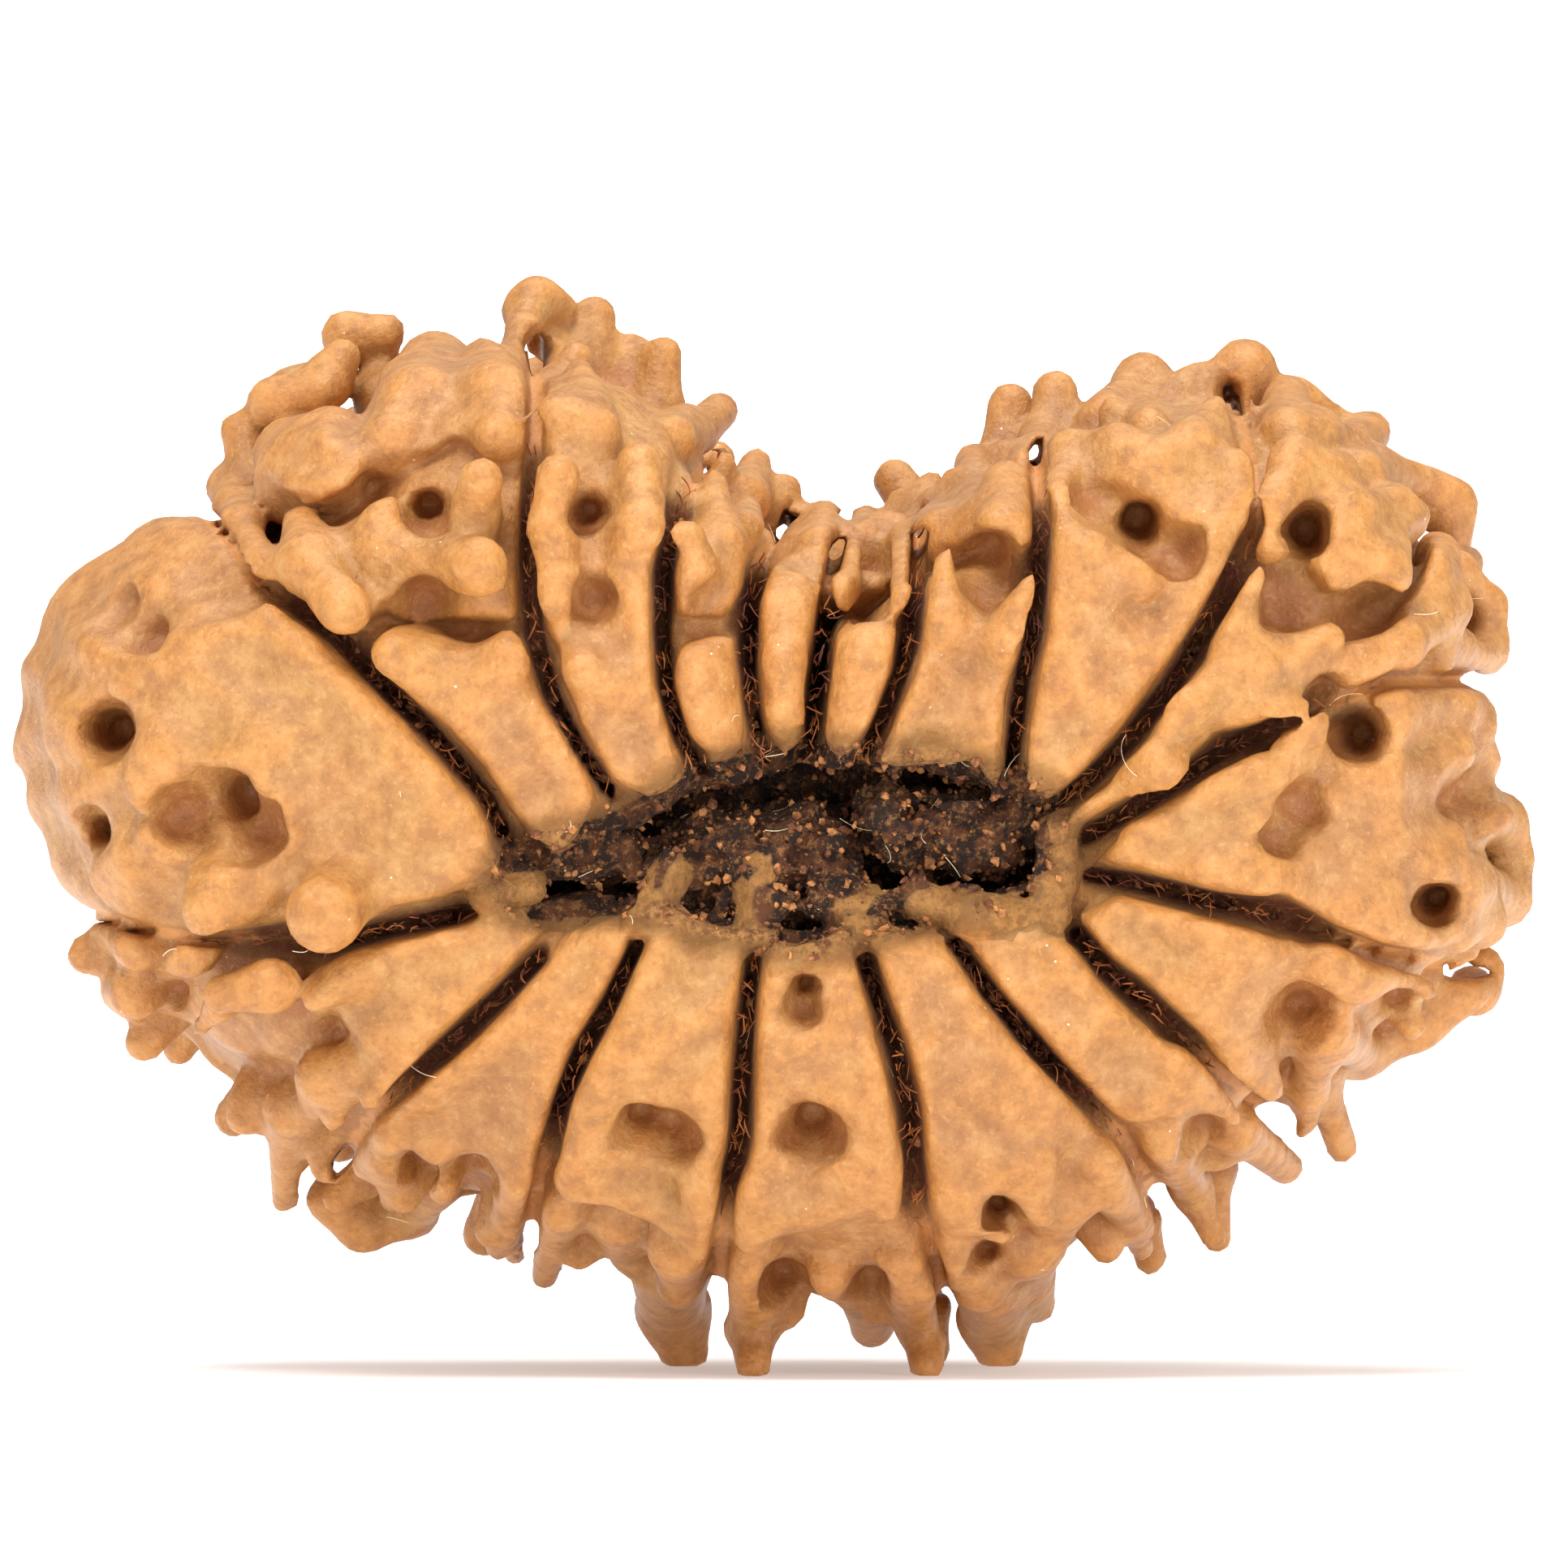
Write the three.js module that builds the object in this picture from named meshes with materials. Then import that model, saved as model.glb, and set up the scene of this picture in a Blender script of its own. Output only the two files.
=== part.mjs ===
// A many-faced rudraksha bead: the woody stone of a fruit, grown as one kidney-shaped piece. Its mouth
// faces -Y, its notch is on top, and it stands on its lowest spines. Seventeen segments run from the mouth
// round the rim to the back, parted by deep clefts and covered with knobs, spines and pits. All sizes are
// in millimetres.
import * as THREE from "three";

// Driving dimensions.
const HALF_DEPTH = 10.2; // from the middle of the bead to the crest of its face
const BULGE = 2.6; // exponent of the side profile: 2 is an ellipse, more is boxier
// X and z of the middle of the mouth, which the segments run from.
const CENTRE = new THREE.Vector2(0, 12.8);
const CLEFT_DEPTH = { face: 2.6, rim: 0.6 };
const CLEFT_REACH = 0.4; // how far out from the body a cleft still parts the knobs at its full width
const CLEFT_HALF_WIDTH = { mouth: 0.16, middle: 0.21, rim: 0.13 };
// A cleft's width over its nominal one at the face, how much it narrows a millimetre down, and its floor's
// rounding.
const CLEFT_FLARE = { top: 1.4, slope: 0.35, floor: 0.2 };
// How far out, as shares of the outline, what differs between the mouth, the middle and the rim changes
// over.
const FADE = { mouth: [0.3, 0.55], rim: [0.55, 0.88], groundMouth: [0.4, 0.75], groundRim: [0.92, 1.02] };
const SHOULDER = 0.3; // rounding of a segment's edges along its clefts
const MOUTH_DIP = { depth: 1.3, reach: 3.2 };
const MOUTH_DEPTH = 5.5;
const WEB = 0.5; // how far a knob's foot flares into its segment
const FULLNESS = 1.12; // a knob's radius over its nominal one
const GROUND_DROP = { mouth: 0.9, middle: 1.35, rim: 0.35 }; // how far the wood lies below the plates' face
// Rounding of a plate's edge and foot, how far its edge is raised and how wide the raised strip is, and how
// far its sides spread a millimetre down.
const PLATE = { edge: 0.35, web: 0.3, rim: 0.16, strip: 0.3, fade: 1.1, spread: 0.08 };
const PIT_EDGE = 0.4;
const PIT_CLEARANCE = 2; // how far in front of the face a pit is cut free
const PITH_EDGE = 0.2;
const PIT_TAPER = { top: 1.25, floor: 0.65 }; // a pit's radius over its nominal one
const PIT_WOBBLE = { height: 0.11, wave: 2.9 }; // how far a pit's wall strays from round
const BACK_PULL = { gain: 0.9, reach: 4.5 }; // on the back the clefts run in closer to the centre
const PITH_HALF_DEPTH = 3.2;
const PITH_BULGE = 3; // exponent of a pith lump's shape: blockier than an ellipsoid
const ROOT = 2.6; // how deep a knob's foot is rooted in the wood
const SWELL = { height: 0.18, wave: 1.8 }; // gentle unevenness of the wood
const SKIN_REACH = 5; // farther than this from the smooth body there is nothing to shape

// How finely the form is sampled, and how the solid is thinned.
const CELL = 0.34;
const TRIANGLES = 11600;
const HIDDEN_CARE = 0.3; // the back may change this much more freely than the face
const SLIVER = 0.08; // the least height of a triangle over its longest edge, unless it had less before
const MOST_TURN = 0.3; // cosine of the angle that thinning may turn a triangle by
const RELAX_STEPS = [0.5, -0.52, 0.5, -0.52, 0.5, -0.52, 0.5, -0.52];
const SOLE_CLEARANCE = 0.02; // what isn't a sole stays this far off the ground
const FLAT = 1e-6; // vertices this near the ground lie on it

// How far each segment stands above the common face, clockwise from the left one.
const SEGMENT_LIFT = [0.3, 0.1, 0.2, 0, -0.2, -0.1, 0.1, 0.2, 0.1, 0.3, 0, 0, 0.1, 0.2, 0.1, 0, -0.1];

// The body's outline seen from the face, without its knobs: x and z, anticlockwise from the right.
const OUTLINE = [
  [17.2, 12.4], [16.9, 15.5], [16.5, 18.4], [15.5, 20.9], [13.7, 22.8], [11.3, 23.9], [8.8, 23.7],
  [6.7, 22.9],
  [5.2, 22], [3.8, 21.1], [2.2, 20.6], [0.8, 20.6], [-0.6, 21.2], [-1.9, 22.3], [-3.3, 23.7], [-5.1, 24.7],
  [-7.2, 24.8], [-9.5, 24.1], [-11.5, 22.8], [-13.2, 21.1], [-15.2, 21], [-17.1, 19.8], [-18.5, 17.4],
  [-18.6, 14.9],
  [-17.9, 12.6], [-17, 10.8], [-16.6, 9.2], [-14.8, 8], [-13.1, 6.6], [-11.4, 5.5], [-9.4, 4.8], [-7, 3.7],
  [-4.5, 3], [-2, 2.2], [0.8, 1.9], [3.2, 1.8], [5.5, 2.1], [7.5, 3.2], [9.5, 4.6], [11.5, 6], [13.2, 7.4],
  [15, 8.5], [16.7, 9.9],
];

// The clefts between the segments, each from the mouth out past the rim: x and z, clockwise from the left.
const CLEFTS = [
  [[-6.6, 12.9], [-7.2, 14.2], [-8.5, 15.7], [-9.7, 16.9], [-10.9, 18.1], [-12.6, 19.3], [-14.6, 21.6]],
  [[-4.2, 14.3], [-4.9, 15.3], [-5.6, 16.6], [-6, 18], [-6.15, 20], [-6.05, 22], [-6, 23.8], [-6.3, 26.4]],
  [[-2, 14.9], [-2.5, 15.6], [-2.85, 16.8], [-2.95, 18.2], [-2.9, 19.6], [-2.7, 20.7], [-2.3, 21.7],
    [-0.9, 24]],
  [[-0.5, 15.1], [-0.75, 16.2], [-0.9, 17.5], [-0.85, 18.8], [-0.6, 19.9], [-0.1, 20.9], [0.7, 22.4]],
  [[0.65, 15.2], [0.75, 16.5], [0.95, 18], [1.1, 19.2], [1.3, 20.2], [1.6, 22.2]],
  [[1.8, 15], [2.35, 16], [2.85, 17.2], [3.1, 18.3], [3.25, 19.4], [3.35, 20.6], [3.3, 22.6]],
  [[5.45, 14.7], [5.6, 15.8], [5.75, 17], [6.05, 18.2], [6.15, 19.4], [6.25, 20.6], [6.2, 21.8], [6, 24.4]],
  [[6.6, 14], [7.4, 14.6], [8.3, 15.5], [9.4, 16.9], [10.3, 18.4], [10.9, 19.6], [11.45, 20.8], [11.4, 22],
    [10.9, 25]],
  [[7.3, 13.2], [8.3, 13.8], [9.6, 14.6], [10.8, 15.4], [11.9, 15.9], [13.2, 16.4], [14.8, 17], [18.6, 17]],
  [[7.4, 12.3], [8.6, 12.1], [10, 11.75], [11.5, 11.45], [13, 11], [14.4, 10.45], [16, 10.1], [18.6, 9.4]],
  [[7.05, 10.9], [7.8, 10], [8.8, 9.2], [9.8, 8.3], [10.6, 7.5], [11.4, 6.8], [13.4, 5.4]],
  [[4.1, 10.7], [5, 9.4], [6.2, 8], [7.2, 7], [8.1, 6.1], [8.8, 5], [9.9, 2.8]],
  [[1.9, 10.4], [2.3, 9.2], [2.75, 7.9], [3.05, 6.6], [3.15, 5.4], [3.25, 4.2], [3.7, 2.8], [4.1, 0.6]],
  [[-0.7, 10.5], [-0.9, 8.8], [-1, 7.2], [-1.05, 6], [-1.3, 5], [-1.5, 3.8], [-1.65, 0.8]],
  [[-3.5, 10.7], [-4.2, 9.2], [-4.9, 8], [-5.4, 6.8], [-5.8, 5.4], [-6.1, 4.2], [-6.6, 1.8]],
  [[-5.9, 10.3], [-6.9, 9.3], [-8, 8.3], [-9, 7.4], [-10, 6.5], [-11.8, 3.9]],
  [[-6.8, 11.7], [-8, 11.3], [-9.5, 11], [-11, 10.6], [-12.6, 10.8], [-14.2, 10.7], [-15.8, 11],
    [-18.4, 11.8]],
];

// The mouth as a chain of discs: x, z and radius.
const MOUTH = [
  [-6.1, 12.2, 0.5], [-4.2, 12.5, 0.65], [-1.6, 12.9, 1.6], [0.5, 12.9, 2.05], [3.4, 13.2, 1.65],
  [5.2, 13.1, 1.25],
];

// The raised plates that the segments show on the face: how far each stands above the common face, and its
// corners, x and z.
const PLATES = [
  // First segment: the big smooth one on the left.
  [0.1, [-6.8, 12.5], [-7.1, 13.7], [-8.2, 14.9], [-9.3, 15.9], [-10.3, 17], [-11.5, 18.2], [-12.5, 18.8],
    [-13.6, 18.4], [-15, 18.2], [-16.3, 17.6], [-16.4, 16.7], [-15.8, 16], [-15.9, 15.2], [-15.5, 14.3],
    [-14.8, 14.3], [-14.2, 14.9], [-13.4, 14.9], [-13.35, 14.2], [-12.7, 13.6], [-12.6, 12.9],
    [-13.4, 12.6], [-14.2, 12.4], [-14.4, 11.8], [-14.2, 10.8], [-13.4, 10.6], [-12.8, 11.2], [-12, 11.7],
    [-10.2, 11.4], [-9.2, 11.6], [-8.2, 11.8], [-7.4, 12.2]],
  [-0.35, [-19.5, 10], [-19.5, 20], [-15, 23], [-12.4, 19.6], [-9, 16], [-9, 12], [-12, 11.2], [-14, 10.6]],
  // Second segment: upper left.
  [0.1, [-5.9, 13.1], [-5.1, 12.9], [-4.6, 14], [-4.6, 15.1], [-5.4, 16.1], [-5.95, 17], [-6.1, 17.8],
    [-6.7, 18.1], [-7.3, 17.8], [-8, 17.9], [-8.7, 18.3], [-9.5, 18.2], [-9.9, 17.7], [-9.7, 17],
    [-8.8, 16.4], [-8, 15.8], [-7.2, 14.9], [-6.6, 13.9]],
  [0.4, [-11.9, 20.9], [-11.7, 19.9], [-10.9, 18.6], [-10.3, 18.5], [-9.6, 18.9], [-8.8, 19.3], [-8, 19.3],
    [-7.3, 19.1], [-6.8, 19.3], [-6.8, 20], [-7.2, 20.4], [-7.8, 20.2], [-8.6, 20.2], [-9.2, 20.5],
    [-9.5, 21.2], [-10.1, 21], [-10.9, 20.6], [-11.4, 20.8]],
  [0.8, [-12.8, 22.6], [-12.3, 21.7], [-11.2, 21.4], [-10.2, 21.8], [-10.2, 22.3], [-10.9, 22.9],
    [-11.2, 23.4], [-12.4, 23.3]],
  [0.2, [-9.8, 25.2], [-10.2, 23.6], [-9.6, 22.8], [-8.7, 22.5], [-8, 22.9], [-7, 22.6], [-6.4, 22.5],
    [-6.2, 23.6], [-6.3, 24.7], [-7, 25], [-7.9, 25], [-8.7, 25.4]],
  [-0.3, [-12.4, 21], [-11.4, 19.4], [-9.4, 18.6], [-6.4, 18.4], [-6.3, 24.4], [-8.8, 24.8], [-10.4, 23.6],
    [-12.4, 23.2]],
  // Third segment.
  [-0.15, [-5.8, 19], [-3.2, 19.6], [-2.9, 21.4], [-2.6, 23], [-3.2, 24.2], [-5.8, 24.4]],
  [0.1, [-4.2, 14.6], [-3.2, 14.2], [-2.4, 14.7], [-2.6, 15.6], [-3, 16.9], [-3.1, 18], [-3.2, 19.5],
    [-3.2, 20.3], [-4, 20.3], [-4.3, 19.6], [-4.9, 19.1], [-5.8, 19.2], [-5.9, 18.4], [-5.4, 17.8],
    [-5.2, 16.9], [-4.9, 16], [-4.5, 15.3]],
  // Fourth segment.
  [0.2, [-2.3, 15.7], [-1.7, 15.1], [-1.1, 15.4], [-0.9, 16.2], [-1.1, 17.3], [-1.2, 18], [-1.7, 18],
    [-2.4, 17.8], [-2.8, 17.1], [-2.7, 16.3]],
  [0, [-2.6, 18.6], [-1.4, 18.6], [-1, 19.2], [-0.9, 20.3], [-1.4, 20.9], [-2.2, 20.7], [-2.6, 20.1],
    [-2.75, 19.4]],
  // Fifth and sixth segments: the short ones in the notch.
  [0.2, [-0.6, 15.9], [0.1, 15.3], [0.6, 15.6], [0.7, 17], [0.85, 18.4], [1.1, 19.6], [1.1, 20.2],
    [0.3, 20.1], [-0.3, 19.8], [-0.65, 18.8], [-0.7, 17.2]],
  [0.3, [1, 15.8], [1.2, 15.2], [1.7, 15.1], [2.1, 15.7], [2.6, 16.6], [2.8, 17.4], [2.8, 18.1],
    [2.5, 18.7], [2.1, 18.2], [1.5, 18.4], [1.1, 18], [1, 17]],
  // Seventh segment.
  [0.1, [2.4, 15.1], [2.7, 14.6], [3.5, 15], [4.3, 15.1], [4.8, 15], [5, 14.6], [5.4, 14.8], [5.3, 15.6],
    [5.3, 16.6], [5.6, 17.4], [5.8, 18.4], [5.95, 19.2], [5.7, 19.4], [5.4, 18.8], [4.9, 18.5], [4.5, 18.8],
    [4.3, 19.5], [3.6, 19.5], [3.3, 19.3], [3.3, 18], [3.1, 17], [2.7, 16.2]],
  [0.1, [3.4, 20.4], [4.1, 20.3], [4.8, 20.6], [5.2, 20.1], [5.9, 20.1], [6, 21], [6, 22], [5.4, 22.1],
    [4.9, 21.8], [4, 21.8], [3.5, 21.3]],
  // Eighth segment: upper right.
  [0.1, [5.9, 14.5], [6.6, 14], [7.2, 14.6], [8, 15.6], [9, 17], [9.9, 18.4], [10.5, 19.5], [11.1, 20.6],
    [11.35, 21.5], [11.1, 22.6], [10.9, 23.3], [10.5, 23.9], [10.1, 23.5], [9.6, 23], [8.7, 22.8],
    [7.9, 22.9], [6.9, 22.7], [6.5, 22.2], [6.4, 21], [6.25, 19], [6.3, 18], [6.1, 16.8], [5.9, 15.8]],
  // Ninth segment: a narrow strip from the mouth that fans out to the upper right.
  [0.2, [6.7, 13.3], [7.6, 13.7], [8.6, 14.2], [9.4, 14.3], [9.9, 15.2], [10.4, 15.8], [11.5, 15.8],
    [12.2, 16.4], [12.7, 17.2], [13.5, 18.1], [13.2, 18.4], [12.2, 18], [11.5, 18.3], [11.5, 19.3],
    [11.2, 19.2], [10.9, 18.5], [10.4, 17.6], [9.6, 16.8], [9, 16], [8.5, 15], [7.7, 14.4], [6.9, 13.9]],
  [0.5, [11.9, 21], [12.1, 22.3], [12.5, 22.9], [13, 22.6], [13.8, 22.2], [13.9, 21.2], [14.6, 21.6],
    [15, 21.5], [15.55, 21], [15.2, 20.4], [15.1, 19.6], [14.6, 19], [13.9, 18.9], [13.2, 19.2],
    [12.9, 19.8], [12.4, 20], [11.9, 20.2]],
  [0.3, [13, 17.2], [14, 17.1], [15.3, 17.7], [16.3, 18.3], [16.7, 19], [16.4, 20.3], [15.9, 20.5],
    [15.6, 19.5], [15.2, 18.9], [14.6, 18.4], [13.9, 17.9]],
  // Tenth segment: the broad right one.
  [0.1, [7.7, 12.7], [8.6, 13.5], [10, 14.4], [11.4, 15.1], [12.2, 15], [12.2, 16.2], [13, 16.4],
    [14, 16.9], [15.5, 17.1], [17, 16.7], [17.6, 15.9], [17.6, 15], [16.3, 14.9], [16, 14.3], [16.2, 13.5],
    [16.7, 12.8], [17.3, 12.1], [17.5, 11.1], [16.5, 10.7], [15.6, 10.4], [14.3, 10.6], [13, 11.3],
    [12, 11.9], [10.5, 11.8], [9.2, 12], [8.2, 12.4]],
  // Eleventh segment.
  [0.2, [7.1, 11.2], [8.2, 11.8], [9.6, 11.4], [11, 11], [12.6, 10.6], [14, 10], [15.4, 9.7], [15.7, 9.3],
    [15.2, 9.15], [14, 9.15], [13.2, 9.3], [12.6, 9.5], [12.1, 9.1], [11.9, 8.3], [12.05, 7.3],
    [11.95, 6.85], [11.4, 6.95], [10.7, 7.8], [9.7, 8.8], [8.6, 9.8], [7.6, 10.4]],
  [-0.5, [12, 9.3], [12, 7.3], [12.1, 6.7], [12.8, 6], [13, 6.3], [13.1, 7.6], [13.3, 8.5], [14.2, 9],
    [13.2, 9.5]],
  // Twelfth segment.
  [0.1, [4.5, 10.5], [5.2, 9.4], [6.1, 8.3], [7, 7.2], [7.9, 6.3], [8.6, 6.3], [9.3, 6.4], [10, 6.2],
    [10.7, 6.1], [10.9, 6.4], [10.3, 7.3], [9.3, 8.1], [8.4, 8.9], [7.6, 9.8], [7.05, 10.6], [5.8, 10.9]],
  [-0.6, [8.2, 6.1], [8.8, 5.1], [9.4, 4.3], [10.2, 3.3], [10.7, 3.3], [10.4, 4.2], [10.2, 5.2], [11, 5.2],
    [11.9, 4.8], [12.7, 4.7], [12.6, 5.2], [12.1, 6], [11.6, 6.7], [11, 6.6], [10, 6.2]],
  // Thirteenth segment.
  [0.1, [2, 10.8], [2.5, 9.3], [2.95, 8], [3.2, 6.7], [3.35, 5.4], [3.55, 4.2], [3.9, 3.4], [4.5, 3.6],
    [5.3, 3.2], [5.5, 3.5], [5, 4.1], [5.3, 4.3], [5.8, 3.9], [6.2, 3.6], [6.6, 3.9], [7, 4.4], [7.5, 4.4],
    [8.2, 3.7], [8.65, 3.4], [8.85, 3.7], [8.5, 4.7], [7.8, 5.9], [6.9, 6.9], [6, 7.9], [5.1, 9],
    [4.3, 10.2], [3.6, 10.9]],
  [-0.4, [3.8, 3.5], [4, 2.6], [4.5, 1.9], [5.3, 1.4], [5.9, 1.6], [6.1, 1.9], [6.6, 2.2], [6.9, 2.9],
    [6.2, 3.3], [5, 3.4]],
  // Fourteenth segment: bottom middle.
  [0.1, [-0.5, 10.7], [-0.72, 9.2], [-0.75, 7.2], [-0.75, 5.9], [-1, 4.8], [-1.15, 3.7], [-0.8, 3.25],
    [0, 3.6], [1, 3.7], [1.8, 4], [2.4, 4.05], [2.75, 4.4], [2.8, 5.3], [2.65, 6.5], [2.35, 7.8], [2, 9.3],
    [1.75, 10.4], [1.3, 10.9], [0.8, 10.7], [0, 10.7]],
  [-0.6, [-1.3, 3.4], [-1.35, 2.4], [-1.1, 1.5], [-0.6, 1.2], [-0.1, 1.7], [0.5, 1.7], [1.1, 1.5],
    [1.6, 1.1], [2.4, 1.2], [2.6, 1.4], [3, 1], [3.5, 1], [3.55, 2], [3.3, 3.5], [2.9, 4.2], [1, 4]],
  // Fifteenth segment.
  [0.1, [-3.3, 10.9], [-3.9, 9.6], [-4.5, 8.3], [-5.05, 7.1], [-5.3, 5.9], [-5.45, 5], [-5.2, 4.5],
    [-4.6, 4.4], [-3.8, 4.25], [-3.2, 3.9], [-2.7, 3.6], [-2.35, 3.2], [-2.1, 3.1], [-1.95, 3.3],
    [-1.7, 4.4], [-1.35, 5.6], [-1.25, 7.2], [-1.15, 8.8], [-0.95, 10.2], [-1, 11], [-1.7, 11],
    [-2.5, 11.6]],
  [-0.9, [-5.6, 4.6], [-5.6, 3.6], [-4.8, 3], [-4, 2.9], [-3.4, 2.5], [-2.9, 2.2], [-2.2, 2], [-1.9, 2.8],
    [-1.9, 3.8], [-4, 4.6]],
  // Sixteenth segment.
  [0, [-5, 11], [-5.7, 10.4], [-6.7, 9.2], [-7.6, 8.2], [-8.8, 7.2], [-9.9, 6.3], [-10.45, 5.5],
    [-10.35, 4.9], [-9.95, 4.6], [-9.75, 4], [-9.45, 4], [-9.15, 4.9], [-8.9, 5.4], [-8.5, 5.3],
    [-8.1, 5.1], [-7.4, 5.2], [-6.95, 4.8], [-6.9, 3.8], [-7.3, 3.2], [-7.1, 2.8], [-6.7, 3.2], [-6.2, 4.4],
    [-5.7, 6], [-5.2, 7.3], [-4.5, 8.7], [-3.7, 10.4], [-4.2, 11.2]],
  // Seventeenth segment: lower left.
  [0.1, [-5.9, 10.9], [-6.7, 11.5], [-8.3, 11.1], [-10.2, 10.5], [-11.4, 9.9], [-11.55, 9.3], [-11.3, 8.9],
    [-10.8, 9], [-10.3, 8.3], [-10.15, 7.5], [-10.25, 7], [-9.9, 6.7], [-9.4, 6.9], [-8.2, 8.1], [-7, 9.4]],
];

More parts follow.
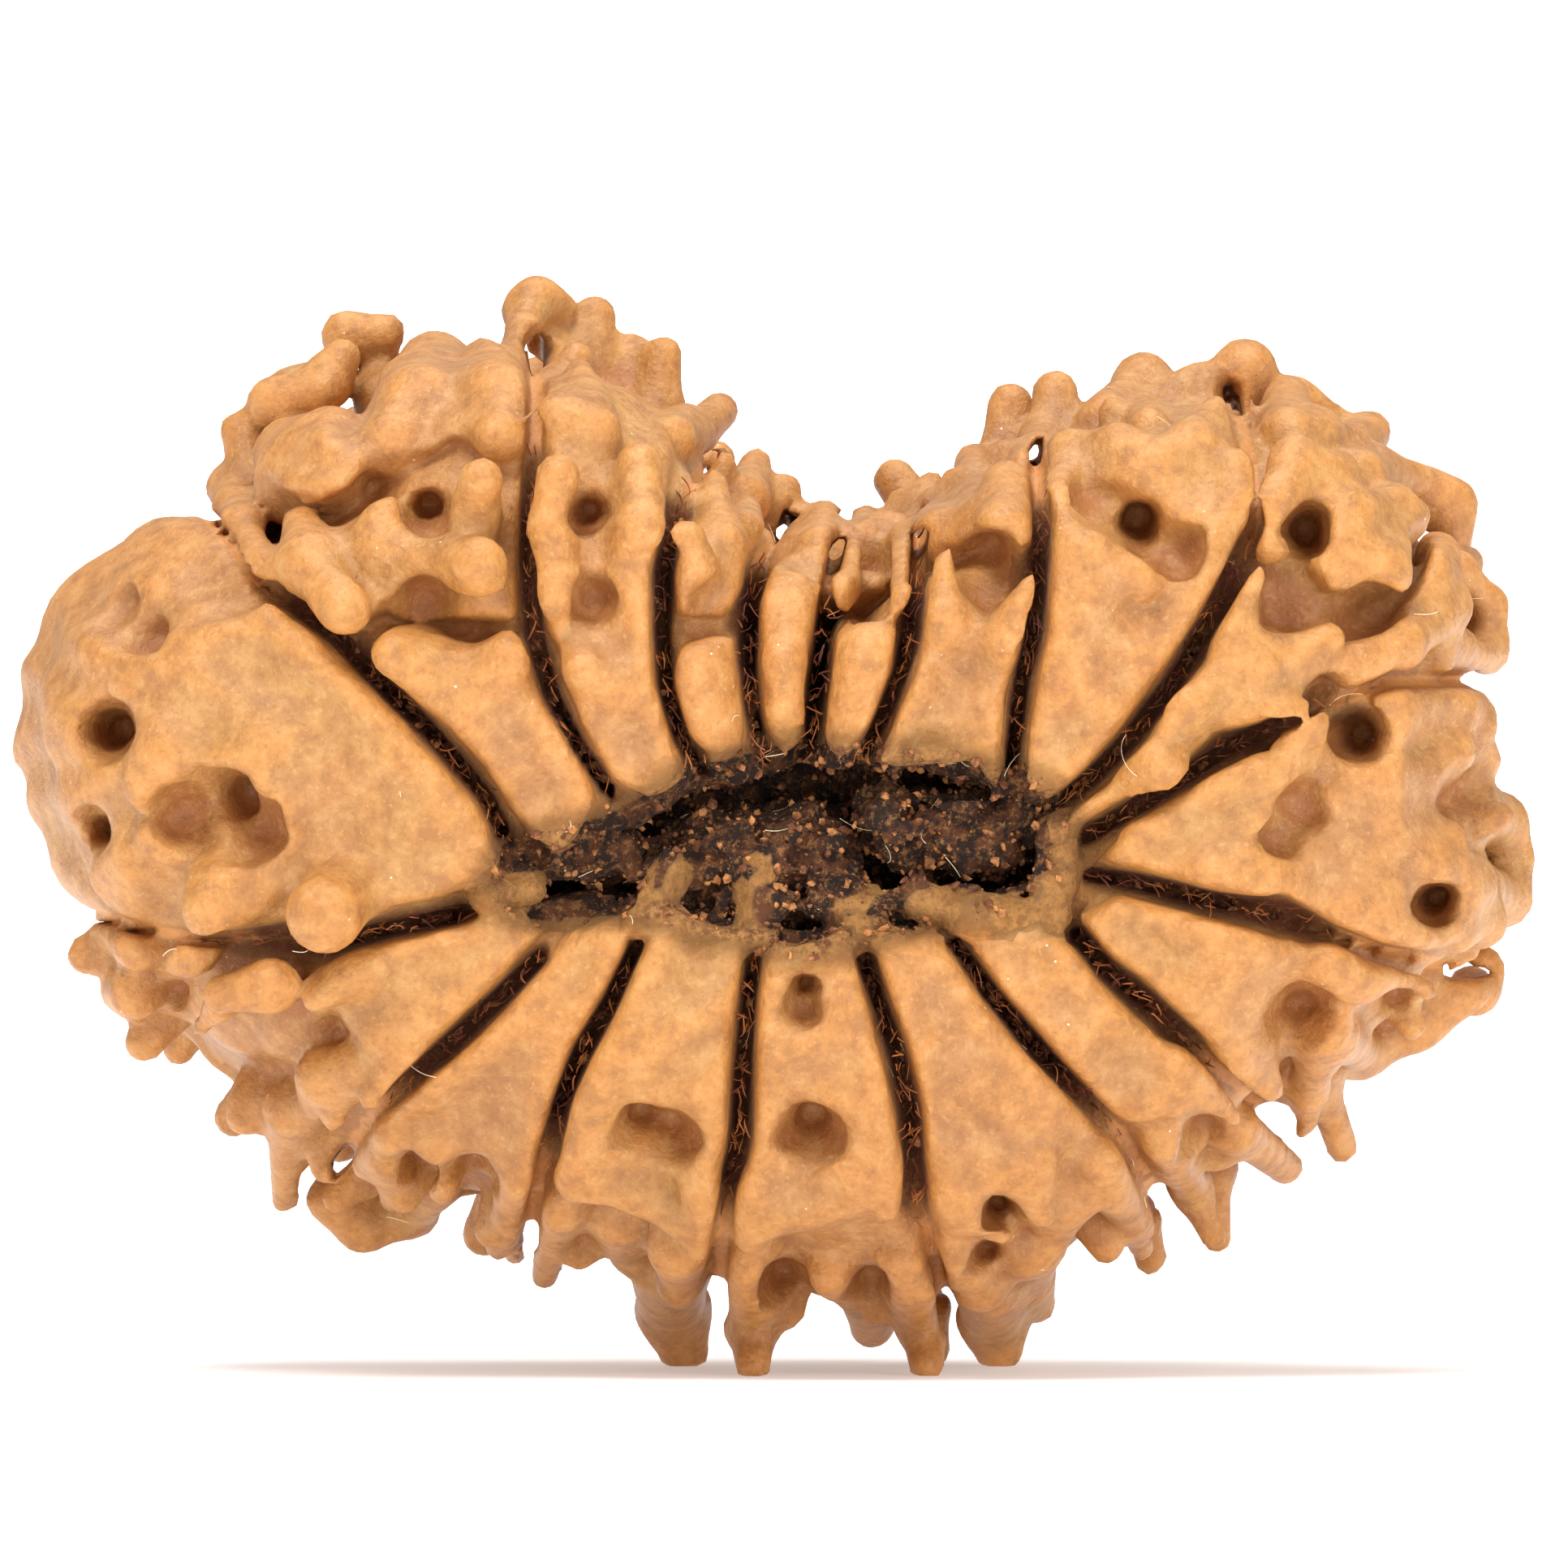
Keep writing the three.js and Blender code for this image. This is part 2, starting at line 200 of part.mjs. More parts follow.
// Knobs, spines and ridges on the face, segment by segment in the clefts' order. Each is a chain of nodes
// [x, z, lift, radius], where lift is how far the node stands out from the face, towards the viewer.
const FACE_RELIEF = [
  // Second segment: upper left.
  [[-8.6, 17, 0, 0.5], [-9.4, 17.55, 0.4, 0.5]],
  [[-7, 17.1, 0, 0.5], [-6.6, 17.5, 0.4, 0.5]],
  [[-10.6, 18.7, 1.3, 0.45], [-11.5, 19.8, 1.4, 0.6], [-11.75, 20.8, 1.1, 0.35]],
  [[-11, 19.8, 0.7, 0.5], [-9.7, 20, 0.5, 0.5], [-8.4, 19.8, 0.4, 0.45], [-7.35, 19.75, 1.3, 0.62]],
  [[-9.7, 20.2, 0.6, 0.5], [-9.7, 21.1, 0.9, 0.35]],
  [[-7.5, 21, 0.6, 0.5], [-7.3, 21.8, 1.9, 0.48]],
  [[-12.2, 21.7, 1.1, 0.55], [-12.2, 22.6, 1.2, 0.6], [-11, 22.9, 1.2, 0.6], [-10.4, 22.3, 0.9, 0.35]],
  [[-11.6, 22.2, 0.6, 0.9], [-11, 21.9, 0.4, 0.7]],
  [[-9.5, 22.8, 0.4, 0.6], [-8.9, 23.7, 0.4, 0.8], [-8.6, 24.7, 0, 0.85]],
  [[-6.9, 22.9, 0.6, 0.4], [-7, 23.9, 0.3, 0.6], [-7.2, 24.6, -0.3, 0.5]],
  [[-11.3, 24.4, -0.6, 0.5], [-10.9, 25, -0.4, 0.42]],
  [[-9.9, 23.9, -1.4, 0.5], [-10.1, 25.3, -2.4, 0.35]],
  [[-10.85, 25.6, -1.8, 0.42], [-9.85, 25.65, -1.8, 0.42]],
  [[-12.6, 23.9, -0.2, 0.45], [-11.3, 24.2, 0.1, 0.48]],
  [[-12.1, 24.1, -2.2, 0.55], [-11.9, 24.3, -2.6, 0.45]],
  [[-13, 21.9, -0.3, 0.5], [-13.45, 23.2, -0.6, 0.42]],
  [[-13.7, 21.8, -0.8, 0.4], [-13.3, 20.7, 0.4, 0.42], [-12.6, 19.7, 0.6, 0.4]],
  // Third segment.
  [[-3.9, 16.7, 0, 0.45], [-4.8, 17.2, 0.35, 0.45]],
  [[-5.4, 19, 0.3, 0.5], [-5.6, 20, 0.5, 0.45]],
  [[-5.6, 20.6, 0.6, 0.45], [-5.45, 21.9, 1.4, 0.48]],
  [[-3.4, 20.5, 0.5, 0.5], [-3.5, 22.2, 0.8, 0.5]],
  [[-5.4, 23.2, 0.4, 0.6], [-4.6, 23, 0.4, 0.6]],
  [[-4.7, 23.4, 0, 0.4], [-5, 24.6, 1.2, 0.26]],
  [[-6.4, 24.6, -1.5, 0.5], [-6.4, 26.2, -2, 0.42], [-6.1, 26.5, -2, 0.4], [-5.6, 26.3, -2.2, 0.36]],
  [[-4.9, 24.8, -2.6, 0.6], [-4.7, 26.05, -2.8, 0.48]],
  [[-5.9, 24.4, -3.8, 0.6], [-5.8, 25.5, -4, 0.5]],
  [[-3.9, 24.2, -2.6, 0.5], [-3.75, 25.2, -2.8, 0.4]],
  [[-3.1, 23.6, -2, 0.5], [-3, 25.1, -2.2, 0.42]],
  [[-2.5, 22.8, -1.6, 0.5], [-1.6, 23.7, -1.8, 0.42]],
  [[-2.7, 22.9, 0.2, 0.4], [-2.5, 23.5, 0.3, 0.3]],
  // Fourth segment.
  [[-1.9, 16, 0, 0.4], [-2.1, 17.1, 0.3, 0.42]],
  [[-2.1, 19.6, 0, 0.4], [-2.3, 20.4, 0.7, 0.38]],
  [[-1.5, 20.3, 0.1, 0.4], [-1.8, 21.7, 0.1, 0.4]],
  [[-1, 21.4, -1, 0.5], [-0.7, 22.4, -1.6, 0.34]],
  [[-0.2, 21, -0.6, 0.5], [0.05, 21.75, -0.9, 0.34]],
  [[-0.9, 20.6, 0.2, 0.3], [-0.9, 21.2, 0.3, 0.3]],
  // Fifth and sixth segments: the short ones in the notch.
  [[0.05, 16.2, 0, 0.3], [0, 17.4, 0.2, 0.36], [0.3, 19.2, 0.1, 0.34]],
  [[0.9, 20.2, -0.2, 0.4], [1, 21.05, -0.6, 0.4]],
  [[1.7, 16, 0, 0.35], [1.9, 17.2, 0.25, 0.45], [2.1, 18, 0.3, 0.4]],
  [[1.45, 19.1, 0.2, 0.3], [1.6, 20.2, 0, 0.28]],
  [[2.9, 18.9, 0.3, 0.25], [2.9, 20.6, 0.3, 0.26]],
  [[2, 20.4, -0.8, 0.35], [2, 21.1, -1, 0.26]],
  [[2.9, 20.8, -1, 0.35], [2.9, 21.5, -1.2, 0.28]],
  [[0.2, 19.8, -3, 0.6], [0.1, 20.9, -3.4, 0.5]],
  [[1.3, 19.8, -3, 0.6], [1.3, 20.6, -3.4, 0.5]],
  [[3.2, 20, -3, 0.6], [3.3, 20.8, -3.4, 0.5]],
  // Seventh segment.
  [[3.9, 18.3, 0.1, 0.45], [4, 19.8, 0.9, 0.34]],
  [[5.4, 18, 0.1, 0.42], [5.8, 19.3, 0.9, 0.28]],
  [[3.8, 20.5, 0.2, 0.5], [3.9, 21.4, -0.2, 0.45]],
  [[5.3, 20.6, 0.8, 0.52], [5.4, 21.7, 0.7, 0.58]],
  [[4.7, 20.8, 0.1, 0.4], [4.7, 22.4, -1, 0.45]],
  [[3.5, 21.2, -1, 0.4], [3.6, 21.9, -1.2, 0.26]],
  // Eighth segment: upper right.
  [[7.3, 17.2, -0.1, 0.42], [6.9, 17.6, 0.25, 0.4]],
  [[7.4, 19, 0, 0.42], [7, 20.1, 0.4, 0.28]],
  [[9.6, 19.6, 0, 0.45], [10.1, 20, 0.3, 0.4]],
  [[7.3, 20.1, 0.4, 0.35], [8.6, 19.6, 0.2, 0.5], [9.8, 20.2, 0.4, 0.45]],
  [[6.7, 21.3, 0.3, 0.35], [6.9, 22.6, 0.9, 0.36], [8.1, 22.7, 0.8, 0.4], [9, 22.4, 0.5, 0.4]],
  [[11, 21.2, 0.4, 0.42], [10.9, 22.1, 0.5, 0.48]],
  [[9.9, 22.6, 0.3, 0.5], [10.5, 23.6, 0.6, 0.26]],
  [[5.4, 22.4, -1.8, 0.5], [5.6, 23.85, -2.2, 0.5]],
  [[6.7, 22.9, -0.8, 0.55], [6.7, 24.15, -1.4, 0.5]],
  [[6.2, 22, -1.4, 0.6], [6.3, 23, -0.6, 0.45]],
  [[7.9, 23.4, -1.6, 0.5], [8.9, 24.45, -2.4, 0.55], [9.5, 24.1, -2, 0.4]],
  [[8.9, 23.2, -0.4, 0.3], [8.9, 23.8, -0.6, 0.26]],
  [[9.6, 23.9, -1.2, 0.4], [10.2, 24.5, -1.6, 0.38]],
  // Ninth segment: a narrow strip from the mouth that fans out to the upper right.
  [[8.7, 14.7, 0.1, 0.5], [9.1, 14.9, 0.5, 0.6]],
  [[9.5, 16.2, 0.1, 0.5], [9.8, 16.4, 0.4, 0.42]],
  [[11.1, 17.2, 0.1, 0.5], [11.5, 17.3, 0.4, 0.45]],
  [[10.7, 18, 0.1, 0.4], [11.5, 19.5, 0.9, 0.2]],
  [[12.2, 17.4, 0.1, 0.44], [13.5, 18.2, 0.9, 0.24]],
  [[12, 21.2, 0.4, 0.45], [12.3, 22.6, 1, 0.3]],
  [[12.4, 22.2, 0.8, 0.4], [13.5, 22.1, 0.9, 0.3], [13.6, 21.2, 0.6, 0.45]],
  [[11.7, 20.2, 0.2, 0.25], [12.2, 21, 0.5, 0.25]],
  [[13.7, 20.9, 0.6, 0.5], [14.9, 21.2, 1.1, 0.42], [15.2, 20.9, 1.1, 0.4]],
  [[13.4, 20.1, 0.3, 0.6], [14.5, 19.6, 0.9, 0.55], [14.8, 20.2, 0.9, 0.4]],
  [[13.9, 17.3, 0.3, 0.4], [15, 17.9, 0.8, 0.45], [16.2, 18.8, 0.9, 0.45], [16.1, 20.2, 0.8, 0.4]],
  [[11, 24, -1.6, 0.6], [11.4, 24.7, -1.8, 0.72]],
  [[12.3, 23, -0.1, 0.5], [12.4, 24, -0.3, 0.5]],
  [[13, 23, 0, 0.55], [13.1, 22.9, 0.6, 0.45]],
  [[12.6, 23.9, -1.9, 0.5], [13.5, 23.5, -2.2, 0.4]],
  [[13.9, 22.6, -1.6, 0.5], [14.5, 23.2, -2.4, 0.48]],
  [[14, 22, 0.2, 0.5], [14.6, 22.2, 0.3, 0.45], [15.6, 22, -0.6, 0.38]],
  [[15.8, 21.7, -2, 0.5], [16.5, 21.4, -2.2, 0.5], [16.6, 20.7, -2, 0.42]],
  [[16.6, 19.8, -2.4, 0.4], [17, 20, -3, 0.3]],
  [[16.6, 19.7, -1, 0.4], [17.4, 18.9, -1.6, 0.36], [17.5, 18.2, -1.6, 0.34]],
  [[15.8, 17.8, -0.6, 0.45], [17.4, 17.7, -1.4, 0.46]],
  // Tenth segment: the broad right one.
  [[8.4, 13.5, 0.1, 0.22], [10.4, 14.35, 0.2, 0.26], [11.9, 15, 0.4, 0.24]],
  [[10.2, 12.3, 0, 0.4], [11.4, 12.2, 0.3, 0.36]],
  [[13.6, 11.3, 0.1, 0.4], [15.4, 10.8, 0.5, 0.32]],
  [[12, 16.1, 0.5, 0.42], [13, 15.8, 0.7, 0.4]],
  [[15.6, 12.4, 0.2, 0.5], [16.8, 12.1, 0.2, 0.42], [17, 11.3, 0, 0.42], [16.4, 10.8, 0.2, 0.4]],
  [[14.6, 16.2, 0, 0.6], [16.1, 16.5, -0.2, 0.55], [17, 16.1, -1, 0.55]],
  [[16.8, 15, -1.2, 0.5], [17.1, 14.9, -1.4, 0.42]],
  [[16.2, 14.8, 0.1, 0.3], [16.2, 13.3, 0.2, 0.3]],
  [[16.8, 13.8, -2, 0.6], [17.7, 13.6, -2.8, 0.6]],
  [[17.7, 13.4, -2.6, 0.5], [18.1, 12.6, -2.8, 0.36], [17.9, 11.7, -2.8, 0.5]],
  [[16.8, 12, -2, 0.6], [17.8, 11.6, -2.8, 0.58]],
  // Eleventh segment.
  [[13.2, 10, 0.1, 0.44], [15.6, 9.4, 1.1, 0.24]],
  [[10.8, 8, 0.1, 0.44], [11.8, 7, 0.9, 0.27]],
  [[13.1, 8.6, 0, 0.55], [12.8, 6.1, 0.2, 0.28]],
  [[13.4, 8.4, 0, 0.4], [14.2, 7.9, -0.6, 0.55], [15.6, 8.6, -0.6, 0.55], [16.9, 9.4, -0.8, 0.5]],
  [[13.1, 7.4, -1.4, 0.4], [13.8, 5.5, -1.6, 0.34]],
  [[14, 7, -3.6, 0.4], [14.4, 5.9, -4, 0.32]],
  [[17.1, 9.4, -2.6, 0.5], [17.3, 9.9, -2.8, 0.5]],
  // Twelfth segment.
  [[9.6, 7.6, 0, 0.42], [10.8, 6.3, 0.8, 0.26]],
  [[9.2, 5.9, 0, 0.45], [10, 4.6, -0.2, 0.42], [10.6, 3.3, -0.4, 0.28]],
  [[10.6, 4.9, -2.6, 0.4], [10.75, 3.2, -3.2, 0.32]],
  [[11, 6.1, -0.9, 0.5], [12.4, 5, -1.6, 0.38]],
  // Thirteenth segment.
  [[7.6, 5.3, 0.1, 0.44], [8.7, 3.5, 0.9, 0.24]],
  [[4.2, 4.5, 0.1, 0.42], [5.2, 3.5, 0.5, 0.24]],
  [[5.9, 5.2, 0.3, 0.5], [6.3, 4, 0.8, 0.26]],
  [[6.9, 4.4, -0.3, 0.5], [6.5, 2.9, -0.1, 0.24]],
  [[4.1, 3.2, 0, 0.45], [4.8, 2.2, 0.2, 0.45], [5.7, 1.9, 0.1, 0.34]],
  [[6, 3.1, -0.6, 0.4], [6.3, 2.2, -0.6, 0.3]],
  [[5, 2.7, -3.2, 0.8], [5.2, 1.2, -4, 0.72], [5.35, 0.4, -4.2, 0.52]],
  [[6, 2.4, -4.6, 0.55], [6.3, 1.5, -5, 0.42]],
  [[8.4, 4, -0.8, 0.4], [8.85, 3, -1, 0.26]],
  [[8.8, 3.9, -3, 0.4], [9.1, 2.7, -3.4, 0.36]],
  // Fourteenth segment: bottom middle.
  [[-0.7, 4.6, 0, 0.38], [-0.9, 3.5, 0.6, 0.26]],
  [[2.4, 5.4, 0, 0.38], [2.5, 4.2, 0.7, 0.26]],
  [[-0.7, 2.8, 0.1, 0.5], [-0.9, 1.7, 0.1, 0.3]],
  [[1.1, 2.6, 0, 0.4], [1.9, 1.6, 0.1, 0.32]],
  [[2.8, 2.8, 0.1, 0.45], [3.2, 1.4, 0.1, 0.34]],
  [[-0.6, 2.6, -0.4, 0.7], [-0.8, 1.2, 1.6, 0.52], [-0.75, 0.25, 3, 0.38]],
  [[3.2, 2.6, -0.4, 0.65], [3.4, 1.2, 1.4, 0.5], [3.5, 0.25, 2.8, 0.38]],
  [[3.5, 1.6, -4.6, 0.45], [3.7, 0.4, -5, 0.4]],
  [[2.1, 2, -5.4, 0.6], [2.2, 0.95, -6, 0.5]],
  // Fifteenth segment.
  [[-1.9, 4.6, 0.1, 0.42], [-2.1, 3.2, 0.9, 0.24]],
  [[-5, 4.95, 0.2, 0.34], [-3.6, 4.55, 0.2, 0.32], [-2.6, 3.9, 0.3, 0.3]],
  [[-2.6, 3.2, 0, 0.55], [-2.5, 2, 0.2, 0.4]],
  [[-2.9, 2.9, -3.4, 0.8], [-2.75, 1.4, -4.1, 0.76], [-2.5, 0.4, -4.4, 0.56]],
  [[-4, 4, -1.6, 0.6], [-3.8, 3, -2.2, 0.45]],
  [[-5.4, 4.2, -0.6, 0.45], [-5.9, 2.35, -0.8, 0.3]],
  // Sixteenth segment.
  [[-6.4, 5, 0, 0.4], [-7, 3.1, 0.6, 0.3]],
  [[-9.4, 6, 0.1, 0.42], [-10.2, 5.2, 0.6, 0.34]],
  [[-9.5, 5.4, 0.2, 0.45], [-9.6, 4.3, 0.6, 0.32]],
  [[-10.2, 5, -0.4, 0.5], [-11, 4.3, -0.2, 0.36]],
  [[-8.4, 5.8, 0.1, 0.5], [-8.3, 4.6, 0.2, 0.35]],
  [[-11.1, 4.2, -1.8, 0.5], [-10.4, 3.6, -2, 0.55], [-9.2, 3.9, -2, 0.5], [-8.4, 4.6, -2, 0.4]],
  [[-6.4, 4.2, -2, 0.45], [-6.6, 2.9, -2.2, 0.3]],
  // Seventeenth segment: lower left.
  [[-10.2, 9.9, 0, 0.4], [-11.3, 9.3, 0.6, 0.3]],
  [[-9, 7.9, 0, 0.42], [-10, 6.9, 0.9, 0.27]],
  [[-10.5, 7.6, 0, 0.45], [-10.95, 6.3, 0.2, 0.24]],
  [[-11.2, 7.4, 0, 0.5], [-11.7, 5.5, 0.2, 0.28]],
  [[-12.1, 6.6, -1, 0.5], [-12.35, 4.2, -1.4, 0.28]],
  [[-12.8, 6.8, -1.6, 0.5], [-13.3, 6.4, -2, 0.36]],
  [[-12.4, 9.6, 0.3, 0.5], [-13.6, 9.4, 0.9, 0.42]],
  [[-13.6, 9.2, 0.1, 0.3], [-14.2, 8.55, 0.7, 0.18]],
  [[-14.2, 10.5, 0, 0.4], [-15.2, 9.5, 1, 0.24]],
  [[-15.7, 10.6, -0.5, 0.5], [-16.5, 11.1, -1.4, 0.45]],
  [[-15.8, 9.4, -0.9, 0.5], [-16.3, 9.4, -1.6, 0.4]],
  // First segment: the big smooth one on the left.
  [[-11.6, 17.7, 0, 0.4], [-12.4, 18.5, 0.4, 0.3]],
  [[-12.6, 14.5, 0, 0.5], [-13.2, 14.5, 0.3, 0.42]],
  [[-14.9, 15.3, 0.3, 0.6], [-15.5, 14.4, 0.5, 0.45]],
  [[-10.6, 11.8, 0.1, 0.7], [-11.05, 11.35, 1.3, 0.85]],
  [[-13.5, 12, 0, 0.6], [-13.85, 11.4, 1, 0.62]],
  [[-14.8, 13.1, 0.1, 0.4], [-15.3, 13.2, 0.4, 0.32]],
  [[-15.6, 12.6, -0.3, 0.6], [-16.4, 12.2, -0.3, 0.45]],
  [[-15.6, 11.7, -0.4, 0.4], [-16, 11.5, -0.4, 0.36]],
];

// Pits in the face: x, z, radius, depth, and how far the pit's floor is moved in x and z.
const FACE_PITS = [
  [-16.4, 15.8, 0.55, 2.4, 0.3, 0], [-16.8, 13.4, 0.36, 2, 0.5, 0], [-13.4, 14.1, 0.5, 1.6, 0.5, 0.1],
  [-14.4, 13.7, 0.6, 0.4, 0, 0],
  [-16.3, 18.9, 0.4, 0.5, 0.3, 0.1], [-15.6, 18.1, 0.4, 0.35, 0.4, 0.1], [-12.7, 13.4, 0.6, 0.5, 0, 0],
  [-8.6, 21.1, 0.4, 1.6, 0, 0.2], [-10, 21.6, 0.26, 0.8, 0, 0], [-8.6, 18.9, 0.45, 0.3, 0, 0],
  [-4.8, 21, 0.34, 1.1, 0, 0.1], [-5.85, 25.3, 0.3, 1.5, 0, 0], [-4.6, 18.9, 0.4, 0.25, 0, 0],
  [-1.5, 18.9, 0.4, 0.3, 0, 0], [2.1, 18.9, 0.3, 0.8, 0, 0], [5, 19.8, 0.62, 1.5, 0, 0.4],
  [8.6, 20.7, 0.5, 2.4, 0, 0.2], [7.6, 21.4, 0.5, 0.4, 0, 0], [9.5, 20.1, 0.55, 0.35, 0, 0],
  [12.6, 20.6, 0.45, 2, 0.1, 0], [14.1, 18.7, 0.55, 1.2, 0.3, 0], [12.1, 18.9, 0.5, 0.6, 0, 0],
  [10.95, 24, 0.26, 1, 0, 0], [17, 18.6, 0.36, 1.4, -0.5, 0], [13.9, 15.7, 0.52, 2.2, 0.2, 0],
  [12.5, 13.9, 0.5, 0.3, 0, 0], [12, 13.2, 0.4, 0.25, 0, 0],
  [16.5, 14.1, 0.5, 1.2, -0.1, 0], [15.8, 11.6, 0.4, 1.8, 0.2, 0.1], [17.7, 12.8, 0.2, 1, 0, 0],
  [12.5, 8.9, 0.6, 1.1, 0, 0.2], [14.9, 9, 0.4, 1.6, 0, 0.3], [10.2, 5.8, 0.5, 0.9, 0, 0.3],
  [5.2, 4.1, 0.34, 1.6, 0, 0.2], [4.95, 3, 0.3, 1.3, 0, 0.2], [0.7, 6, 0.58, 1.2, 0, 0.45],
  [0.55, 9.6, 0.22, 1.2, 0, 0.15], [0.55, 9, 0.26, 0.4, 0, 0], [-0.1, 2.3, 0.45, 0.8, 0, 0.2],
  [2.1, 2.2, 0.35, 0.8, 0, 0.2],
  [-3.4, 6.1, 0.5, 1.2, 0, 0.5], [-2.8, 5.9, 0.52, 0.9, 0, 0.4], [-7.6, 4.9, 0.5, 0.9, 0, 0.3],
  [-9, 5.1, 0.35, 0.8, 0, 0.2], [-15, 9.3, 0.45, 1.6, 0.2, 0.1],
];

// The dried pith in the mouth: x, z and the half-sizes of each lump, and how deep its face lies.
const PITH = [
  [-0.9, 12.5, 2, 1.4, 2], [0.7, 12.7, 1, 1.3, 2.2], [0.4, 11.9, 1.7, 0.9, 2.1], [4.1, 13.3, 1.9, 1, 1.9],
  [2.6, 13.7, 0.75, 0.75, 1.8], [-4.6, 12.7, 1.7, 0.5, 1.8],
];

// Woody tongues that reach into the mouth between the segments, as chains of nodes like the relief.
const TONGUES = [
  [[-0.72, 10.9, -0.4, 0.25], [-0.7, 12.3, -0.7, 0.42]],
  [[-3.5, 11.2, -0.2, 0.25], [-2.7, 12.3, -0.5, 0.36]],
  [[1.9, 10.9, -0.4, 0.2], [1.5, 11.6, -0.7, 0.36], [2.1, 11.7, -0.8, 0.34]],
  [[3.3, 11.7, -0.6, 0.3], [4.6, 11.3, -0.3, 0.42], [5.6, 11.3, -0.4, 0.42]],
  [[6.6, 13.4, -0.5, 0.3], [6.6, 12.3, -0.6, 0.36], [6.5, 11.2, -0.3, 0.3]],
  [[-7.2, 11.8, -0.2, 0.25], [-6, 12, -0.6, 0.25]],
];

// Rows of knobs from the rim over the back, which the face doesn't show: how many degrees behind the rim
// each row lies, less than none if it lies in front of it, how high and thick its knobs are, and the space
// between them.
const HIDDEN_ROWS = [
  { turn: -7, height: 0.3, radius: 0.55, gap: 2.4 },
  { turn: 8, height: 0.3, radius: 0.6, gap: 2.5 },
  { turn: 26, height: 0.9, radius: 0.65, gap: 2.4 },
  { turn: 44, height: 1.1, radius: 0.65, gap: 2.4 },
  { turn: 62, height: 0.9, radius: 0.6, gap: 2.4 },
];
const SMOOTH_TURN = 20; // the first segment's rim bears no knobs up to this many degrees behind it
// How deep a knob's foot sits, and its tip's radius over its foot's.
const HIDDEN_KNOB = { root: 0.6, taper: 0.75 };
const ROUGH_RADIUS = 12; // where the bead's rim lies, roughly
const LOWEST_KNOB = 0.3; // the hidden knobs stay clear of the ground
const SEED = 17;

// A repeatable stream of numbers from 0 to 1.
function makeRandom(seed) {
  let state = seed;
  return () => {
    state = (state + 0x6d2b79f5) | 0;
    let mixed = Math.imul(state ^ (state >>> 15), 1 | state);
    mixed = (mixed + Math.imul(mixed ^ (mixed >>> 7), 61 | mixed)) ^ mixed;
    return ((mixed ^ (mixed >>> 14)) >>> 0) / 2 ** 32;
  };
}

// Rounded versions of the smaller and the larger of two numbers; reach is how far the rounding spreads.
function smoothMin(a, b, reach) {
  const overlap = Math.max(reach - Math.abs(a - b), 0) / reach;
  return Math.min(a, b) - (overlap * overlap * reach) / 4;
}

function smoothMax(a, b, reach) {
  return -smoothMin(-a, -b, reach);
}

// The outline as a closed smooth curve, kept as its radius for every angle about the centre.
const OUTLINE_STEPS = 720;
const outlineRadii = measureOutline();

function measureOutline() {
  const corners = OUTLINE.map(([x, z]) => new THREE.Vector3(x - CENTRE.x, 0, z - CENTRE.y));
  const curve = new THREE.CatmullRomCurve3(corners, true, "centripetal");
  const points = curve.getPoints(OUTLINE_STEPS * 4).map((point) => {
    const angle = THREE.MathUtils.euclideanModulo(Math.atan2(point.z, point.x), 2 * Math.PI);
    return [angle, Math.hypot(point.x, point.z)];
  });
  const radii = new Float64Array(OUTLINE_STEPS);
  const hits = new Float64Array(OUTLINE_STEPS);
  for (const [angle, radius] of points) {
    const step = Math.round((angle / (2 * Math.PI)) * OUTLINE_STEPS) % OUTLINE_STEPS;
    radii[step] += radius;
    hits[step] += 1;
  }
  for (let step = 0; step < OUTLINE_STEPS; step += 1) {
    const before = radii[(step + OUTLINE_STEPS - 1) % OUTLINE_STEPS];
    radii[step] = hits[step] > 0 ? radii[step] / hits[step] : before;
  }
  return radii;
}

function outlineRadius(angle) {
  const place = (THREE.MathUtils.euclideanModulo(angle, 2 * Math.PI) / (2 * Math.PI)) * OUTLINE_STEPS;
  const step = Math.floor(place);
  const next = outlineRadii[(step + 1) % OUTLINE_STEPS];
  return THREE.MathUtils.lerp(outlineRadii[step % OUTLINE_STEPS], next, place - step);
}

// How far out a point of the face lies: 0 at the centre, 1 on the outline.
function outlineShare(x, z) {
  const dx = x - CENTRE.x;
  const dz = z - CENTRE.y;
  return Math.hypot(dx, dz) / outlineRadius(Math.atan2(dz, dx));
}

// Distance in the face's plane from a point to a line of corners.
function lineDistance(x, z, corners) {
  let nearest = Infinity;
  for (let i = 1; i < corners.length; i += 1) {
    const [ax, az] = corners[i - 1];
    const [bx, bz] = corners[i];
    const along = ((x - ax) * (bx - ax) + (z - az) * (bz - az)) / ((bx - ax) ** 2 + (bz - az) ** 2);
    const t = THREE.MathUtils.clamp(along, 0, 1);
    nearest = Math.min(nearest, Math.hypot(x - ax - t * (bx - ax), z - az - t * (bz - az)));
  }
  return nearest;
}

// Signed distance in the face's plane to a closed outline: negative inside it.
function plateDistance(x, z, corners) {
  let inside = false;
  corners.forEach(([bx, bz], i) => {
    const [ax, az] = corners[(i + corners.length - 1) % corners.length];
    if (az > z !== bz > z && x < ax + ((z - az) * (bx - ax)) / (bz - az)) {
      inside = !inside;
    }
  });
  const away = lineDistance(x, z, [...corners, corners[0]]);
  return inside ? -away : away;
}

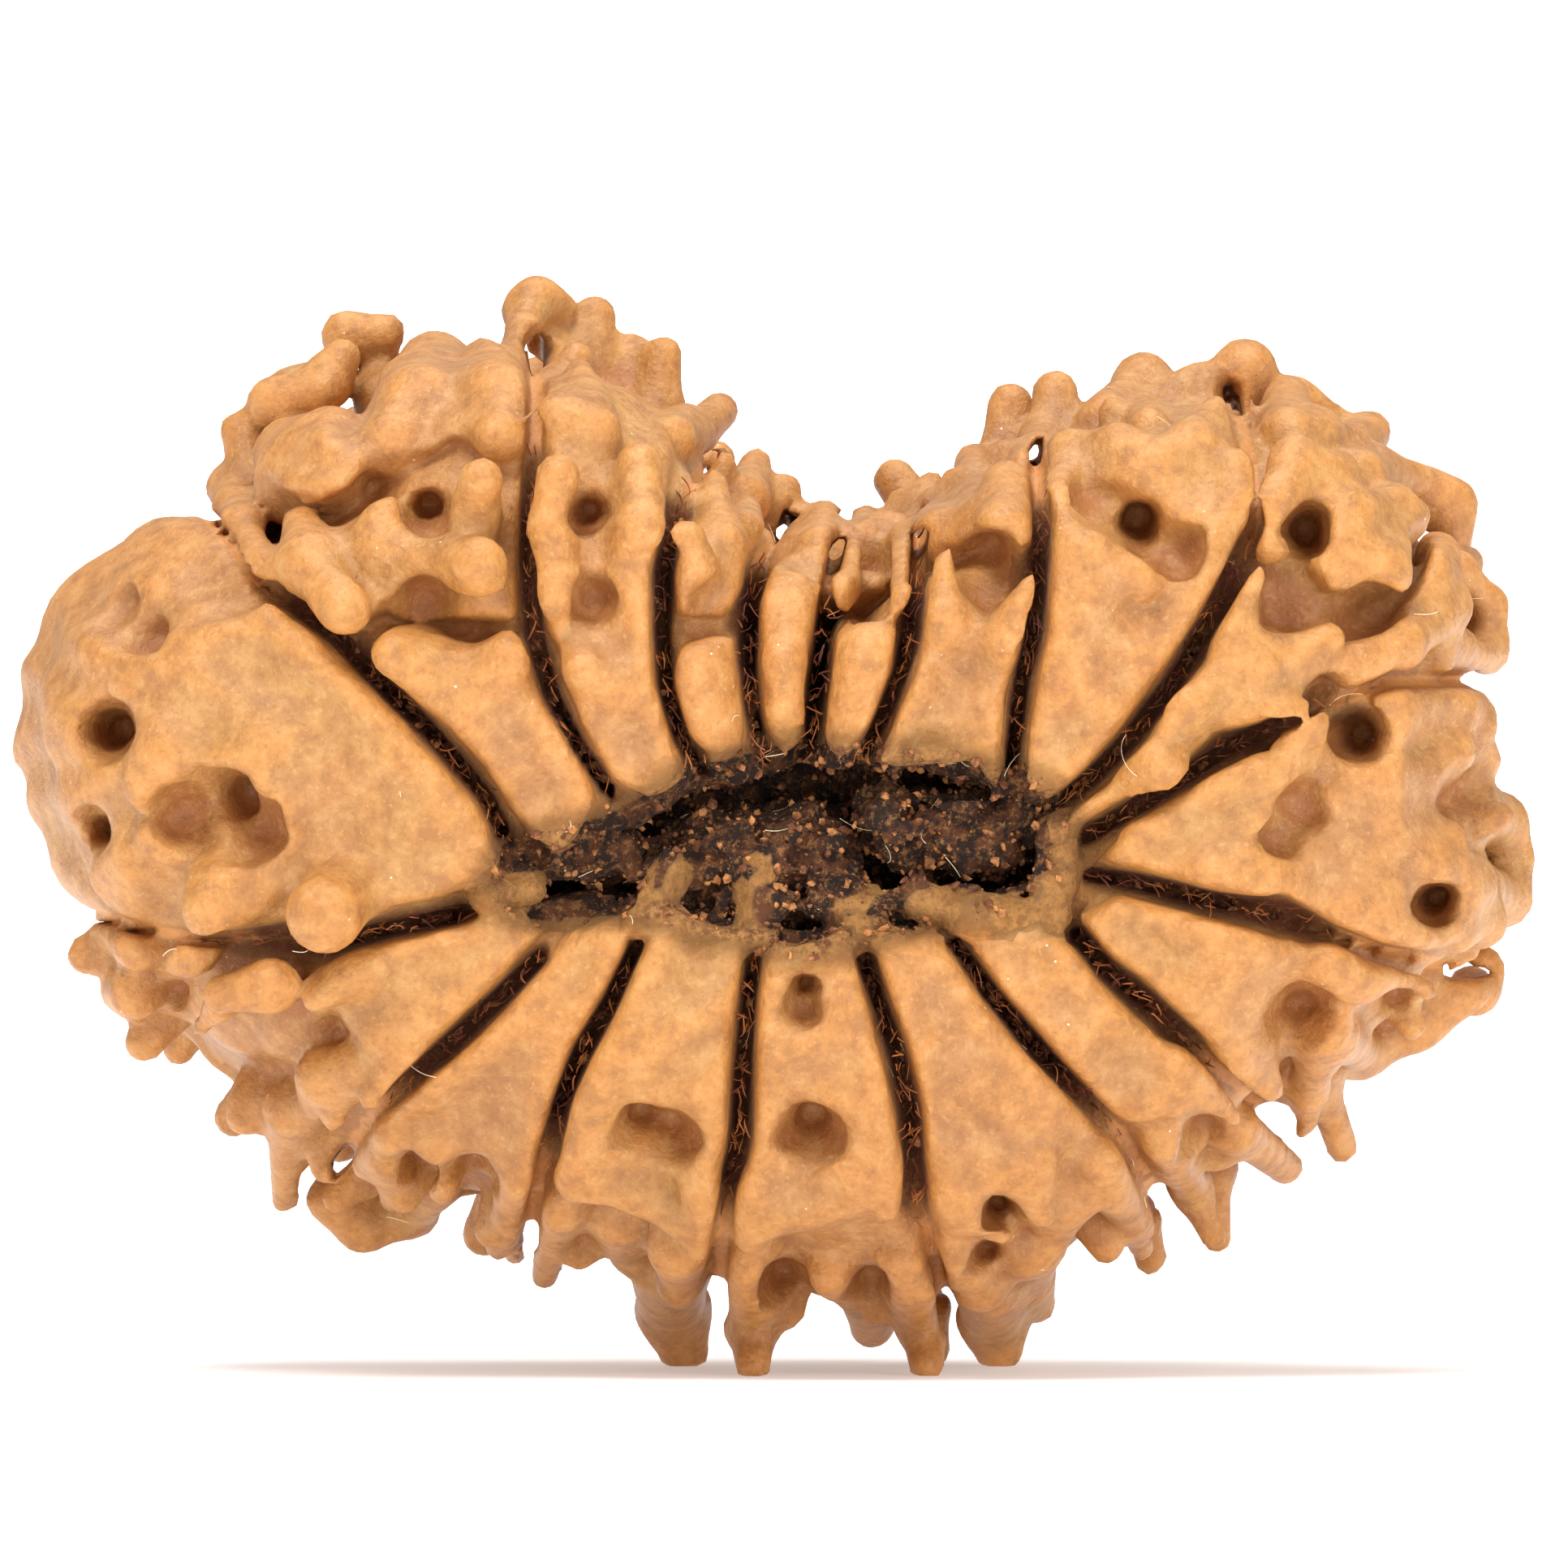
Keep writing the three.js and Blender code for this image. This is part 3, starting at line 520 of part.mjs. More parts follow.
// Signed distance in the face's plane to the mouth: negative inside it.
function mouthDistance(x, z) {
  let nearest = Infinity;
  for (let i = 1; i < MOUTH.length; i += 1) {
    const [ax, az, ar] = MOUTH[i - 1];
    const [bx, bz, br] = MOUTH[i];
    const along = ((x - ax) * (bx - ax) + (z - az) * (bz - az)) / ((bx - ax) ** 2 + (bz - az) ** 2);
    const t = THREE.MathUtils.clamp(along, 0, 1);
    const centre = Math.hypot(x - ax - t * (bx - ax), z - az - t * (bz - az));
    nearest = Math.min(nearest, centre - THREE.MathUtils.lerp(ar, br, t));
  }
  return nearest;
}

function mouthDip(x, z) {
  const away = Math.max(mouthDistance(x, z), 0) / MOUTH_DIP.reach;
  return MOUTH_DIP.depth * Math.exp(-away * away);
}

// How far the smooth face stands in front of the bead's middle plane.
function faceDepth(x, z) {
  const share = outlineShare(x, z);
  if (share >= 1) {
    return 0;
  }
  return HALF_DEPTH * (1 - share ** BULGE) ** (1 / BULGE) - mouthDip(x, z);
}

// Near enough the signed distance to the smooth body.
function bodyDistance(x, y, z) {
  const dx = x - CENTRE.x;
  const dz = z - CENTRE.y;
  const radius = outlineRadius(Math.atan2(dz, dx));
  const share = Math.hypot(dx, dz) / radius;
  const height = Math.abs(y) / HALF_DEPTH;
  const size = (share ** BULGE + height ** BULGE) ** (1 / BULGE);
  const outward = (share / size) ** (BULGE - 1) / radius;
  const sideways = (height / size) ** (BULGE - 1) / HALF_DEPTH;
  return (size - 1) / Math.max(Math.hypot(outward, sideways), 1 / radius);
}

function swell(x, y, z) {
  const w = SWELL.wave;
  const first = Math.sin(w * x + 1.7 * Math.sin(0.6 * w * z)) * Math.sin(w * z + 1.1 * Math.sin(0.5 * w * y));
  return SWELL.height * (first + Math.sin(0.8 * w * y + 0.7 * w * x));
}

// The angle at which a cleft crosses a circle round the centre.
function cleftAngle(cleft, radius) {
  const polar = cleft.map(([x, z]) => [Math.hypot(x - CENTRE.x, z - CENTRE.y), x - CENTRE.x, z - CENTRE.y]);
  let i = 1;
  while (i < polar.length - 1 && polar[i][0] < radius) {
    i += 1;
  }
  const span = polar[i][0] - polar[i - 1][0];
  const t = THREE.MathUtils.clamp((radius - polar[i - 1][0]) / span, 0, 1);
  const x = THREE.MathUtils.lerp(polar[i - 1][1], polar[i][1], t);
  return Math.atan2(THREE.MathUtils.lerp(polar[i - 1][2], polar[i][2], t), x);
}

// Which segment a point of the face lies in. Segment n lies clockwise before cleft n.
function segmentAt(x, z) {
  const radius = Math.hypot(x - CENTRE.x, z - CENTRE.y);
  const angle = Math.atan2(z - CENTRE.y, x - CENTRE.x);
  let segment = 0;
  let least = Infinity;
  CLEFTS.forEach((cleft, n) => {
    const ahead = THREE.MathUtils.euclideanModulo(angle - cleftAngle(cleft, radius), 2 * Math.PI);
    if (ahead < least) {
      least = ahead;
      segment = n;
    }
  });
  return segment;
}

// A box of evenly spaced samples of the form's field: negative in the wood, positive outside it.
class Field {
  constructor(low, high, cell) {
    this.low = low;
    this.cell = cell;
    this.count = [0, 1, 2].map((axis) => Math.ceil((high[axis] - low[axis]) / cell) + 1);
    this.values = new Float32Array(this.count[0] * this.count[1] * this.count[2]);
  }

  at(axis, i) {
    return this.low[axis] + i * this.cell;
  }

  index(i, j, k) {
    return i + this.count[0] * (j + this.count[1] * k);
  }

  // Visits the samples of a box and stores what the rule returns.
  change(low, high, rule) {
    const from = [0, 1, 2].map((axis) => Math.max(0, Math.ceil((low[axis] - this.low[axis]) / this.cell)));
    const to = [0, 1, 2].map((axis) => {
      return Math.min(this.count[axis] - 1, Math.floor((high[axis] - this.low[axis]) / this.cell));
    });
    for (let k = from[2]; k <= to[2]; k += 1) {
      for (let j = from[1]; j <= to[1]; j += 1) {
        for (let i = from[0]; i <= to[0]; i += 1) {
          const n = this.index(i, j, k);
          this.values[n] = rule(this.values[n], this.at(0, i), this.at(1, j), this.at(2, k));
        }
      }
    }
  }

  // Visits the samples round a tapered rod with round ends and passes the rule its distance, x and z.
  changeRod(a, b, reach, rule) {
    const axes = ["x", "y", "z"];
    const pad = Math.max(a.radius, b.radius) + reach;
    const low = axes.map((axis) => Math.min(a[axis], b[axis]) - pad);
    const high = axes.map((axis) => Math.max(a[axis], b[axis]) + pad);
    const [bx, by, bz] = axes.map((axis) => b[axis] - a[axis]);
    const square = Math.max(bx * bx + by * by + bz * bz, 1e-9);
    this.change(low, high, (value, x, y, z) => {
      const [px, py, pz] = [x - a.x, y - a.y, z - a.z];
      const t = THREE.MathUtils.clamp((px * bx + py * by + pz * bz) / square, 0, 1);
      const away = Math.hypot(px - t * bx, py - t * by, pz - t * bz);
      return rule(value, away - THREE.MathUtils.lerp(a.radius, b.radius, t), x, z);
    });
  }

  addRod(a, b) {
    this.changeRod(a, b, WEB, (value, rod) => smoothMin(value, rod, WEB));
  }

  cutPit(a, b) {
    const w = PIT_WOBBLE.wave;
    this.changeRod(a, b, PIT_EDGE + PIT_WOBBLE.height, (value, rod, x, z) => {
      const wobble = PIT_WOBBLE.height * Math.sin(w * x + 1.3 * Math.sin(w * z)) * Math.sin(w * z);
      return smoothMax(value, wobble - rod, PIT_EDGE);
    });
  }

  // Adds a chain of face nodes, and gives its foot a root into the wood.
  addChain(chain) {
    const nodes = chain.map(([x, z, lift, radius]) => {
      return { x, y: -(faceDepth(x, z) + lift), z, radius: radius * FULLNESS };
    });
    const [foot] = nodes;
    this.addRod({ ...foot, y: foot.y + ROOT }, foot);
    for (let i = 1; i < nodes.length; i += 1) {
      this.addRod(nodes[i - 1], nodes[i]);
    }
  }
}

// How far the wood lies below the plates' common face.
function groundDrop(share, back) {
  if (back) {
    return GROUND_DROP.rim;
  }
  const inner = THREE.MathUtils.smoothstep(share, ...FADE.groundMouth);
  const outer = THREE.MathUtils.smoothstep(share, ...FADE.groundRim);
  const middle = THREE.MathUtils.lerp(GROUND_DROP.mouth, GROUND_DROP.middle, inner);
  return THREE.MathUtils.lerp(middle, GROUND_DROP.rim, outer);
}

const BOX = { low: [-20, -13.6, -1.5 * CELL], high: [20, 13, 28] };

// What the clefts do to each place of the face. Behind the middle they run in closer to the centre, to the
// stem's scar.
function measureGrooves() {
  const known = new Map();
  return (x, z, back) => {
    const key = `${x},${z},${back}`;
    if (!known.has(key)) {
      const dx = x - CENTRE.x;
      const dz = z - CENTRE.y;
      const pull = back ? 1 + BACK_PULL.gain * Math.exp(-((Math.hypot(dx, dz) / BACK_PULL.reach) ** 2)) : 1;
      const px = CENTRE.x + dx * pull;
      const pz = CENTRE.y + dz * pull;
      const share = outlineShare(px, pz);
      const distance = Math.min(...CLEFTS.map((cleft) => lineDistance(px, pz, cleft))) / pull;
      const inner = THREE.MathUtils.smoothstep(share, ...FADE.mouth);
      const outer = THREE.MathUtils.smoothstep(share, ...FADE.rim);
      const middle = THREE.MathUtils.lerp(CLEFT_HALF_WIDTH.mouth, CLEFT_HALF_WIDTH.middle, inner);
      known.set(key, {
        width: THREE.MathUtils.lerp(middle, CLEFT_HALF_WIDTH.rim, outer),
        distance,
        depth: THREE.MathUtils.lerp(CLEFT_DEPTH.face, CLEFT_DEPTH.rim, outer),
        drop: groundDrop(share, back),
        lift: SEGMENT_LIFT[segmentAt(px, pz)],
        dip: back ? 0 : mouthDip(x, z),
      });
    }
    return known.get(key);
  };
}

const grooveAt = measureGrooves();

// The smooth body with its swells and the dip round its mouth.
function bodyAt(x, y, z) {
  const smooth = bodyDistance(x, y, z);
  if (Math.abs(smooth) > SKIN_REACH) {
    return smooth;
  }
  const groove = grooveAt(x, z, y > 0);
  return smooth + groove.dip - groove.lift - swell(x, y, z);
}

// The clefts part the knobs and the body, but spare the spines that reach well out over them.
function cutClefts(field) {
  field.change(BOX.low, BOX.high, (value, x, y, z) => {
    const body = bodyAt(x, y, z);
    if (Math.abs(body) > SKIN_REACH) {
      return value;
    }
    const groove = grooveAt(x, z, y > 0);
    const width = groove.width * (CLEFT_FLARE.top + CLEFT_FLARE.slope * Math.min(body, 0));
    const gap = width - groove.distance - Math.max(body - CLEFT_REACH, 0);
    return smoothMin(smoothMax(value, gap, SHOULDER), body + groove.depth, CLEFT_FLARE.floor);
  });
}

// The plates, each as high as the face, with a slightly raised edge.
function addPlates(field) {
  for (const [lift, ...corners] of PLATES) {
    const xs = corners.map(([x]) => x);
    const zs = corners.map(([, z]) => z);
    const low = [Math.min(...xs) - 1, BOX.low[1], Math.min(...zs) - 1];
    const edges = new Map();
    field.change(low, [Math.max(...xs) + 1, 0, Math.max(...zs) + 1], (value, x, y, z) => {
      const body = bodyAt(x, y, z);
      if (Math.abs(body) > SKIN_REACH) {
        return value;
      }
      const key = `${x},${z}`;
      if (!edges.has(key)) {
        edges.set(key, plateDistance(x, z, corners));
      }
      const edge = edges.get(key);
      const side = edge + PLATE.spread * Math.min(body - lift, 0);
      const raised = 1 - THREE.MathUtils.smoothstep(-edge, PLATE.strip, PLATE.fade);
      const top = body - lift - PLATE.rim * raised;
      return smoothMin(value, smoothMax(side, top, PLATE.edge), PLATE.web);
    });
  }
}

function openMouth(field) {
  const floor = MOUTH_DEPTH - HALF_DEPTH;
  field.change([-9, BOX.low[1], 8], [9, floor + 1, 18], (value, x, y, z) => {
    return smoothMax(value, -Math.max(mouthDistance(x, z), y - floor), PIT_EDGE);
  });
  for (const [x, z, halfWidth, halfHeight, deep] of PITH) {
    const middle = deep + PITH_HALF_DEPTH - HALF_DEPTH;
    const small = Math.min(halfWidth, halfHeight);
    const low = [x - halfWidth - 1, BOX.low[1], z - halfHeight - 1];
    const high = [x + halfWidth + 1, middle + PITH_HALF_DEPTH, z + halfHeight + 1];
    field.change(low, high, (value, px, py, pz) => {
      const reach = [(px - x) / halfWidth, (py - middle) / PITH_HALF_DEPTH, (pz - z) / halfHeight];
      const size = reach.reduce((sum, share) => sum + Math.abs(share) ** PITH_BULGE, 0) ** (1 / PITH_BULGE);
      return smoothMin(value, (size - 1) * small, PITH_EDGE);
    });
  }
  for (const tongue of TONGUES) {
    field.addChain(tongue);
  }
}

function addFaceRelief(field) {
  for (const chain of FACE_RELIEF) {
    field.addChain(chain);
  }
}

function cutPits(field) {
  for (const [x, z, radius, depth, dx, dz] of FACE_PITS) {
    const y = -faceDepth(x, z);
    const top = { x, y, z, radius: radius * PIT_TAPER.top };
    field.cutPit({ ...top, y: y - PIT_CLEARANCE }, top);
    field.cutPit(top, { x: x + dx, y: y + depth, z: z + dz, radius: radius * PIT_TAPER.floor });
  }
}

// Knobs in rows on each segment, from the rim over the back.
function addHiddenRelief(field) {
  const random = makeRandom(SEED);
  const between = (low, high) => low + (high - low) * random();
  for (const row of HIDDEN_ROWS) {
    const turn = THREE.MathUtils.degToRad(row.turn);
    const share = Math.cos(turn) ** (2 / BULGE);
    const y = Math.sign(turn) * HALF_DEPTH * Math.abs(Math.sin(turn)) ** (2 / BULGE);
    CLEFTS.forEach((cleft, n) => {
      if (n === 0 && row.turn < SMOOTH_TURN) {
        return;
      }
      const roughRadius = share * outlineRadius(cleftAngle(cleft, ROUGH_RADIUS));
      const start = cleftAngle(cleft, roughRadius);
      const next = cleftAngle(CLEFTS[(n + CLEFTS.length - 1) % CLEFTS.length], roughRadius);
      const span = THREE.MathUtils.euclideanModulo(next - start, 2 * Math.PI);
      const count = Math.max(1, Math.round((span * roughRadius) / row.gap));
      for (let i = 0; i < count; i += 1) {
        const angle = start + (span * (i + between(0.35, 0.65))) / count;
        const radius = outlineRadius(angle) * share;
        const x = CENTRE.x + radius * Math.cos(angle);
        const z = CENTRE.y + radius * Math.sin(angle);
        const out = bodyNormal(x, y, z);
        const rise = row.height * between(0.6, 1.4);
        const thick = row.radius * between(0.8, 1.2);
        const lean = new THREE.Vector3(between(-0.5, 0.5), between(-0.5, 0.5), between(-0.5, 0.5));
        const tip = new THREE.Vector3(x, y, z).addScaledVector(out, rise).addScaledVector(lean, rise);
        const foot = new THREE.Vector3(x, y, z).addScaledVector(out, -HIDDEN_KNOB.root);
        field.addRod(
          { x: foot.x, y: foot.y, z: foot.z, radius: thick },
          { x: tip.x, y: tip.y, z: Math.max(tip.z, LOWEST_KNOB + thick), radius: thick * HIDDEN_KNOB.taper },
        );
      }
    });
  }
}

function bodyNormal(x, y, z) {
  const step = 0.05;
  return new THREE.Vector3(
    bodyDistance(x + step, y, z) - bodyDistance(x - step, y, z),
    bodyDistance(x, y + step, z) - bodyDistance(x, y - step, z),
    bodyDistance(x, y, z + step) - bodyDistance(x, y, z - step),
  ).normalize();
}

// The skin of a field, found in the six tetrahedra that each cell splits into round its long diagonal.
function polygonise(field) {
  const [nx, ny, nz] = field.count;
  const steps = [1, nx, nx * ny];
  const paths = [[0, 1, 2, 1], [1, 2, 0, 1], [2, 0, 1, 1], [0, 2, 1, -1], [2, 1, 0, -1], [1, 0, 2, -1]];
  const orders = [[0, 1, 2, 3], [1, 0, 3, 2], [2, 0, 1, 3], [3, 0, 2, 1]];
  const pairs = [[0, 1, 2, 3], [0, 2, 3, 1], [0, 3, 1, 2], [1, 2, 0, 3], [1, 3, 2, 0], [2, 3, 0, 1]];
  const vertexOf = new Map();
  const positions = [];
  const triangles = [];
  const { values, low, cell } = field;
  const place = (n) => {
    const along = [n % nx, Math.floor(n / nx) % ny, Math.floor(n / (nx * ny))];
    return along.map((i, axis) => low[axis] + i * cell);
  };
  const crossing = (a, b) => {
    const key = Math.min(a, b) * 8 + offsetCode(Math.abs(b - a));
    if (!vertexOf.has(key)) {
      const t = THREE.MathUtils.clamp(values[a] / (values[a] - values[b]), 0.04, 0.96);
      const from = place(a);
      const to = place(b);
      vertexOf.set(key, positions.length / 3);
      positions.push(...from.map((start, axis) => start + t * (to[axis] - start)));
    }
    return vertexOf.get(key);
  };
  // From a cell's first sample to the one at each of its eight corners.
  const cornerStep = (code) => {
    return steps.reduce((sum, step, axis) => sum + ((code >> axis) & 1) * step, 0);
  };
  const offsets = new Map();
  for (let code = 1; code < 8; code += 1) {
    offsets.set(cornerStep(code), code);
  }
  const offsetCode = (offset) => offsets.get(offset);
  const emit = (a, b, c, sign) => {
    triangles.push(...(sign > 0 ? [a, b, c] : [a, c, b]));
  };
  for (let k = 0; k < nz - 1; k += 1) {
    for (let j = 0; j < ny - 1; j += 1) {
      for (let i = 0; i < nx - 1; i += 1) {
        const base = field.index(i, j, k);
        let total = 0;
        for (let code = 0; code < 8; code += 1) {
          total += values[base + cornerStep(code)] < 0 ? 1 : 0;
        }
        if (total === 0 || total === 8) {
          continue;
        }
        for (const [first, second, third, sign] of paths) {
          const corners = [base, base + steps[first]];
          corners.push(corners[1] + steps[second]);
          corners.push(corners[2] + steps[third]);
          const wet = corners.map((n) => values[n] < 0);
          const count = wet.filter(Boolean).length;
          if (count === 1 || count === 3) {
            const lone = wet.indexOf(count === 1);
            const [a, b, c, d] = orders[lone].map((n) => corners[n]);
            emit(crossing(a, b), crossing(a, c), crossing(a, d), count === 1 ? sign : -sign);
          } else if (count === 2) {
            const pair = pairs.find(([p, q]) => wet[p] && wet[q]);
            const [a, b, c, d] = pair.map((n) => corners[n]);
            emit(crossing(a, c), crossing(a, d), crossing(b, d), sign);
            emit(crossing(a, c), crossing(b, d), crossing(b, c), sign);
          }
        }
      }
    }
  }
  return { positions: Float64Array.from(positions), triangles: Int32Array.from(triangles) };
}

// Keeps the body with the most volume and drops loose scraps and sealed hollows.
function keepLargest({ positions, triangles }) {
  const parent = Int32Array.from({ length: positions.length / 3 }, (_, n) => n);
  const find = (n) => {
    while (parent[n] !== n) {
      parent[n] = parent[parent[n]];
      n = parent[n];
    }
    return n;
  };
  for (let t = 0; t < triangles.length; t += 3) {
    parent[find(triangles[t])] = find(triangles[t + 1]);
    parent[find(triangles[t + 1])] = find(triangles[t + 2]);
  }
  const volume = new Map();
  const corner = [new THREE.Vector3(), new THREE.Vector3(), new THREE.Vector3()];
  for (let t = 0; t < triangles.length; t += 3) {
    corner.forEach((point, n) => point.fromArray(positions, triangles[t + n] * 3));
    const body = find(triangles[t]);
    volume.set(body, (volume.get(body) ?? 0) + corner[0].dot(corner[1].cross(corner[2])) / 6);
  }
  const [largest] = [...volume.entries()].sort((a, b) => b[1] - a[1])[0];
  const kept = [];
  for (let t = 0; t < triangles.length; t += 3) {
    if (find(triangles[t]) === largest) {
      kept.push(triangles[t], triangles[t + 1], triangles[t + 2]);
    }
  }
  return { positions, triangles: Int32Array.from(kept) };
}

// Evens out the saw-toothed skin that sampling leaves, in pairs of steps in and out so that nothing
// shrinks. What lies on the ground stays on it.
function relax({ positions, triangles }) {
  const count = positions.length / 3;
  for (const step of RELAX_STEPS) {
    const sums = new Float64Array(positions.length);
    const hits = new Float64Array(count);
    for (let t = 0; t < triangles.length; t += 3) {
      for (let n = 0; n < 3; n += 1) {
        const here = triangles[t + n];
        const next = triangles[t + ((n + 1) % 3)];
        hits[here] += 1;
        for (let axis = 0; axis < 3; axis += 1) {
          sums[3 * here + axis] += positions[3 * next + axis];
        }
      }
    }
    for (let v = 0; v < count; v += 1) {
      const grounded = Math.abs(positions[3 * v + 2]) < FLAT;
      for (let axis = 0; axis < (grounded ? 2 : 3) && hits[v] > 0; axis += 1) {
        const mean = sums[3 * v + axis] / hits[v];
        positions[3 * v + axis] += step * (mean - positions[3 * v + axis]);
      }
    }
  }
  return { positions, triangles };
}

// A heap of edges, the cheapest to remove on top.
class EdgeHeap {
  constructor() {
    this.items = [];
  }

  push(item) {
    const { items } = this;
    let n = items.length;
    items.push(item);
    while (n > 0) {
      const up = (n - 1) >> 1;
      if (items[up].cost <= item.cost) {
        break;
      }
      items[n] = items[up];
      n = up;
    }
    items[n] = item;
  }

  pop() {
    const { items } = this;
    const [top] = items;
    const item = items.pop();
    if (items.length > 0) {
      let n = 0;
      for (;;) {
        let down = 2 * n + 1;
        if (down >= items.length) {
          break;
        }
        if (down + 1 < items.length && items[down + 1].cost < items[down].cost) {
          down += 1;
        }
        if (items[down].cost >= item.cost) {
          break;
        }
        items[n] = items[down];
        n = down;
      }
      items[n] = item;
    }
    return top;
  }
}

// Thins a closed skin by removing the edges that change its form least, and never opens or pinches it. The
// flat soles of the feet are left as they are.
class Thinner {
  constructor({ positions, triangles }) {
    this.positions = positions;
    this.faces = triangles;
    const count = positions.length / 3;
    this.around = Array.from({ length: count }, () => []);
    this.stamp = new Int32Array(count);
    this.quadrics = new Float64Array(count * 10);
    this.live = new Uint8Array(triangles.length / 3).fill(1);
    this.left = triangles.length / 3;
    for (let f = 0; f < this.left; f += 1) {
      for (let n = 0; n < 3; n += 1) {
        this.around[triangles[3 * f + n]].push(f);
      }
      this.addPlane(f);
    }
  }

  point(v) {
    return new THREE.Vector3().fromArray(this.positions, 3 * v);
  }

  // The plane of a face, weighted by its area, joins the measure of its three corners.
  addPlane(f) {
    const [a, b, c] = [0, 1, 2].map((n) => this.point(this.faces[3 * f + n]));
    const normal = b.clone().sub(a).cross(c.clone().sub(a));
    const area = normal.length() / 2;
    if (area < 1e-12) {
      return;
    }
    normal.normalize();
    const plane = [normal.x, normal.y, normal.z, -normal.dot(a)];
    for (let n = 0; n < 3; n += 1) {
      const start = this.faces[3 * f + n] * 10;
      let entry = 0;
      for (let row = 0; row < 4; row += 1) {
        for (let column = row; column < 4; column += 1) {
          this.quadrics[start + entry] += area * plane[row] * plane[column];
          entry += 1;
        }
      }
    }
  }

  // The best place for the vertex that replaces an edge, and what the change costs.
  measure(u, v) {
    const q = new Float64Array(10);
    for (let n = 0; n < 10; n += 1) {
      q[n] = this.quadrics[10 * u + n] + this.quadrics[10 * v + n];
    }
    const error = ({ x, y, z }) => {
      const squares = q[0] * x * x + q[4] * y * y + q[7] * z * z + q[9];
      return squares + 2 * (q[1] * x * y + q[2] * x * z + q[3] * x + q[5] * y * z + q[6] * y + q[8] * z);
    };
    const from = this.point(u);
    const to = this.point(v);
    const choices = [from.clone().lerp(to, 0.5), from, to];
    const length = from.distanceTo(to);
    const [a, b, c, d, e, f] = [q[0], q[1], q[2], q[4], q[5], q[7]];
    const minor = [d * f - e * e, c * e - b * f, b * e - c * d];
    const det = a * minor[0] + b * minor[1] + c * minor[2];
    if (Math.abs(det) > 1e-9) {
      const [r, s, t] = [-q[3], -q[6], -q[8]];
      const best = new THREE.Vector3(
        minor[0] * r + minor[1] * s + minor[2] * t,
        minor[1] * r + (a * f - c * c) * s + (b * c - a * e) * t,
        minor[2] * r + (b * c - a * e) * s + (a * d - b * b) * t,
      ).divideScalar(det);
      if (best.distanceTo(choices[0]) < 1.2 * length) {
        choices.push(best);
      }
    }
    let chosen = choices[0];
    let least = Infinity;
    for (const choice of choices) {
      const cost = error(choice);
      if (cost < least) {
        least = cost;
        chosen = choice;
      }
    }
    const care = chosen.y > 0 ? HIDDEN_CARE : 1;
    return { place: chosen, cost: care * Math.max(least, 0) + 1e-5 * length * length };
  }

  neighbours(v) {
    const found = new Set();
    for (const f of this.around[v]) {
      for (let n = 0; n < 3; n += 1) {
        found.add(this.faces[3 * f + n]);
      }
    }
    found.delete(v);
    return found;
  }

  // Whether the faces of a vertex, but for those it shares with another, keep their way round.
  staysRound(v, other, place) {
    if (place.z < SOLE_CLEARANCE) {
      return false;
    }
    for (const f of this.around[v]) {
      const corners = [0, 1, 2].map((n) => this.faces[3 * f + n]);
      if (corners.includes(other)) {
        continue;
      }
      const before = corners.map((n) => this.point(n));
      const after = corners.map((n) => (n === v ? place : this.point(n)));
      const [was, is] = [before, after].map(([a, b, c]) => b.clone().sub(a).cross(c.clone().sub(a)));
      const [leanBefore, leanAfter] = [before, after].map(([a, b, c], n) => {
        const longest = Math.max(a.distanceToSquared(b), b.distanceToSquared(c), c.distanceToSquared(a));
        return [was, is][n].length() / longest;
      });
      const turned = was.dot(is) < MOST_TURN * was.length() * is.length();
      if (turned || leanAfter < Math.min(SLIVER, 0.9 * leanBefore)) {
        return false;
      }
    }
    return true;
  }

  collapse(u, v, place) {
    const first = this.neighbours(u);
    const second = this.neighbours(v);
    const shared = [...first].filter((n) => second.has(n));
    if (shared.length !== 2 || shared.some((n) => this.around[n].length <= 3)) {
      return false;
    }
    if (!this.staysRound(u, v, place) || !this.staysRound(v, u, place)) {
      return false;
    }
    place.toArray(this.positions, 3 * u);
    for (let n = 0; n < 10; n += 1) {
      this.quadrics[10 * u + n] += this.quadrics[10 * v + n];
    }
    for (const f of this.around[v]) {
      const corners = [0, 1, 2].map((n) => this.faces[3 * f + n]);
      if (corners.includes(u)) {
        this.live[f] = 0;
        this.left -= 1;
        for (const n of corners) {
          if (n !== v) {
            this.around[n] = this.around[n].filter((g) => g !== f);
          }
        }
      } else {
        this.faces[3 * f + corners.indexOf(v)] = u;
        this.around[u].push(f);
      }
    }
    this.around[v] = [];
    this.stamp[u] += 1;
    this.stamp[v] += 1;
    return true;
  }

  thin(target) {
    const heap = new EdgeHeap();
    const grounded = (v) => Math.abs(this.positions[3 * v + 2]) < FLAT;
    const offer = (u, v) => {
      if (grounded(u) || grounded(v)) {
        return;
      }
      const { place, cost } = this.measure(u, v);
      heap.push({ u, v, place, cost, stamps: this.stamp[u] + this.stamp[v] });
    };
    for (let v = 0; v < this.around.length; v += 1) {
      for (const n of this.neighbours(v)) {
        if (n > v) {
          offer(v, n);
        }
      }
    }
    while (this.left > target && heap.items.length > 0) {
      const { u, v, place, stamps } = heap.pop();
      const fresh = this.around[u].length > 0 && this.around[v].length > 0;
      if (fresh && stamps === this.stamp[u] + this.stamp[v] && this.collapse(u, v, place)) {
        const ring = this.neighbours(u);
        for (const n of ring) {
          offer(u, n);
          for (const m of this.neighbours(n)) {
            if (m > n && ring.has(m)) {
              offer(n, m);
            }
          }
        }
      }
    }
  }

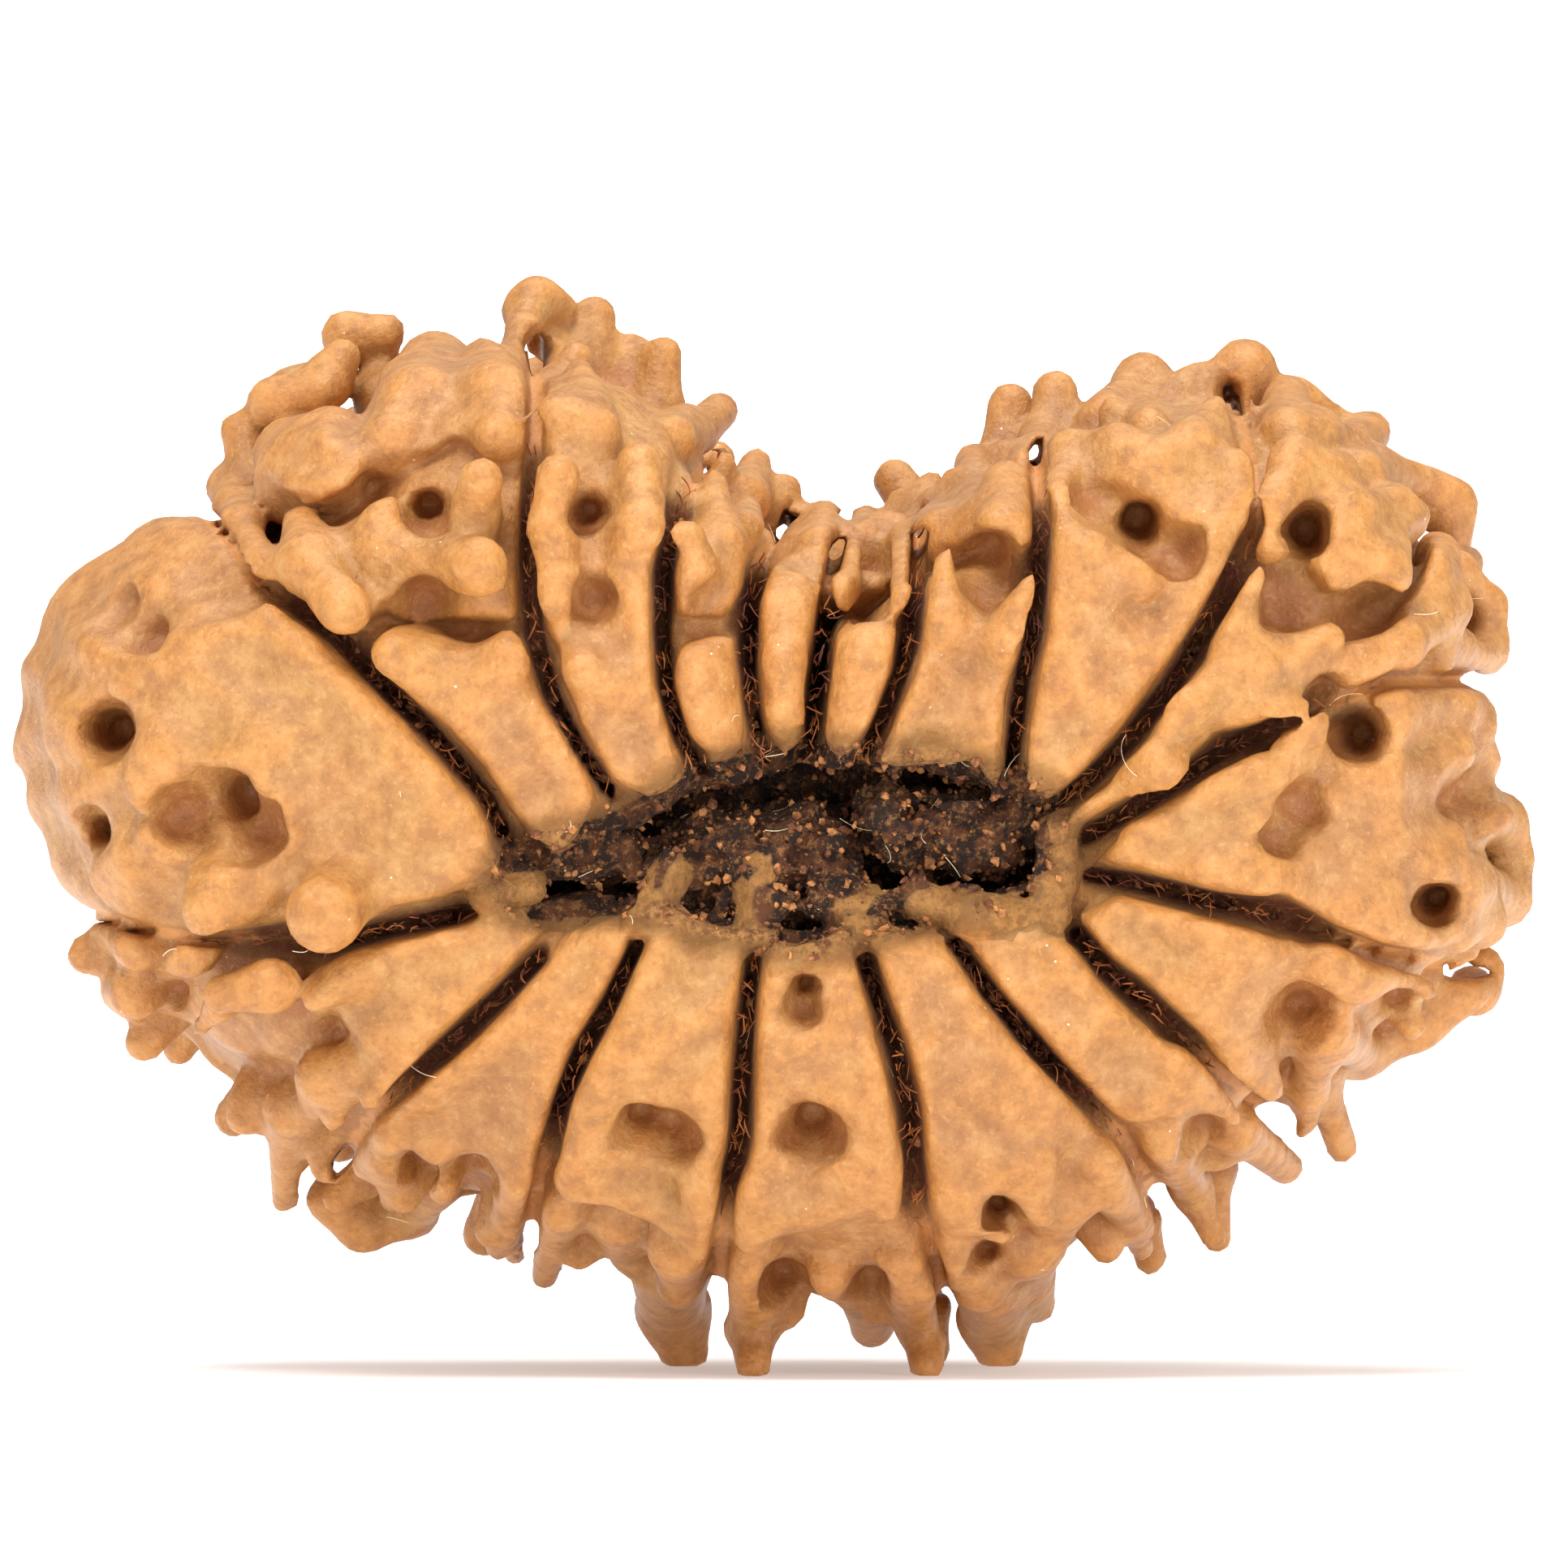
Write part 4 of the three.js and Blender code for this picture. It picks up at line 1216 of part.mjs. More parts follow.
  toGeometry() {
    const order = new Map();
    const positions = [];
    const index = [];
    for (let f = 0; f < this.live.length; f += 1) {
      for (let n = 0; n < 3 && this.live[f]; n += 1) {
        const v = this.faces[3 * f + n];
        if (!order.has(v)) {
          order.set(v, positions.length / 3);
          const [x, y, z] = this.positions.slice(3 * v, 3 * v + 3);
          positions.push(x, y, Math.abs(z) < FLAT ? 0 : z);
        }
        index.push(order.get(v));
      }
    }
    const geometry = new THREE.BufferGeometry();
    geometry.setAttribute("position", new THREE.Float32BufferAttribute(positions, 3));
    geometry.setIndex(index);
    return geometry;
  }
}

const field = new Field(BOX.low, BOX.high, CELL);
field.change(BOX.low, BOX.high, (value, x, y, z) => bodyAt(x, y, z) + grooveAt(x, z, y > 0).drop);
addPlates(field);
addHiddenRelief(field);
addFaceRelief(field);
cutClefts(field);
cutPits(field);
openMouth(field);
// The feet are worn flat where they meet the ground, half-way between two layers of samples.
field.change(BOX.low, BOX.high, (value, x, y, z) => Math.max(value, -z));

const thinner = new Thinner(relax(keepLargest(polygonise(field))));
thinner.thin(TRIANGLES);
const geometry = thinner.toGeometry();
geometry.computeBoundingBox();
const middle = geometry.boundingBox.getCenter(new THREE.Vector3());
geometry.translate(-middle.x, -middle.y, 0);
geometry.computeVertexNormals();

const wood = new THREE.MeshStandardMaterial({ color: 0xc08c54, roughness: 0.55, metalness: 0 });
const bead = new THREE.Mesh(geometry, wood);
bead.name = "bead";

const group = new THREE.Group();
group.name = "rudraksha_bead";
group.add(bead);

export default group;
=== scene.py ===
"""A many-faced rudraksha bead: the woody stone of a fruit, standing on its lowest spines, mouth forwards.

The bead's solid is replaced by a finer piece that is grown from the same outline, clefts, knobs and pits.
Curly bark fibres lie in its clefts, crumbs of dried pith in its mouth and a little lint on its wood. Sizes
in the tables are in millimetres, as in the part's source; MM brings them to metres.
"""

import logging
import math
from collections.abc import Callable
from dataclasses import dataclass, field
from enum import Enum

import bpy
import numpy as np
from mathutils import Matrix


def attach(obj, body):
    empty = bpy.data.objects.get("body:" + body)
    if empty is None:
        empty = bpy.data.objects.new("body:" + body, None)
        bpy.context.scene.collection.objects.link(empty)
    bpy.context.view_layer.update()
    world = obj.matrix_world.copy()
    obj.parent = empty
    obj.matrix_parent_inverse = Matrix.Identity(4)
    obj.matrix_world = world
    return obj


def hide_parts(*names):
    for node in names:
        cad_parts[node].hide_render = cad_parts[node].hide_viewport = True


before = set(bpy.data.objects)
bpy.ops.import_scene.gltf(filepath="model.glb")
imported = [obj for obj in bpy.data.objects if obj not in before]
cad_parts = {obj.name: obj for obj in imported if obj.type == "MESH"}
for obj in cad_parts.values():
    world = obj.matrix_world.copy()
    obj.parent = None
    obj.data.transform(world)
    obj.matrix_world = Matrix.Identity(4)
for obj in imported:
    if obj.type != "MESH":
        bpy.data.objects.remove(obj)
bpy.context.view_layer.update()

Array = np.ndarray
LOG = logging.getLogger("rudraksha")
MM = 0.001
BODY = "root"
NODE = "bead"

# Driving dimensions, as in the part's source.
HALF_DEPTH = 10.2
BULGE = 2.6
CENTRE = (0, 12.8)
CLEFT_DEPTH = {"face": 2.6, "rim": 0.6}
CLEFT_HALF_WIDTH = {"mouth": 0.16, "middle": 0.21, "rim": 0.13}
CLEFT_FLARE = {"top": 1.4, "slope": 0.35, "floor": 0.2}
GROUND_DROP = {"mouth": 0.9, "middle": 1.35, "rim": 0.35}
PLATE = {"edge": 0.35, "web": 0.3, "rim": 0.16, "strip": 0.3, "fade": 1.1, "spread": 0.08}
PIT_TAPER = {"top": 1.25, "floor": 0.65}
MOUTH_DIP = {"depth": 1.3, "reach": 3.2}
BACK_PULL = {"gain": 0.9, "reach": 4.5}
SWELL = {"height": 0.18, "wave": 1.8}
FADE = {"mouth": [0.3, 0.55], "rim": [0.55, 0.88], "groundMouth": [0.4, 0.75], "groundRim": [0.92, 1.02]}
PIT_WOBBLE = {"height": 0.11, "wave": 2.9}
HIDDEN_KNOB = {"root": 0.6, "taper": 0.75}
CLEFT_REACH = 0.4
SHOULDER = 0.3
MOUTH_DEPTH = 5.5
WEB = 0.5
FULLNESS = 1.12
PIT_EDGE = 0.4
PITH_EDGE = 0.2
PITH_HALF_DEPTH = 3.2
PITH_BULGE = 3
SMOOTH_TURN = 20
ROOT = 2.6
SEED = 17
LOWEST_KNOB = 0.3
ROUGH_RADIUS = 12
PIT_CLEARANCE = 2
SKIN_REACH = 5
RELAX_STEPS = (0.5, -0.52, 0.5, -0.52, 0.5, -0.52, 0.5, -0.52)

# How far each segment stands above the common face, clockwise from the left one.
SEGMENT_LIFT = [0.3, 0.1, 0.2, 0, -0.2, -0.1, 0.1, 0.2, 0.1, 0.3, 0, 0, 0.1, 0.2, 0.1, 0, -0.1]

# The body's outline seen from the face, without its knobs: x and z, anticlockwise from the right.
OUTLINE = [
    [17.2, 12.4], [16.9, 15.5], [16.5, 18.4], [15.5, 20.9], [13.7, 22.8], [11.3, 23.9], [8.8, 23.7],
    [6.7, 22.9],
    [5.2, 22], [3.8, 21.1], [2.2, 20.6], [0.8, 20.6], [-0.6, 21.2], [-1.9, 22.3], [-3.3, 23.7], [-5.1, 24.7],
    [-7.2, 24.8], [-9.5, 24.1], [-11.5, 22.8], [-13.2, 21.1], [-15.2, 21], [-17.1, 19.8], [-18.5, 17.4],
    [-18.6, 14.9],
    [-17.9, 12.6], [-17, 10.8], [-16.6, 9.2], [-14.8, 8], [-13.1, 6.6], [-11.4, 5.5], [-9.4, 4.8], [-7, 3.7],
    [-4.5, 3], [-2, 2.2], [0.8, 1.9], [3.2, 1.8], [5.5, 2.1], [7.5, 3.2], [9.5, 4.6], [11.5, 6], [13.2, 7.4],
    [15, 8.5], [16.7, 9.9],
]

# The clefts between the segments, each from the mouth out past the rim: x and z.
CLEFTS = [
    [[-6.6, 12.9], [-7.2, 14.2], [-8.5, 15.7], [-9.7, 16.9], [-10.9, 18.1], [-12.6, 19.3], [-14.6, 21.6]],
    [[-4.2, 14.3], [-4.9, 15.3], [-5.6, 16.6], [-6, 18], [-6.15, 20], [-6.05, 22], [-6, 23.8], [-6.3, 26.4]],
    [[-2, 14.9], [-2.5, 15.6], [-2.85, 16.8], [-2.95, 18.2], [-2.9, 19.6], [-2.7, 20.7], [-2.3, 21.7],
      [-0.9, 24]],
    [[-0.5, 15.1], [-0.75, 16.2], [-0.9, 17.5], [-0.85, 18.8], [-0.6, 19.9], [-0.1, 20.9], [0.7, 22.4]],
    [[0.65, 15.2], [0.75, 16.5], [0.95, 18], [1.1, 19.2], [1.3, 20.2], [1.6, 22.2]],
    [[1.8, 15], [2.35, 16], [2.85, 17.2], [3.1, 18.3], [3.25, 19.4], [3.35, 20.6], [3.3, 22.6]],
    [[5.45, 14.7], [5.6, 15.8], [5.75, 17], [6.05, 18.2], [6.15, 19.4], [6.25, 20.6], [6.2, 21.8], [6, 24.4]],
    [[6.6, 14], [7.4, 14.6], [8.3, 15.5], [9.4, 16.9], [10.3, 18.4], [10.9, 19.6], [11.45, 20.8], [11.4, 22],
      [10.9, 25]],
    [[7.3, 13.2], [8.3, 13.8], [9.6, 14.6], [10.8, 15.4], [11.9, 15.9], [13.2, 16.4], [14.8, 17], [18.6, 17]],
    [[7.4, 12.3], [8.6, 12.1], [10, 11.75], [11.5, 11.45], [13, 11], [14.4, 10.45], [16, 10.1], [18.6, 9.4]],
    [[7.05, 10.9], [7.8, 10], [8.8, 9.2], [9.8, 8.3], [10.6, 7.5], [11.4, 6.8], [13.4, 5.4]],
    [[4.1, 10.7], [5, 9.4], [6.2, 8], [7.2, 7], [8.1, 6.1], [8.8, 5], [9.9, 2.8]],
    [[1.9, 10.4], [2.3, 9.2], [2.75, 7.9], [3.05, 6.6], [3.15, 5.4], [3.25, 4.2], [3.7, 2.8], [4.1, 0.6]],
    [[-0.7, 10.5], [-0.9, 8.8], [-1, 7.2], [-1.05, 6], [-1.3, 5], [-1.5, 3.8], [-1.65, 0.8]],
    [[-3.5, 10.7], [-4.2, 9.2], [-4.9, 8], [-5.4, 6.8], [-5.8, 5.4], [-6.1, 4.2], [-6.6, 1.8]],
    [[-5.9, 10.3], [-6.9, 9.3], [-8, 8.3], [-9, 7.4], [-10, 6.5], [-11.8, 3.9]],
    [[-6.8, 11.7], [-8, 11.3], [-9.5, 11], [-11, 10.6], [-12.6, 10.8], [-14.2, 10.7], [-15.8, 11],
      [-18.4, 11.8]],
]

# The mouth as a chain of discs: x, z and radius.
MOUTH = [
    [-6.1, 12.2, 0.5], [-4.2, 12.5, 0.65], [-1.6, 12.9, 1.6], [0.5, 12.9, 2.05], [3.4, 13.2, 1.65],
    [5.2, 13.1, 1.25],
]

# The raised plates of the face: how far each stands above the common face, and its corners, x and z.
PLATES = [
    # First segment: the big smooth one on the left.
    [0.1, [-6.8, 12.5], [-7.1, 13.7], [-8.2, 14.9], [-9.3, 15.9], [-10.3, 17], [-11.5, 18.2], [-12.5, 18.8],
      [-13.6, 18.4], [-15, 18.2], [-16.3, 17.6], [-16.4, 16.7], [-15.8, 16], [-15.9, 15.2], [-15.5, 14.3],
      [-14.8, 14.3], [-14.2, 14.9], [-13.4, 14.9], [-13.35, 14.2], [-12.7, 13.6], [-12.6, 12.9],
      [-13.4, 12.6], [-14.2, 12.4], [-14.4, 11.8], [-14.2, 10.8], [-13.4, 10.6], [-12.8, 11.2], [-12, 11.7],
      [-10.2, 11.4], [-9.2, 11.6], [-8.2, 11.8], [-7.4, 12.2]],
    [-0.35, [-19.5, 10], [-19.5, 20], [-15, 23], [-12.4, 19.6], [-9, 16], [-9, 12], [-12, 11.2], [-14, 10.6]],
    # Second segment: upper left.
    [0.1, [-5.9, 13.1], [-5.1, 12.9], [-4.6, 14], [-4.6, 15.1], [-5.4, 16.1], [-5.95, 17], [-6.1, 17.8],
      [-6.7, 18.1], [-7.3, 17.8], [-8, 17.9], [-8.7, 18.3], [-9.5, 18.2], [-9.9, 17.7], [-9.7, 17],
      [-8.8, 16.4], [-8, 15.8], [-7.2, 14.9], [-6.6, 13.9]],
    [0.4, [-11.9, 20.9], [-11.7, 19.9], [-10.9, 18.6], [-10.3, 18.5], [-9.6, 18.9], [-8.8, 19.3], [-8, 19.3],
      [-7.3, 19.1], [-6.8, 19.3], [-6.8, 20], [-7.2, 20.4], [-7.8, 20.2], [-8.6, 20.2], [-9.2, 20.5],
      [-9.5, 21.2], [-10.1, 21], [-10.9, 20.6], [-11.4, 20.8]],
    [0.8, [-12.8, 22.6], [-12.3, 21.7], [-11.2, 21.4], [-10.2, 21.8], [-10.2, 22.3], [-10.9, 22.9],
      [-11.2, 23.4], [-12.4, 23.3]],
    [0.2, [-9.8, 25.2], [-10.2, 23.6], [-9.6, 22.8], [-8.7, 22.5], [-8, 22.9], [-7, 22.6], [-6.4, 22.5],
      [-6.2, 23.6], [-6.3, 24.7], [-7, 25], [-7.9, 25], [-8.7, 25.4]],
    [-0.3, [-12.4, 21], [-11.4, 19.4], [-9.4, 18.6], [-6.4, 18.4], [-6.3, 24.4], [-8.8, 24.8], [-10.4, 23.6],
      [-12.4, 23.2]],
    # Third segment.
    [-0.15, [-5.8, 19], [-3.2, 19.6], [-2.9, 21.4], [-2.6, 23], [-3.2, 24.2], [-5.8, 24.4]],
    [0.1, [-4.2, 14.6], [-3.2, 14.2], [-2.4, 14.7], [-2.6, 15.6], [-3, 16.9], [-3.1, 18], [-3.2, 19.5],
      [-3.2, 20.3], [-4, 20.3], [-4.3, 19.6], [-4.9, 19.1], [-5.8, 19.2], [-5.9, 18.4], [-5.4, 17.8],
      [-5.2, 16.9], [-4.9, 16], [-4.5, 15.3]],
    # Fourth segment.
    [0.2, [-2.3, 15.7], [-1.7, 15.1], [-1.1, 15.4], [-0.9, 16.2], [-1.1, 17.3], [-1.2, 18], [-1.7, 18],
      [-2.4, 17.8], [-2.8, 17.1], [-2.7, 16.3]],
    [0, [-2.6, 18.6], [-1.4, 18.6], [-1, 19.2], [-0.9, 20.3], [-1.4, 20.9], [-2.2, 20.7], [-2.6, 20.1],
      [-2.75, 19.4]],
    # Fifth and sixth segments: the short ones in the notch.
    [0.2, [-0.6, 15.9], [0.1, 15.3], [0.6, 15.6], [0.7, 17], [0.85, 18.4], [1.1, 19.6], [1.1, 20.2],
      [0.3, 20.1], [-0.3, 19.8], [-0.65, 18.8], [-0.7, 17.2]],
    [0.3, [1, 15.8], [1.2, 15.2], [1.7, 15.1], [2.1, 15.7], [2.6, 16.6], [2.8, 17.4], [2.8, 18.1],
      [2.5, 18.7], [2.1, 18.2], [1.5, 18.4], [1.1, 18], [1, 17]],
    # Seventh segment.
    [0.1, [2.4, 15.1], [2.7, 14.6], [3.5, 15], [4.3, 15.1], [4.8, 15], [5, 14.6], [5.4, 14.8], [5.3, 15.6],
      [5.3, 16.6], [5.6, 17.4], [5.8, 18.4], [5.95, 19.2], [5.7, 19.4], [5.4, 18.8], [4.9, 18.5], [4.5, 18.8],
      [4.3, 19.5], [3.6, 19.5], [3.3, 19.3], [3.3, 18], [3.1, 17], [2.7, 16.2]],
    [0.1, [3.4, 20.4], [4.1, 20.3], [4.8, 20.6], [5.2, 20.1], [5.9, 20.1], [6, 21], [6, 22], [5.4, 22.1],
      [4.9, 21.8], [4, 21.8], [3.5, 21.3]],
    # Eighth segment: upper right.
    [0.1, [5.9, 14.5], [6.6, 14], [7.2, 14.6], [8, 15.6], [9, 17], [9.9, 18.4], [10.5, 19.5], [11.1, 20.6],
      [11.35, 21.5], [11.1, 22.6], [10.9, 23.3], [10.5, 23.9], [10.1, 23.5], [9.6, 23], [8.7, 22.8],
      [7.9, 22.9], [6.9, 22.7], [6.5, 22.2], [6.4, 21], [6.25, 19], [6.3, 18], [6.1, 16.8], [5.9, 15.8]],
    # Ninth segment: a narrow strip from the mouth that fans out to the upper right.
    [0.2, [6.7, 13.3], [7.6, 13.7], [8.6, 14.2], [9.4, 14.3], [9.9, 15.2], [10.4, 15.8], [11.5, 15.8],
      [12.2, 16.4], [12.7, 17.2], [13.5, 18.1], [13.2, 18.4], [12.2, 18], [11.5, 18.3], [11.5, 19.3],
      [11.2, 19.2], [10.9, 18.5], [10.4, 17.6], [9.6, 16.8], [9, 16], [8.5, 15], [7.7, 14.4], [6.9, 13.9]],
    [0.5, [11.9, 21], [12.1, 22.3], [12.5, 22.9], [13, 22.6], [13.8, 22.2], [13.9, 21.2], [14.6, 21.6],
      [15, 21.5], [15.55, 21], [15.2, 20.4], [15.1, 19.6], [14.6, 19], [13.9, 18.9], [13.2, 19.2],
      [12.9, 19.8], [12.4, 20], [11.9, 20.2]],
    [0.3, [13, 17.2], [14, 17.1], [15.3, 17.7], [16.3, 18.3], [16.7, 19], [16.4, 20.3], [15.9, 20.5],
      [15.6, 19.5], [15.2, 18.9], [14.6, 18.4], [13.9, 17.9]],
    # Tenth segment: the broad right one.
    [0.1, [7.7, 12.7], [8.6, 13.5], [10, 14.4], [11.4, 15.1], [12.2, 15], [12.2, 16.2], [13, 16.4],
      [14, 16.9], [15.5, 17.1], [17, 16.7], [17.6, 15.9], [17.6, 15], [16.3, 14.9], [16, 14.3], [16.2, 13.5],
      [16.7, 12.8], [17.3, 12.1], [17.5, 11.1], [16.5, 10.7], [15.6, 10.4], [14.3, 10.6], [13, 11.3],
      [12, 11.9], [10.5, 11.8], [9.2, 12], [8.2, 12.4]],
    # Eleventh segment.
    [0.2, [7.1, 11.2], [8.2, 11.8], [9.6, 11.4], [11, 11], [12.6, 10.6], [14, 10], [15.4, 9.7], [15.7, 9.3],
      [15.2, 9.15], [14, 9.15], [13.2, 9.3], [12.6, 9.5], [12.1, 9.1], [11.9, 8.3], [12.05, 7.3],
      [11.95, 6.85], [11.4, 6.95], [10.7, 7.8], [9.7, 8.8], [8.6, 9.8], [7.6, 10.4]],
    [-0.5, [12, 9.3], [12, 7.3], [12.1, 6.7], [12.8, 6], [13, 6.3], [13.1, 7.6], [13.3, 8.5], [14.2, 9],
      [13.2, 9.5]],
    # Twelfth segment.
    [0.1, [4.5, 10.5], [5.2, 9.4], [6.1, 8.3], [7, 7.2], [7.9, 6.3], [8.6, 6.3], [9.3, 6.4], [10, 6.2],
      [10.7, 6.1], [10.9, 6.4], [10.3, 7.3], [9.3, 8.1], [8.4, 8.9], [7.6, 9.8], [7.05, 10.6], [5.8, 10.9]],
    [-0.6, [8.2, 6.1], [8.8, 5.1], [9.4, 4.3], [10.2, 3.3], [10.7, 3.3], [10.4, 4.2], [10.2, 5.2], [11, 5.2],
      [11.9, 4.8], [12.7, 4.7], [12.6, 5.2], [12.1, 6], [11.6, 6.7], [11, 6.6], [10, 6.2]],
    # Thirteenth segment.
    [0.1, [2, 10.8], [2.5, 9.3], [2.95, 8], [3.2, 6.7], [3.35, 5.4], [3.55, 4.2], [3.9, 3.4], [4.5, 3.6],
      [5.3, 3.2], [5.5, 3.5], [5, 4.1], [5.3, 4.3], [5.8, 3.9], [6.2, 3.6], [6.6, 3.9], [7, 4.4], [7.5, 4.4],
      [8.2, 3.7], [8.65, 3.4], [8.85, 3.7], [8.5, 4.7], [7.8, 5.9], [6.9, 6.9], [6, 7.9], [5.1, 9],
      [4.3, 10.2], [3.6, 10.9]],
    [-0.4, [3.8, 3.5], [4, 2.6], [4.5, 1.9], [5.3, 1.4], [5.9, 1.6], [6.1, 1.9], [6.6, 2.2], [6.9, 2.9],
      [6.2, 3.3], [5, 3.4]],
    # Fourteenth segment: bottom middle.
    [0.1, [-0.5, 10.7], [-0.72, 9.2], [-0.75, 7.2], [-0.75, 5.9], [-1, 4.8], [-1.15, 3.7], [-0.8, 3.25],
      [0, 3.6], [1, 3.7], [1.8, 4], [2.4, 4.05], [2.75, 4.4], [2.8, 5.3], [2.65, 6.5], [2.35, 7.8], [2, 9.3],
      [1.75, 10.4], [1.3, 10.9], [0.8, 10.7], [0, 10.7]],
    [-0.6, [-1.3, 3.4], [-1.35, 2.4], [-1.1, 1.5], [-0.6, 1.2], [-0.1, 1.7], [0.5, 1.7], [1.1, 1.5],
      [1.6, 1.1], [2.4, 1.2], [2.6, 1.4], [3, 1], [3.5, 1], [3.55, 2], [3.3, 3.5], [2.9, 4.2], [1, 4]],
    # Fifteenth segment.
    [0.1, [-3.3, 10.9], [-3.9, 9.6], [-4.5, 8.3], [-5.05, 7.1], [-5.3, 5.9], [-5.45, 5], [-5.2, 4.5],
      [-4.6, 4.4], [-3.8, 4.25], [-3.2, 3.9], [-2.7, 3.6], [-2.35, 3.2], [-2.1, 3.1], [-1.95, 3.3],
      [-1.7, 4.4], [-1.35, 5.6], [-1.25, 7.2], [-1.15, 8.8], [-0.95, 10.2], [-1, 11], [-1.7, 11],
      [-2.5, 11.6]],
    [-0.9, [-5.6, 4.6], [-5.6, 3.6], [-4.8, 3], [-4, 2.9], [-3.4, 2.5], [-2.9, 2.2], [-2.2, 2], [-1.9, 2.8],
      [-1.9, 3.8], [-4, 4.6]],
    # Sixteenth segment.
    [0, [-5, 11], [-5.7, 10.4], [-6.7, 9.2], [-7.6, 8.2], [-8.8, 7.2], [-9.9, 6.3], [-10.45, 5.5],
      [-10.35, 4.9], [-9.95, 4.6], [-9.75, 4], [-9.45, 4], [-9.15, 4.9], [-8.9, 5.4], [-8.5, 5.3],
      [-8.1, 5.1], [-7.4, 5.2], [-6.95, 4.8], [-6.9, 3.8], [-7.3, 3.2], [-7.1, 2.8], [-6.7, 3.2], [-6.2, 4.4],
      [-5.7, 6], [-5.2, 7.3], [-4.5, 8.7], [-3.7, 10.4], [-4.2, 11.2]],
    # Seventeenth segment: lower left.
    [0.1, [-5.9, 10.9], [-6.7, 11.5], [-8.3, 11.1], [-10.2, 10.5], [-11.4, 9.9], [-11.55, 9.3], [-11.3, 8.9],
      [-10.8, 9], [-10.3, 8.3], [-10.15, 7.5], [-10.25, 7], [-9.9, 6.7], [-9.4, 6.9], [-8.2, 8.1], [-7, 9.4]],
]

